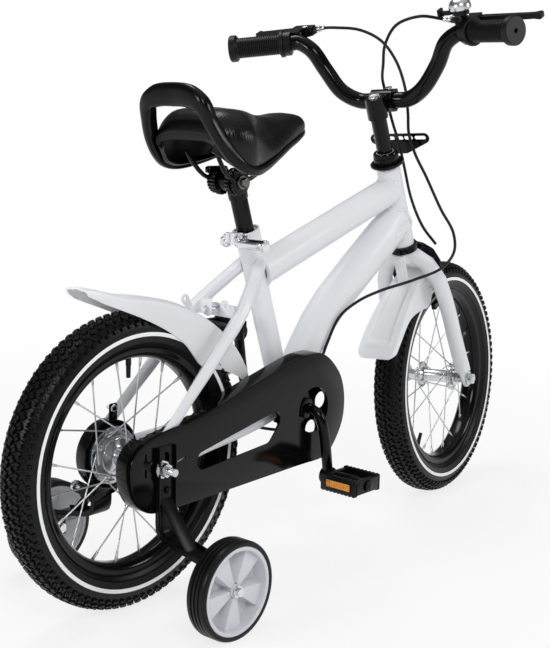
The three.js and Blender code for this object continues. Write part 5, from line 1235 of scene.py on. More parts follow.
    def _rim(self) -> None:
        """The painted rim with its valve stem."""
        shape = Shape().turned(self._both(self.rim), self.segments)
        start = shape.count()
        shape.rods((0, 0, self.rim_inner), (0, 0, 1), ((1.7, -9, 3.4, 16, 0, 0.0),))
        shape.rod(Vector((0, 0, self.rim_inner - 8)), Vector((0, 0, self.rim_inner - 24)), 3.0, 16,
                  slot=1, rounding=0.5, end_radius=2.6)
        shape.turned_on(self.valve_turn, start).moved(self.place)
        deliver(shape, self.name + "_rim_and_valve", self.body, [BLACK_PAINT, BLACK_PLASTIC],
                [self.name + "_rim"], smooth=35)

    def _spokes(self) -> None:
        """Spokes with elbows in the flanges and nipples at the rim."""
        shape = Shape()
        pitch = math.pi / self.spoke_pairs
        for k in range(2 * self.spoke_pairs):
            hole, flange = self.left_flange if k % 2 == 0 else self.right_flange
            side = -1 if (k // 2) % 2 else 1
            face = side * 2.3
            rim_angle = (k + 0.5) * pitch
            hub_angle = rim_angle + side * self.spoke_lead * pitch
            foot = self._polar(hub_angle, hole, flange + face)
            head = self._polar(hub_angle, hole, flange - face * 0.9)
            reach = self._polar(rim_angle, self.rim_inner + 0.5, 0)
            way = (reach - foot).normalized()
            shape.rod(foot, reach - way * 11, self.spoke_radius, 10)
            shape.rod(reach - way * 12.5, reach, 1.5, 10, rounding=0.3, end_radius=2.1)
            shape.rod(foot, head, self.spoke_radius, 10)
            shape.rods(head, (0, -side, 0), ((0, 0.8, 1.9, 12, 0, 0.2),))
            shape.ball(foot, self.spoke_radius)
        deliver(shape.moved(self.place), self.name + "_spokes", self.body, [SPOKE_STEEL],
                smooth=50)

    def _polar(self, angle: float, radius: float, along: float) -> Vector:
        """A point of the wheel by its angle from the top, radius and place along the axle."""
        return Vector((radius * math.sin(angle), along, radius * math.cos(angle)))

    def hub(self, profile: Profile) -> None:
        """Builds the polished hub, turned from its profile, with ten holes in each flange.

        Args:
            profile: its outline, turned about the axle.
        """
        piece = deliver(Shape().turned(profile, 72), self.name + "_hub", self.body, [HUB_CHROME],
                        [self.name + "_hub_and_spokes"], smooth=32)
        cutters = Shape()
        for circle, along in (self.left_flange, self.right_flange):
            since = cutters.count()
            cutters.rods((circle, along, 0), (0, 1, 0), ((-4, 4, 1.5, 16, 0, 0.0),))
            cutters.round_about(self.spoke_pairs, since)
        carve(piece, cutters)
        shift(piece, self.place)
        bevel_piece(piece, 0.35, 40, harden=True)


# ---------------------------------------------------------------- frame


@dataclass
class WeldedFrame:
    """The painted frame: its tubes and the weld beads where they meet."""

    tubes: tuple[str, ...] = ("head_tube", "seat_tube_and_shell", "down_tube", "chainstay_left",
                              "chainstay_right", "seatstay_right")
    top_tube: tuple[float, float, float] = (190.0, 93.5, 20.3)
    bead_radius: float = 2.3
    cup: Profile = ((8.0, 18.5), (20.0, 18.5), (20.0, 30.2), (26.2, 30.3), (27.0, 31.0),
                    (27.0, 32.6), (26.2, 33.3), (8.0, 33.3))
    joints: tuple[tuple[str, Point, float], ...] = (
        ("top_tube", (505.0, 0.0, 475.0), 60.0),
        ("top_tube", (219.0, 0.0, 379.0), 60.0),
        ("down_tube", (520.0, 0.0, 433.0), 60.0),
        ("down_tube", (300.0, 0.0, 205.0), 62.0),
    )

    def build(self) -> None:
        """Dresses the tubes and lays the beads."""
        for name in self.tubes:
            dressed(name, "frame", WHITE_PAINT, smooth=42)
        dressed("seatstay_left", "frame", WHITE_PAINT, bevel=0.4, smooth=42,
                regions=[((120.0, -9.0, 335.0), (137.5, 9.0, 352.0), ZINC)])
        seat_along, head_along, radius = self.top_tube
        start = LAYOUT.seat_point(seat_along)
        end = LAYOUT.steered() @ Vector((0, 0, head_along))
        way = (end - start).normalized()
        tube = Shape().rod(start + way * 10, end - way * 8, radius, 72)
        deliver(tube, "top_tube_round", "frame", [WHITE_PAINT], ["top_tube"], smooth=50)
        self._beads()
        for side, sign in SIDES:
            shape = Shape().turned(self.cup, 48)
            shape.mirrored(Matrix.Translation((LAYOUT.crank_forward, 0, LAYOUT.crank_height))
                           @ mirror(sign))
            deliver(shape, f"bearing_cup_{side}", "frame", [BLACK_PAINT],
                    [f"bottom_bracket_cup_{side}"], smooth=30)

    def _beads(self) -> None:
        """Lays a round bead along the mouth of each tube."""
        shape = Shape()
        for name, near, reach in self.joints:
            ring = self._mouth(name, Vector(near), reach)
            if ring:
                shape.tube(smooth_line([*ring, ring[0]], 64), self.bead_radius, 12, caps=False)
        deliver(shape, "frame_weld_beads", "frame", [WHITE_PAINT], smooth=60)

    def _mouth(self, name: str, near: Vector, reach: float) -> list[Vector]:
        """The longest ring of sharp edges of a node near a point.

        Args:
            name: name of the CAD node.
            near: the point, in millimetres.
            reach: how far from it an edge may be.

        Returns:
            The ring's points in order, or none.
        """
        shape = node_shape(name)
        around: dict[bmesh.types.BMVert, list[bmesh.types.BMVert]] = {}
        for edge in shape.bm.edges:
            if (len(edge.link_faces) == 2 and edge.calc_face_angle(0.0) > math.radians(43)
                    and all((v.co - near).length < reach for v in edge.verts)):
                for vert in edge.verts:
                    around.setdefault(vert, []).append(edge.other_vert(vert))
        best: list[Vector] = []
        left = dict.fromkeys(around)
        while left:
            at = max(left, key=lambda v: (v.co - near).length)
            ring = []
            while at:
                del left[at]
                ring.append(at)
                at = next((v for v in around[at] if v in left), None)
            points = [v.co.copy() for v in ring]
            if len(points) > 6 and self._length(points) > self._length(best):
                best = points
        shape.bm.free()
        return best

    def _length(self, points: Sequence[Vector]) -> float:
        """The length of a closed line through points."""
        return sum((a - b).length for a, b in zip(points, [*points[1:], *points[:1]]))


# ---------------------------------------------------------------- drive


@dataclass
class Drive:
    """Chain guard, chain, chainwheel, sprocket, crank and pedals."""

    chain_line: float = 36.0
    pitch: float = 12.7
    chainwheel_teeth: int = 28
    sprocket_teeth: int = 16
    crank_length: float = 89.0
    crank_offset: float = 71.0
    rest_angle: float = 8.0
    pedal_inside: float = 79.5
    pedal_width: float = 57.0
    pedal_length: float = 53.0
    pedal_height: float = 21.0
    arm_shares: Profile = ((0, 0.55), (0, 0.7), (0.04, 0.82), (0.16, 0.92), (0.34, 0.97), (1, 1))
    guard_corner: tuple[float, float] = (-47.0, 123.8)
    guard_size: tuple[float, float] = (397.0, 150.8)
    guard_faces: tuple[float, float, float] = (-53.4, -51.5, -27.4)
    guard_wall: float = 1.9
    guard_outline: Profile = (
        (0.146, 0.642), (0.271, 0.675), (0.43, 0.782), (0.59, 0.89), (0.751, 0.99), (0.8, 1),
        (0.85, 0.993), (0.89, 0.95), (0.935, 0.851), (0.97, 0.73), (0.99, 0.54), (0.982, 0.33),
        (0.935, 0.13), (0.9, 0.055), (0.866, 0.036), (0.764, 0.034), (0.549, 0.021), (0.383, 0.011),
        (0.207, 0.002), (0.13, 0.001), (0.072, 0.03), (0.03, 0.125), (0.006, 0.3), (0.01, 0.46),
        (0.055, 0.575))
    guard_holes: tuple[tuple[Profile, float, int], ...] = (
        (((73.0, 173.0), (202.0, 198.5), (187.0, 182.0)), 11.3, 48),
        (((-22.0, 172.0), (-22.0, 180.0)), 1.5, 16), (((-22.0, 190.0), (-22.0, 198.0)), 1.5, 16),
        (((30.0, 180.0), (42.0, 183.0)), 1.3, 16),
        (((LAYOUT.crank_forward, LAYOUT.crank_height),), 30.0, 72),
        (((0.0, LAYOUT.wheel_radius),), 5.2, 24))
    tooth: Profile = ((-0.5, -3.4), (-0.38, -3.0), (-0.24, -0.6), (-0.1, 2.4), (0.1, 2.4),
                      (0.24, -0.6), (0.38, -3.0))
    plate_half: float = 1.3

    def build(self) -> None:
        """Builds every piece of the drive."""
        self._guard()
        self._chain()
        self._chainwheel()
        self._sprocket()
        self._crank()
        for side, sign in SIDES:
            self._pedal(side, sign)

    def _guard(self) -> None:
        """The chain guard: a dished cover with a tapering slot and a hole for the crank."""
        outer, face, inner = self.guard_faces
        (x0, z0), (length, height) = self.guard_corner, self.guard_size
        corners = [(x0 + run * length, 0, z0 + rise * height) for run, rise in self.guard_outline]
        loop = [(p.x, p.z) for p in closed_line(corners)]
        x1, z1 = x0 + length / 2, z0 + height / 2
        wide, tall = 1 - 2 * self.guard_wall / length, 1 - 2 * self.guard_wall / height
        inset = [(x1 + (x - x1) * wide, z1 + (z - z1) * tall) for x, z in loop]
        piece = deliver(Shape().slab(loop, outer, inner, 1.5), "chain_guard_cover", "frame",
                        [GUARD_PLASTIC], ["chain_guard"], smooth=30)
        carve(piece, Shape().slab(inset, face, inner + 5))
        cutters = Shape()
        for hole, radius, steps in self.guard_holes:
            cutters.slab(rounded(hole, radius, steps), outer - 2, face + 0.2)
        carve(piece, cutters.block((-20, face + 0.3, 193), (95, inner + 5, 330), 0.0))
        bevel_piece(piece, 0.4, 40)

    def _radius(self, teeth: int) -> float:
        """The pitch radius of a toothed wheel."""
        return self.pitch / (2 * math.sin(math.pi / teeth))

    def _chain_points(self) -> list[Vector]:
        """Points of the chain's pins, about one pitch apart round both wheels.

        Returns:
            The points.
        """
        front, rear = self._radius(self.chainwheel_teeth), self._radius(self.sprocket_teeth)
        rise = LAYOUT.crank_height - LAYOUT.wheel_radius
        tilt = math.atan2(rise, LAYOUT.crank_forward)
        reach = math.acos((rear - front) / math.hypot(LAYOUT.crank_forward, rise))
        fine = []
        for x, z, radius, start, end in (
                (LAYOUT.crank_forward, LAYOUT.crank_height, front, tilt - reach, tilt + reach),
                (0.0, LAYOUT.wheel_radius, rear, tilt + reach, tilt + FULL_TURN - reach)):
            for angle in (start + (end - start) * step / 120 for step in range(121)):
                fine.append(Vector((x + radius * math.cos(angle), -self.chain_line,
                                    z + radius * math.sin(angle))))
        fine.append(fine[0].copy())
        lengths = [0.0]
        for a, b in zip(fine, fine[1:]):
            lengths.append(lengths[-1] + (b - a).length)
        count = 2 * round(lengths[-1] / self.pitch / 2)
        points, index = [], 0
        for want in (lengths[-1] * k / count for k in range(count)):
            while lengths[index + 1] < want:
                index += 1
            share = (want - lengths[index]) / (lengths[index + 1] - lengths[index])
            points.append(fine[index].lerp(fine[index + 1], share))
        return points

    def _chain(self) -> None:
        """The roller chain, link by link."""
        points = self._chain_points()
        shape = Shape()
        for k, (a, b) in enumerate(zip(points, [*points[1:], points[0]])):
            way = b - a
            place = (Matrix.Translation((a + b) / 2)
                     @ Matrix.Rotation(-math.atan2(way.z, way.x), 4, "Y"))
            outline = []
            for end in (1, -1):
                outline += [(end * (way.length / 2 + 3.9 * math.sin(t)), end * 3.9 * math.cos(t))
                            for t in (0.35, 0.95, 1.57, 2.19, 2.79)]
                outline.append((0.0, -2.6 * end))
            for y in (-3.7, 3.7) if k % 2 else (-2.7, 2.7):
                shape.slab(outline, y - 0.45, y + 0.45, place=place)
            shape.rods(a, (0, 1, 0), ((-4.6, 4.6, 1.8, 8, 0, 0.0), (-2, 2, 3.7, 10, 0, 0.0)))
        deliver(shape, "roller_chain", "frame", [CHAIN_STEEL], ["chain"], smooth=40)

    def _toothed(self, teeth: int, rounding: float) -> Shape:
        """A toothed wheel in the chain's plane.

        Args:
            teeth: how many teeth it has.
            rounding: width of the bevel on its edges.

        Returns:
            The wheel.
        """
        points = []
        for k in range(teeth):
            for turn, rise in self.tooth:
                reach, angle = self._radius(teeth) + rise, (k + turn) * FULL_TURN / teeth
                points.append((reach * math.cos(angle), reach * math.sin(angle)))
        return Shape().slab(points, -self.chain_line - self.plate_half,
                            -self.chain_line + self.plate_half, rounding)

    def _at_crank(self) -> Matrix:
        """Takes the crank's own frame to the frame of the model, at its rest angle."""
        return (Matrix.Translation((LAYOUT.crank_forward, 0, LAYOUT.crank_height))
                @ Matrix.Rotation(math.radians(-self.rest_angle), 4, "Y"))

    def _chainwheel(self) -> None:
        """The chainwheel, a toothed plate with five round openings."""
        piece = deliver(self._toothed(self.chainwheel_teeth, 0.0), "chainwheel_plate", "crank",
                        [BLACK_PAINT], ["chainwheel"], smooth=30)
        radius = self._radius(self.chainwheel_teeth)
        cutters = Shape()
        cutters.rods((0.6 * radius, -self.chain_line, 0), (0, 1, 0),
                     ((-5, 5, 0.2 * radius, 40, 0, 0.0),)).round_about(5, 0)
        cutters.rods((0, -self.chain_line, 0), (0, 1, 0), ((-5, 5, 7.8, 32, 0, 0.0),))
        carve(piece, cutters)
        shift(piece, self._at_crank())
        bevel_piece(piece, 0.3)

    def _sprocket(self) -> None:
        """The freewheel: a toothed ring round a turned body."""
        shape = self._toothed(self.sprocket_teeth, 0.3)
        shape.turned([(17.2, -43.4), (20.4, -43.4), (20.9, -42.8), (20.9, -32.8), (20.4, -32.2),
                      (17.2, -32.2)], 48)
        deliver(shape.moved(LAYOUT.rear_wheel()), "freewheel_body", "freewheel", [CHAIN_STEEL],
                ["freewheel_sprocket"], smooth=35)

    def _crank(self) -> None:
        """The one-piece crank with its eyes, cones and pedal spindles."""
        shape = Shape()
        line = smooth_line([(0, share * self.crank_offset, reach * self.crank_length)
                            for reach, share in self.arm_shares], 26)
        for turn in (Matrix.Rotation(0, 4, "X"), Matrix.Rotation(math.pi, 4, "X")):
            shape.tube([turn @ p for p in line], 7.0, 20,
                       flat=lambda t, w: (math.cos(t), math.sin(t) * (1 + 0.12 * w)))
            eye = turn @ Vector((0, self.crank_offset, self.crank_length))
            shape.rods(eye, turn @ Vector((0, 1, 0)), (
                (-6.5, 6.5, 12, 40, 0, 1.2), (6.4, 8.2, 8.6, 6, 1, 0.0), (0, 68, 4.8, 20, 1, 0.0),
                (65.8, 68.8, 7.4, 32, 0, 0.8), (65.8, 69.5, 2.6, 20, 0, 0.4)))
        shape.rods((0, 0, 0), (0, 1, 0), (
            (-43, 43, 7.5, 32, 0, 0.0), (33.9, 36.8, 14, 6, 1, 0.5),
            (-43.7, -38.7, 13.5, 32, 0, 0.8)))
        deliver(shape.moved(self._at_crank()), "one_piece_crank", "crank", [BLACK_PAINT, ZINC],
                ["crank"], smooth=35)

    def _pedal(self, side: str, sign: int) -> None:
        """One pedal: ribbed bars round a sleeve, with an amber reflector front and rear.

        Args:
            side: left or right.
            sign: 1 for the left, -1 for the right.
        """
        shape = Shape()
        half, tall, wide = self.pedal_length / 2, self.pedal_height / 2, self.pedal_width
        for end in (1, -1):
            near, far, pocket, lip = (end * (half + x) for x in (-5.0, 0.0, -1.6, 0.9))
            shape.block((near, 0, -tall), (far, wide, tall), 1.0)
            for y in (4.0 + k * (wide - 8.0) / 8 for k in range(9)):
                for z in (tall - 0.2, 0.2 - tall):
                    shape.block((near + 0.4 * end, y - 1.6, z - 1.0),
                                (far - 0.4 * end, y + 1.6, z + 0.9), 0.4)
            shape.block((pocket, 9.0, -4.8), (end * (half + 0.4), wide - 9.0, 4.8), 0.4, 1)
            for z in (-5.6, 5.6):
                shape.block((pocket, 7.6, z - 0.7), (lip, wide - 7.6, z + 0.7), 0.3)
            for y in (8.2, wide - 8.2):
                shape.block((pocket, y - 0.8, -6.2), (lip, y + 0.8, 6.2), 0.3)
        for y in (3.6, wide - 3.6):
            shape.block((1 - half, y - 3.6, 1.5 - tall), (half - 1, y + 3.6, tall - 1.5), 1.0)
        shape.rods((0, 0, 0), (0, 1, 0), ((0, wide, 8.6, 32, 0, 0.6),))
        for x in (-1, 1):
            shape.block((x * 9 - 1.2, 5, -3.5), (x * 9 + 1.2, wide - 5, 3.5), 0.4)
            shape.block((x * 8, wide / 2 - 1.5, -4), (x * 22, wide / 2 + 1.5, 4), 0.4)
        joint = next(j for j in frame["joints"] if j["name"] == f"pedal_{side}_spin")
        x, _, z = joint["pos_m"]
        place = Matrix.Translation((x / MM, sign * self.pedal_inside, z / MM))
        deliver(shape.mirrored(place @ mirror(sign)), f"pedal_{side}_body", f"pedal_{side}",
                [BLACK_PLASTIC, AMBER], [f"pedal_{side}"], smooth=35)


# ---------------------------------------------------------------- rear brake


@dataclass
class BandBrake:
    """The band brake at the rear hub's left end: cover, lug, barrel and arm."""

    cover: Profile = (
        (40.0, 28.9), (41.6, 28.9), (42.0, 29.4), (42.0, 43.3), (41.2, 45.1), (39.4, 45.9),
        (8.6, 45.9), (8.6, 43.9), (38.6, 43.9), (40.0, 42.5))
    lug: Profile = ((-20, -32), (-21, -40), (-23, -50), (-20, -58), (-12, -61), (-3, -59),
                    (20, -54.5), (24, -52), (22, -40), (20, -32))
    tab: Profile = ((11, 36), (23, 36), (23, 55), (21, 57), (13, 57), (11, 55))
    face: float = 45.9
    wall: float = 2.0

    def build(self) -> None:
        """Builds the cover and the arm."""
        shape = Shape().turned(self.cover, 96)
        shape.slab(self.lug, self.face - self.wall, self.face, 0.5)
        shape.slab(self.tab, self.face - self.wall, self.face, 0.4)
        shape.rods((17, self.face, 51), (0, 1, 0), ((-4, 1.2, 5.2, 6, 1, 0.4),))
        shape.rods((0, 47.7, -49), (1, 0, 0), ((2, 20, 3.0, 24, 1, 0.5), (16, 20, 4.0, 6, 1, 0.3)))
        deliver(shape.moved(LAYOUT.rear_wheel()), "brake_cover_cup", "frame", [BLACK_PAINT, ZINC],
                ["brake_cover"], smooth=32)
        dressed("brake_arm", "brake_arm", BLACK_PAINT, smooth=50,
                regions=[((-48.0, 40.0, 135.0), (-32.0, 60.0, 152.0), ZINC),
                         ((-17.0, 49.9, 122.0), (-7.0, 60.0, 133.0), ZINC)])


# ---------------------------------------------------------------- steering


@dataclass
class Steering:
    """Fork, headset, stem, handlebar, grips, levers, bell and front brake."""

    steered: Matrix = field(default_factory=LAYOUT.steered)
    bar_radius: float = 11.1
    clamp_ahead: float = 25.0
    clamp_along: float = 216.6
    clamp_bolt_ahead: float = 43.975
    bar_half_width: float = 216.0
    bar_rise: float = 94.8
    bar_backset: float = 22.5
    bar_straight: float = 96.0
    bar_sides: tuple[float, ...] = (0, 0.083, 0.179, 0.296, 0.405, 0.485)
    bar_rises: tuple[float, ...] = (0, 0, 0.01, 0.17, 0.487, 0.795)
    bar_aheads: tuple[float, ...] = (0, 0, 0.036, -0.03, 0.3, 0.4)
    grip_way: Vector = field(default_factory=lambda: Vector((-0.359, 0.929, 0.076)).normalized())
    grip_ribs: int = 21
    bell_place: Point = (32.0, -133.0, 337.0)
    bell: Profile = ((0.0, 14.0), (3.0, 13.9), (7.5, 13.1), (11.5, 10.8), (13.9, 7.2),
                     (15.0, 3.0), (15.0, 0.2), (14.4, -0.4), (0.0, -0.4))
    bracket_foot: float = 135.6
    bracket_ahead: float = 50.0
    bracket_slots: Profile = ((0.0, 3.5), (14.5, 4.0), (-14.5, 4.0), (33.0, 6.0), (-33.0, 6.0))
    rings: tuple[tuple[str, str, str, Profile], ...] = (
        ("headset_lower_ring", "frame", "headset_lower_cup", (
            (13.2, -4.7), (19.0, -4.7), (20.5, -3.6), (20.5, 1.4), (19.6, 2.0), (19.6, 2.8),
            (20.5, 3.4), (20.5, 5.0), (19.9, 5.7), (14.9, 5.7), (14.9, 15.0), (13.2, 15.0))),
        ("headset_upper_ring", "frame", "headset_upper_cup", (
            (13.2, 118.0), (14.9, 118.0), (14.9, 127.3), (17.0, 127.3), (18.6, 128.0),
            (23.2, 130.8), (24.0, 131.8), (24.0, 134.3), (23.0, 135.3), (13.2, 135.3))),
        ("headset_nut", "steering", "headset_locknut", (
            (13.0, 138.0), (17.6, 138.0), (18.0, 138.6), (18.0, 143.0), (17.2, 143.6),
            (17.2, 144.4), (17.6, 145.0), (17.2, 149.0), (16.2, 150.3), (13.0, 150.3))))

    def build(self) -> None:
        """Builds every piece of the steering."""
        dressed("fork", "steering", WHITE_PAINT, bevel=0.4, smooth=50)
        for name, body, cup, profile in self.rings:
            deliver(Shape().turned(profile, 64, self.steered @ QUARTER_ABOUT_X), name, body,
                    [BLACK_PAINT], [cup], smooth=32)
        self._bracket()
        dressed("stem", "steering", BLACK_PAINT, bevel=0.8, smooth=40)
        self._stem_bolts()
        self._bar()
        for side, sign in SIDES:
            self._grip(side, sign)
            dressed(f"brake_bracket_{side}", "steering", BLACK_PLASTIC, bevel=0.8, smooth=48)
            dressed(f"brake_lever_{side}", f"brake_lever_{side}", BLACK_PLASTIC, bevel=1.2,
                    smooth=48)
            dressed(f"caliper_arm_{side}", f"caliper_{side}", BLACK_PAINT, bevel=0.8, smooth=50)
            self._lever_fittings(side, sign)
        self._bell()

    def _bracket(self) -> None:
        """The slotted plate on its tongue under the locknut."""
        foot, ahead = self.bracket_foot, self.bracket_ahead
        top, middle = foot + 2.0, foot + 14.0
        ring = [(13.2, foot), (18.6, foot), (18.6, top), (13.2, top)]
        plate = rounded([(39.0, middle), (-39.0, middle), (-7.0, foot - 1), (7.0, foot - 1)],
                        7.8, 64)
        shape = Shape().turned(ring, 48, QUARTER_ABOUT_X)
        shape.block((15, -6, foot), (ahead, 6, top), 0.4)
        shape.slab(plate, ahead - 2.0, ahead, 0.5, SWAPPED).mirrored(self.steered)
        piece = deliver(shape, "front_slotted_bracket", "steering", [BLACK_PAINT],
                        ["front_bracket"], smooth=32)
        slots = Shape()
        for left, half in self.bracket_slots:
            outline = rounded([(left - half, middle + 1), (left + half, middle + 1)], 3.0, 32)
            slots.slab(outline, ahead - 5, ahead + 3, place=SWAPPED)
        carve(piece, slots.moved(self.steered))

    def _stem_bolts(self) -> None:
        """Bright heads on the stem's two bolts."""
        shape = Shape().rods((0, 0, 0), (0, 0, 1), ((231, 232.2, 9.2, 32, 0, 0.4),
                                                    (232, 236.4, 7.6, 6, 0, 0.6)))
        shape.rods((self.clamp_bolt_ahead, 0, self.clamp_along), (0, 0, 1),
                   ((8.4, 12.4, 6.0, 6, 0, 0.5), (-8.4, -12.4, 6.0, 6, 0, 0.5)))
        deliver(shape.moved(self.steered), "stem_bolt_heads", "steering", [ZINC], smooth=35)

    def _bar_end(self) -> Vector:
        """The left end of the bar."""
        return Vector((self.clamp_ahead - self.bar_backset, self.bar_half_width,
                       self.clamp_along + self.bar_rise))

    def _bar(self) -> None:
        """The bent handlebar."""
        left = [Vector((self.clamp_ahead + ahead * self.bar_backset, side * self.bar_half_width,
                        self.clamp_along + rise * self.bar_rise))
                for side, rise, ahead in zip(self.bar_sides, self.bar_rises, self.bar_aheads)]
        left += [self._bar_end() - self.grip_way * (share * self.bar_straight)
                 for share in (1, 0.9, 0.45, 0)]
        right = [Vector((p.x, -p.y, p.z)) for p in left[1:]][::-1]
        shape = Shape().tube(smooth_line([*right, *left], 150), self.bar_radius, 32)
        deliver(shape.moved(self.steered), "bent_handlebar", "steering", [BLACK_PAINT],
                ["handlebar"], smooth=40)

    def _grip(self, side: str, sign: int) -> None:
        """A ribbed rubber grip with a flange at each end and a dull end face.

        Args:
            side: left or right.
            sign: 1 for the left, -1 for the right.
        """
        profile = [(11.4, -76.0), (18.4, -76.0), (19.0, -75.4), (19.0, -71.6), (18.4, -71.0),
                   (15.0, -71.0), (15.0, -68.5)]
        for y in (-67.5 + k * 58.0 / self.grip_ribs for k in range(self.grip_ribs)):
            profile += [(13.2, y), (13.2, y + 0.7), (14.5, y + 1.1), (14.5, y + 2.2)]
        profile += [(14.6, -8.8), (18.2, -6.6), (19.0, -5.6), (19.0, 1.8), (17.8, 3.2), (17.8, 3.2),
                    (4.0, 3.3), (3.2, 2.6), (3.0, 0.4), (11.4, 0.3)]
        shape = Shape().turned(profile, 64)
        for face in shape.bm.faces:
            centre = face.calc_center_median()
            if centre.y > 2.9 and math.hypot(centre.x, centre.z) < 17.5:
                face.material_index = 1
        turn = Vector((0, 1, 0)).rotation_difference(self.grip_way).to_matrix().to_4x4()
        shape.mirrored(self.steered @ mirror(sign) @ Matrix.Translation(self._bar_end()) @ turn)
        deliver(shape, f"grip_{side}_rubber", "steering", [GRIP_RUBBER, GRIP_END],
                [f"grip_{side}"], smooth=30)

    def _lever_fittings(self, side: str, sign: int) -> None:
        """The lever's bright barrel adjuster and pivot screw.

        Args:
            side: left or right.
            sign: 1 for the left, -1 for the right.
        """
        way = Vector((-0.3, -9.0, 1.3)).normalized()
        shape = Shape().rods((61.0, 105.0, 314.0), way, ((0, 5, 4.6, 24, 0, 0.6),
                                                         (5, 12, 3.4, 24, 0, 0.5)))
        shape.rods((62, 126, 318), (0, 0, 1), ((0, 2.2, 4.4, 24, 0, 0.7),))
        deliver(shape.mirrored(self.steered @ mirror(sign)), f"lever_fittings_{side}", "steering",
                [CHROME], smooth=35)

    def _bell(self) -> None:
        """The chrome bell dome with its serrated thumb lever."""
        shape = Shape().turned(self.bell, 64, closed=False)
        shape.mirrored(self.steered @ Matrix.Translation(self.bell_place) @ QUARTER_ABOUT_X)
        up = self.steered.to_3x3() @ Vector((0, 0, 1))
        shape.rods(self.steered @ Vector(self.bell_place), up, ((13.6, 15.0, 2.6, 20, 0, 0.5),))
        deliver(shape, "bell_dome_chrome", "steering", [HUB_CHROME], ["bell_dome"], smooth=40)
        dressed("bell_thumb_lever", "bell_lever", BLACK_PLASTIC, smooth=40)


# ---------------------------------------------------------------- cables


@dataclass
class Cables:
    """The two brake cables, free between the levers and the brakes."""

    radius: float = 2.1
    front_steps: int = 150
    rear_steps: int = 300
    front_route: tuple[Point, ...] = (
        (61, -104.6, 314.1), (60.6, -94, 315.6), (40, -70, 328), (24, -42, 324), (26, -18, 298),
        (42, 0, 264), (57, 14, 236), (57, 13, 216), (54, 11, 200), (44, 4, 180), (32, -6, 156),
        (28, -10, 134), (29, -10, 110), (36, -8, 60), (44, -14, 12), (44, -30, -16))
    rear_steered: tuple[Point, ...] = (
        (61, 104.6, 314.1), (60.6, 94, 315.6), (66, 76, 313), (84, 50, 302), (92, 24, 282),
        (88, 4, 252), (74, -10, 216), (56, -17, 186), (42, -20, 160), (36, -27, 132), (44, -34, 92))
    rear_fixed: tuple[Point, ...] = (
        (566, -48, 446), (586, -58, 412), (582, -64, 386), (552, -64, 364), (500, -52, 350),
        (440, -36, 338), (398, -30, 327), (362, -27, 309), (340, -25, 276), (330, -16, 232),
        (320, -6, 190), (298, 8, 160), (262, 18, 164), (224, 25, 180.5), (176, 34, 178),
        (110, 41, 171), (72, 45, 156), (48, 47.4, 139), (34, 47.7, 129.6), (20.3, 47.7, 129))

    def build(self) -> None:
        steered = LAYOUT.steered()
        front = [steered @ Vector(p) for p in self.front_route]
        self._cable("front", "steering", smooth_line(front, self.front_steps))
        rear = [*(steered @ Vector(p) for p in self.rear_steered),
                *(Vector(p) for p in self.rear_fixed)]
        piece = self._cable("rear", "", smooth_line(rear, self.rear_steps))
        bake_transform(piece)

    def _cable(self, name: str, body: str, line: list[Vector]) -> bpy.types.Object:
        """One cable.

        Args:
            name: front or rear.
            body: the CAD body that it rides on.
            line: its centre line.

        Returns:
            The cable's piece.
        """
        piece = deliver(Shape().tube(line, self.radius, 16), f"{name}_cable_housing", body,
                        [CABLE_BLACK], [f"{name}_brake_cable"], smooth=50)
        return piece


# ---------------------------------------------------------------- mudguards


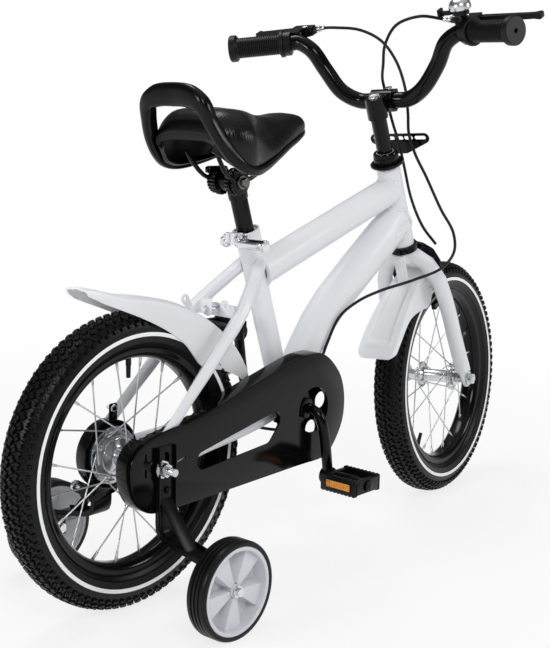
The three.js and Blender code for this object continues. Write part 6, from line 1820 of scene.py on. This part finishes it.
@dataclass
class Mudguards:
    """The white plastic mudguards, their mounts, and the lugs on the seat stays."""

    thickness: float = 2.2
    across: tuple[float, ...] = (-1, -1, -0.95, -0.6, 0, 0.6, 0.95, 1, 1)
    crown: tuple[float, ...] = (-1, -0.4, -0.1, -0.015, 0, -0.015, -0.1, -0.4, -1)
    rear_angles: tuple[float, ...] = (21, 33, 45, 63, 84, 98, 110.5)
    rear_clear: tuple[float, ...] = (1.17, 1.14, 1.11, 1.08, 1.08, 1.13, 1.27)
    rear_half: tuple[float, ...] = (17, 22, 24.5, 25, 25, 26, 26)
    rear_drop: tuple[float, ...] = (12, 38, 56, 43, 28, 18, 15)
    front_angles: tuple[float, ...] = (-6, 11, 22, 32, 44, 52.5)
    front_clear: tuple[float, ...] = (1.085, 1.085, 1.09, 1.11, 1.16, 1.215)
    front_half: tuple[float, ...] = (21, 24.5, 26.5, 28, 30, 29)
    front_drop: tuple[float, ...] = (30, 50, 33, 16, 10, 9)
    lug: Point = (126.0, 33.5, 352.0)
    stay_bolt: Point = (139.8, 0.0, 341.6)
    steps: int = 160
    section_steps: int = 60

    def build(self) -> None:
        """Builds both mudguards and the fittings about them."""
        shape = self._shell(self.rear_angles, self.rear_clear, self.rear_half, self.rear_drop,
                            (0.0, LAYOUT.wheel_radius), self._ridge, 0.075)
        shape.block((129.0, -8, 337), (129.0 + self.thickness, 8, 356), 0.4)
        deliver(shape, "rear_mudguard_shell", "frame", [WHITE_PLASTIC], ["rear_mudguard"],
                smooth=50)
        shape = self._shell([angle + 90 for angle in self.front_angles], self.front_clear,
                            self.front_half, self.front_drop,
                            (LAYOUT.fork_rake, LAYOUT.front_axle_along), self._panel, 0.08)
        shape.block((-19.5, -9, -50), (-17.3, 9, -6), 0.4)
        deliver(shape.moved(LAYOUT.steered()), "front_mudguard_shell", "steering",
                [WHITE_PLASTIC], ["front_mudguard"], smooth=50)
        bolt = Shape().rods(self.stay_bolt, (1, 0, 0), (
            (-9, 9, 3.0, 20, 0, 0.5), (-8, -5, 7.5, 32, 0, 0.5), (-12, -8, 6.2, 6, 0, 0.5),
            (5, 8, 8.0, 32, 0, 0.5), (8, 13, 6.4, 6, 0, 0.5)))
        deliver(bolt, "mudguard_bolt", "frame", [CHROME], smooth=35)
        self._lugs()

    def _lugs(self) -> None:
        """A lug with a hole on each seat stay."""
        x, y, z = self.lug
        arc = [FULL_TURN * (k + 2) / 24 for k in range(15)]
        outline = [(x + 12, z - 10), *((x + 6 * math.cos(a), z + 6 * math.sin(a)) for a in arc),
                   (x + 4, z - 13)]
        lugs, holes = Shape(), Shape()
        for _, sign in SIDES:
            lugs.slab(outline, sign * y - 1.3, sign * y + 1.3, 0.3)
            holes.rods((x, sign * y, z), (0, 1, 0), ((-4, 4, 2.8, 24, 0, 0.0),))
        carve(deliver(lugs, "seatstay_lugs", "frame", [WHITE_PAINT], smooth=35), holes)

    def _shell(self, angles: Sequence[float], clear: Sequence[float], halves: Sequence[float],
               drops: Sequence[float], centre: tuple[float, float],
               relief: Callable[[float, float], float], tip_share: float) -> Shape:
        """One shell from its stations.

        Args:
            angles: polar angle of each station in degrees.
            clear: radius at each station, as a share of the wheel's.
            halves: half width at each station.
            drops: how far the sides reach down at each station.
            centre: X and Z of the wheel's centre.
            relief: height of the moulded relief, from the shares of half width and length.
            tip_share: share of the length over which the end is rounded.

        Returns:
            The shape.
        """
        scale = LAYOUT.wheel_radius
        stations = [(math.radians(a) * scale, c * scale, h)
                    for a, c, h in zip(angles, clear, halves)]
        path = smooth_line(stations, self.steps)
        depth = smooth_line([(a, d, 0.0) for (a, _, _), d in zip(stations, drops)], self.steps)
        section = smooth_line([(a, c, 0.0) for a, c in zip(self.across, self.crown)],
                              self.section_steps)
        columns = 2 * self.section_steps + 2

        def point(turn: float, way: float) -> Point:
            """A point of the shell.

            Args:
                turn: share of the way round the section.
                way: share of the length.

            Returns:
                The point.
            """
            station = path[round(way * self.steps)]
            column = round(turn * columns)
            inside = self.thickness if self.section_steps < column < columns else 0.0
            wide, crown = section[min(column, max(columns - 1 - column, 0))][:2]
            tip, foot = max(0.0, 1 - (1 - way) / tip_share), max(0.0, (0.05 - way) / 0.05)
            drop = depth[round(way * self.steps)].y * (1 - 0.5 * tip ** 2)
            reach = (station.y + crown * drop + relief(abs(wide), way) - inside * (1 + crown)
                     - tip ** 2)
            taper = math.sqrt(1.0 - 0.5 * tip ** 2 - 0.3 * foot ** 2)
            angle = station.x / scale
            return (centre[0] + reach * math.cos(angle), wide * (station.z * taper - inside),
                    centre[1] + reach * math.sin(angle))

        return Shape().grid(columns, self.steps, point, caps=True)

    def _ridge(self, wide: float, _: float) -> float:
        """The raised band along the middle of the rear mudguard."""
        return 1.3 * min(1.0, max(0.0, (0.34 - wide) / 0.07))

    def _panel(self, wide: float, way: float) -> float:
        """The sunk panel of the front mudguard, with a low rim round it."""
        inside = min((0.56 - wide) / 0.1, (way - 0.2) / 0.02, (0.84 - way) / 0.03)
        return 0.9 - 2.6 * min(1.0, max(0.0, inside)) if inside > -1 else 0.9 * max(0.0, 2 + inside)


# ---------------------------------------------------------------- seat


@dataclass
class Seat:
    """Seat collar, post, clamp, rails, and the saddle with its grab handle."""

    back: float = 95.0
    length: float = 203.0
    half: float = 74.0
    top_height: float = 588.0
    height: float = 80.0
    steps: int = 80
    half_steps: int = 30
    stations: tuple[float, ...] = (
        -0.018, -0.03, -0.01, 0.035, 0.1, 0.2, 0.32, 0.42, 0.52, 0.66, 0.82, 0.94, 1)
    halves: tuple[float, ...] = (
        0.62, 0.66, 0.7, 0.8, 0.91, 0.96, 0.88, 0.785, 0.7, 0.57, 0.41, 0.27, 0.1)
    tops: tuple[float, ...] = (
        0.46, 0.36, 0.2, 0.07, 0.01, 0, 0.02, 0.07, 0.11, 0.12, 0.08, 0.13, 0.27)
    rims: tuple[float, ...] = (
        0.6, 0.6, 0.64, 0.72, 0.84, 0.9, 0.86, 0.8, 0.725, 0.6, 0.475, 0.385, 0.335)
    waists: tuple[float, ...] = (0, 0, 0, 0, 0, 0.02, 0.14, 0.26, 0.3, 0.24, 0.1, 0, 0)
    section: Profile = ((0.8, 0.03), (0.9, 0), (0.99, 0.2), (0.96, 0.6), (0.66, 0.92), (0, 1))
    handle: tuple[Point, ...] = (
        (70, 0, 602), (69, 27, 600), (71, 43, 592), (79, 51, 572), (91, 58, 550), (105, 63, 532),
        (121, 67, 519.5), (140, 67, 514.5), (165, 60, 517.5), (198, 49.5, 527.5), (235, 38, 541),
        (266, 27, 550.5), (289, 15, 558), (297, 1, 562))
    handle_deep: tuple[float, ...] = (6.5, 7, 9, 9.5, 9.5, 8.5, 6.5, 5, 4, 3.3, 3, 3, 2.8, 2.5)
    handle_wide: tuple[float, ...] = (14, 13.5, 10.5, 7, 6, 5.5, 5, 4.5, 3.6, 3, 2.8, 2.8, 2.6, 2.4)
    handle_turns: tuple[float, ...] = (*([1.0] * 7), 0.75, 0.4, 0.1, *([0.0] * 7), 0.1, 0.4, 0.75,
                                       *([1.0] * 7))
    clamp: Point = (165.1, 0.0, 498.0)
    clamp_teeth: int = 22
    collar_bolt: Point = (182.0, 0.0, 421.0)

    def build(self) -> None:
        """Builds every piece of the seat."""
        dressed("seat_clamp", "frame", WHITE_PAINT, bevel=0.6, smooth=35,
                regions=[((150, 8.5, 400), (192, 40, 445), ZINC),
                         ((150, -40, 400), (192, -8.5, 445), ZINC)])
        bolt = Shape().rods(self.collar_bolt, (0, 1, 0), (
            (-46, 22, 3.2, 20, 0, 0.5), (-45, -7, 6.6, 40, 0, 0.5), (-49.5, -45.2, 7.4, 32, 0, 0.5),
            (13, 16, 6.5, 32, 0, 0.5), (16, 22, 7.4, 6, 0, 0.5)))
        deliver(bolt, "seat_collar_bolt", "frame", [CHROME], smooth=35)
        post = Shape().rod(LAYOUT.seat_point(158), LAYOUT.seat_point(303), 11.0, 48, rounding=0.6)
        deliver(post, "seat_post_tube", "saddle", [BLACK_PAINT], ["seat_post"], smooth=35)
        self._clamp()
        rails = deliver(node_shape("saddle_rails"), "saddle_rail_wire", "saddle",
                             [BLACK_PAINT], ["saddle_rails"], smooth=70)
        rounding = rails.modifiers.new("rounding", "SUBSURF")
        rounding.levels = rounding.render_levels = 1
        self._handle()
        self._shell("saddle_base_shell", 0.97, -1.8, 1.6, BLACK_PLASTIC, [])
        piece = self._shell("saddle_padded_top", 1.0, 0.0, 2.0, VINYL, ["saddle_pad"])

    def _clamp(self) -> None:
        """The clamp under the saddle: a drum between toothed discs, on a bolt."""
        x, _, z = self.clamp
        shape = Shape().rods(self.clamp, (0, 1, 0), ((-19, 19, 12.0, 48, 0, 0.0),))
        angles = [math.pi * k / self.clamp_teeth for k in range(2 * self.clamp_teeth)]
        for _, sign in SIDES:
            for low, high, tip, root in ((8, 15, 17.2, 15.9), (16, 22, 15.824, 14.628)):
                outline = [(x + (tip if k % 2 else root) * math.cos(a),
                            z + (tip if k % 2 else root) * math.sin(a))
                           for k, a in enumerate(angles)]
                shape.slab(outline, sign * low, sign * high, 0.6)
            shape.block((x - 17, sign * 15, z + 9), (x + 17, sign * 25, z + 18), 3.0)
            shape.rods(self.clamp, (0, sign, 0), ((22, 25, 8.5, 32, 1, 0.5),
                                                  (25, 31, 6.4, 6, 1, 0.5)))
        shape.rod(LAYOUT.seat_point(293), LAYOUT.seat_point(303), 12.4, 40, rounding=0.8)
        deliver(shape, "saddle_clamp_discs", "saddle", [BLACK_PAINT, CHAIN_STEEL],
                ["saddle_clamp"], smooth=32)

    def _handle(self) -> None:
        """The grab handle, whose sides run on as a lip round the pad to the nose."""
        left = [Vector(p) for p in self.handle]
        line = smooth_line([*reversed(left), *(Vector((x, -y, z)) for x, y, z in self.handle[1:])],
                           156)
        deep = [*reversed(self.handle_deep), *self.handle_deep[1:]]
        wide = [*reversed(self.handle_wide), *self.handle_wide[1:]]

        def section(turn: float, way: float) -> tuple[float, float]:
            """The section of the handle.

            Args:
                turn: in radians.
                way: share of the length.

            Returns:
                The two places of a point in the section.
            """
            u, v = math.cos(turn), math.sin(turn)
            bulge = (abs(u) ** 3 + abs(v) ** 3) ** (-1 / 3)
            return u * bulge * level(deep, way), v * bulge * level(wide, way)

        def hint(way: float) -> Vector:
            """A direction near the section's first axis.

            Args:
                way: share of the length.

            Returns:
                The direction.
            """
            share = level(self.handle_turns, way)
            return Vector((1 - share, 0, share))

        shape = Shape().tube(line, 1.0, 28, flat=section, hint_at=hint)
        deliver(shape, "saddle_grab_handle", "saddle", [LIP_PLASTIC], ["saddle_base"], smooth=60)

    def _shell(self, name: str, grow: float, lift: float, wall: float, finish: Finish,
               replaces: Sequence[str]) -> bpy.types.Object:
        """One crowned shell of the saddle, drawn in at the waist.

        Args:
            name: name of the piece.
            grow: its width as a share of the pad's.
            lift: how far above the pad's surface it lies.
            wall: its thickness.
            finish: its finish.
            replaces: CAD nodes that it stands for.

        Returns:
            The piece.
        """
        plan = smooth_line([*zip(self.stations, self.halves, self.waists)], self.steps)
        sides = smooth_line([*zip(self.stations, self.tops, self.rims)], self.steps)
        half_line = smooth_line([(w, r, 0) for w, r in self.section], self.half_steps)
        ring = [*half_line, *(Vector((-p.x, p.y, 0)) for p in reversed(half_line[:-1]))]

        def point(turn: float, way: float) -> Point:
            """A point of the shell.

            Args:
                turn: share of the way across.
                way: share of the length.

            Returns:
                The point.
            """
            index = round(way * self.steps)
            along, half, waist = plan[index]
            _, top, rim = sides[index]
            wide, high = ring[round(turn * 2 * self.half_steps)][:2]
            return (self.back + along * self.length * (1 - (1 - grow) / 2),
                    wide * half * self.half * grow * (1 - waist * min(1.0, high * 1.6)),
                    self.top_height + ((rim - top) * high - rim) * self.height + lift)

        shape = Shape().grid(2 * self.half_steps, self.steps, point, wall=wall)
        return deliver(shape, name, "saddle", [finish], replaces, smooth=60)


# ---------------------------------------------------------------- training wheels


@dataclass
class TrainingWheels:
    """The stabilisers: stamped straps with braces, and bladed wheels on bolts."""

    radius: float = 58.0
    hub_radius: float = 52.0
    offset: float = 157.5
    width: float = 27.0
    forward: float = 10.0
    face_left: float = 51.5
    face_right: float = 53.7
    strap_back: float = -7.0
    strap_front: float = 21.5
    strap: float = 3.5
    fold: float = 3.4
    tab: float = 138.0
    bends: Profile = (
        (0.0, 204.0), (0.0, 114.0), (0.8, 106.0), (4.0, 99.0), (10.0, 95.0), (17.0, 92.5))
    arm: Profile = (
        (112.0, 83.5), (127.0, 81.0), (134.0, 78.5), (137.5, 74.0), (138.0, 68.0), (138.0, 47.0))
    slot: Profile = ((6.0, 180.0), (6.0, 192.0))
    blade: Profile = ((7.8, -4.2), (46.6, -16.5), (47.0, -8.0), (47.2, 0.0), (47.0, 8.0),
                      (46.6, 16.5), (7.8, 4.2))

    def build(self) -> None:
        """Builds both stabilisers."""
        for side, sign in SIDES:
            self._bracket(side, sign)
            self._tyre(side, sign)
            self._hub(side, sign)

    def _strip(self, line: Profile, low: float, high: float) -> list[tuple[float, float]]:
        """The outline between two offsets of a line of Y and Z.

        Args:
            line: Y and Z of each point.
            low: offset of one edge.
            high: offset of the other.

        Returns:
            The outline.
        """
        inner, outer = [], []
        for index, (y, z) in enumerate(line):
            before, after = line[max(index - 1, 0)], line[min(index + 1, len(line) - 1)]
            way = Vector((after[0] - before[0], after[1] - before[1])).normalized()
            inner.append((y - way.y * low, z + way.x * low))
            outer.append((y - way.y * high, z + way.x * high))
        return [*inner, *reversed(outer)]

    def _bracket(self, side: str, sign: int) -> None:
        """The strap with folded edges, its brace and the wheel's bolt.

        Args:
            side: left or right.
            sign: 1 for the left, -1 for the right.
        """
        face = self.face_left if sign > 0 else self.face_right
        outside = face + self.strap
        line = [*((face + y, z) for y, z in self.bends), *self.arm]
        back, front = self.strap_back, self.strap_front
        shape = Shape().slab(self._strip(line, 0, self.strap), back, front, 0.5, SWAPPED)
        raised = self._strip(line[:-4], self.strap - 0.5, self.strap + self.fold)
        for low in (back, front - 2.4):
            shape.slab(raised, low, low + 2.4, 0.6, SWAPPED)
        top = line[0][1]
        shape.block((back, outside - 0.5, top - 2.6), (front, outside + self.fold, top), 0.7)
        self._brace(shape, Vector((6, outside, 140)), Vector((6, 104, 83)))
        shape.ball((8, outside + 0.5, 152), 4.2)
        end = self.offset + self.width / 2
        shape.rods((self.forward, 0, self.radius), (0, 1, 0), (
            (self.tab - 8, end, 4.5, 24, 1, 0.0), (self.tab - 7, self.tab - 1, 7.6, 6, 1, 0.5),
            (end - 4, end - 1, 7.0, 32, 1, 0.5), (end - 1, end + 3.4, 5.6, 6, 1, 0.9)))
        piece = deliver(shape.mirrored(mirror(sign)), f"strap_and_bolt_{side}", "frame",
                        [STRAP_PAINT, CHROME], [f"training_bracket_{side}"], smooth=25)
        carve(piece, Shape().slab(rounded(self.slot, 5.4, 32), sign * (face - 6),
                                  sign * (outside + 2)))

    def _brace(self, shape: Shape, start: Vector, end: Vector) -> None:
        """Adds the flat brace, round at its upper end, from the strap down to the arm.

        Args:
            shape: the bracket.
            start: middle of its upper end.
            end: middle of its lower end.
        """
        way = (end - start).normalized()
        across = Vector((1, 0, 0))
        place = Matrix((across, way.cross(across), way)).transposed().to_4x4()
        place.translation = start
        length = (end - start).length
        arc = [math.pi * k / 12 for k in range(13)]
        bar = [(-10, length), (10, length), *((10 * math.cos(a), -8 * math.sin(a)) for a in arc)]
        shape.slab(bar, -1.4, 1.4, 0.5, place)

    def _place(self, sign: int) -> Matrix:
        """Takes a wheel's own frame to its place on one side."""
        return Matrix.Translation((self.forward, sign * self.offset, self.radius)) @ mirror(sign)

    def _tyre(self, side: str, sign: int) -> None:
        """The hard tyre with three grooves round it.

        Args:
            side: left or right.
            sign: 1 for the left, -1 for the right.
        """
        half = self.width / 2
        shoulder = ((55.0, 0.0), (56.6, 0.6), (57.6, 2.4), (58.0, 4.0))
        profile = [(self.hub_radius - 0.2, 0.4 - half), *((r, y - half) for r, y in shoulder)]
        for y in (-5.4, 0.0, 5.4):
            profile += [(58.0, y - 1.3), (56.7, y - 0.8), (56.7, y + 0.8), (58.0, y + 1.3)]
        profile += [*((r, half - y) for r, y in reversed(shoulder)),
                    (self.hub_radius - 0.2, half - 0.4)]
        deliver(Shape().turned(profile, 96).mirrored(self._place(sign)),
                f"training_tyre_{side}_ribbed", f"training_wheel_{side}", [BLACK_PLASTIC],
                [f"training_tyre_{side}"], smooth=30)

    def _hub(self, side: str, sign: int) -> None:
        """The moulded hub with five wedge blades on each side of its web.

        Args:
            side: left or right.
            sign: 1 for the left, -1 for the right.
        """
        half = self.width / 2 - 1
        shape = Shape().turned([
            (51.6, -half), (51.6, half), (51.0, half + 0.5), (47.6, half + 0.5),
            (46.8, half - 0.4), (46.0, -5.5), (8.0, -6.0), (8.0, half - 3.6), (7.4, half - 3.0),
            (5.2, half - 3.0), (5.2, -half), (13.0, -half), (13.0, -8.5), (46.0, -8.5),
            (47.0, -half)], 96)
        for low, high in ((-7.0, half - 5.5), (1.5 - half, -8.0)):
            since = shape.count()
            shape.slab(self.blade, low, high, 0.5)
            for co in (vert.co for vert in shape.newer(since) if vert.co.y > 0):
                reach = math.hypot(co.x, co.z)
                angle = math.atan2(co.z, co.x) * 0.86 - 0.05
                co.x, co.z = reach * math.cos(angle), reach * math.sin(angle)
                co.y += 1 - reach / 47
            shape.round_about(5, since)
        shape.mirrored(self._place(sign) @ Matrix.Rotation(math.radians(18), 4, "Y"))
        deliver(shape, f"training_hub_{side}_bladed", f"training_wheel_{side}", [GREY_PLASTIC],
                [f"training_hub_{side}"], smooth=30)


# ---------------------------------------------------------------- assembly


FRONT_HUB_HALF = ((9.5, 0.0), (9.5, 17.5), (10.6, 20.5), (12.5, 23.6), (19.2, 24.0), (20.0, 24.6),
                  (20.0, 26.4), (19.2, 27.0), (12.8, 27.2), (12.5, 28.0), (12.5, 32.2),
                  (11.8, 33.0), (5.3, 33.0))
REAR_HUB = ((10.0, 0.0), (10.0, 9.0), (11.0, 13.5), (14.5, 16.4), (20.8, 17.0), (22.0, 17.6),
            (22.6, 20.0), (31.2, 20.2), (32.0, 20.6), (32.0, 22.4), (31.2, 23.0), (16.5, 23.2),
            (16.5, 25.3), (35.0, 25.3), (35.0, 36.3), (32.0, 36.3), (32.0, 28.3), (12.5, 28.3),
            (12.5, 42.8), (11.8, 43.5), (5.3, 43.5), (5.3, -43.5), (16.3, -43.5), (16.3, -24.4),
            (21.8, -24.0), (22.6, -23.4), (22.6, -21.6), (21.8, -21.0), (12.5, -20.6),
            (9.5, -14.0))


def build_wheels() -> None:
    """Builds both wheels with their hubs."""
    front = Wheel("front", "front_wheel", LAYOUT.front_wheel(), (16.8, 25.5), (16.8, -25.5),
                  valve_turn=math.radians(216))
    front.build()
    front.hub([*FRONT_HUB_HALF, *((r, -y) for r, y in reversed(FRONT_HUB_HALF) if y)])
    rear = Wheel("rear", "rear_wheel", LAYOUT.rear_wheel(), (28.8, 21.5), (19.4, -22.5))
    rear.build()
    rear.hub(REAR_HUB)


def main() -> None:
    """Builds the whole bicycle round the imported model."""
    logging.basicConfig(level=logging.INFO, format="%(message)s")
    Studio().build()
    Cables().build()
    build_wheels()
    for assembly in (WeldedFrame, Drive, BandBrake, Steering, Mudguards, Seat, TrainingWheels):
        assembly().build()
    dressed("rear_axle", "frame", ZINC, smooth=50)
    dressed("front_axle", "steering", ZINC, smooth=50)


if __name__ == "__main__":
    main()
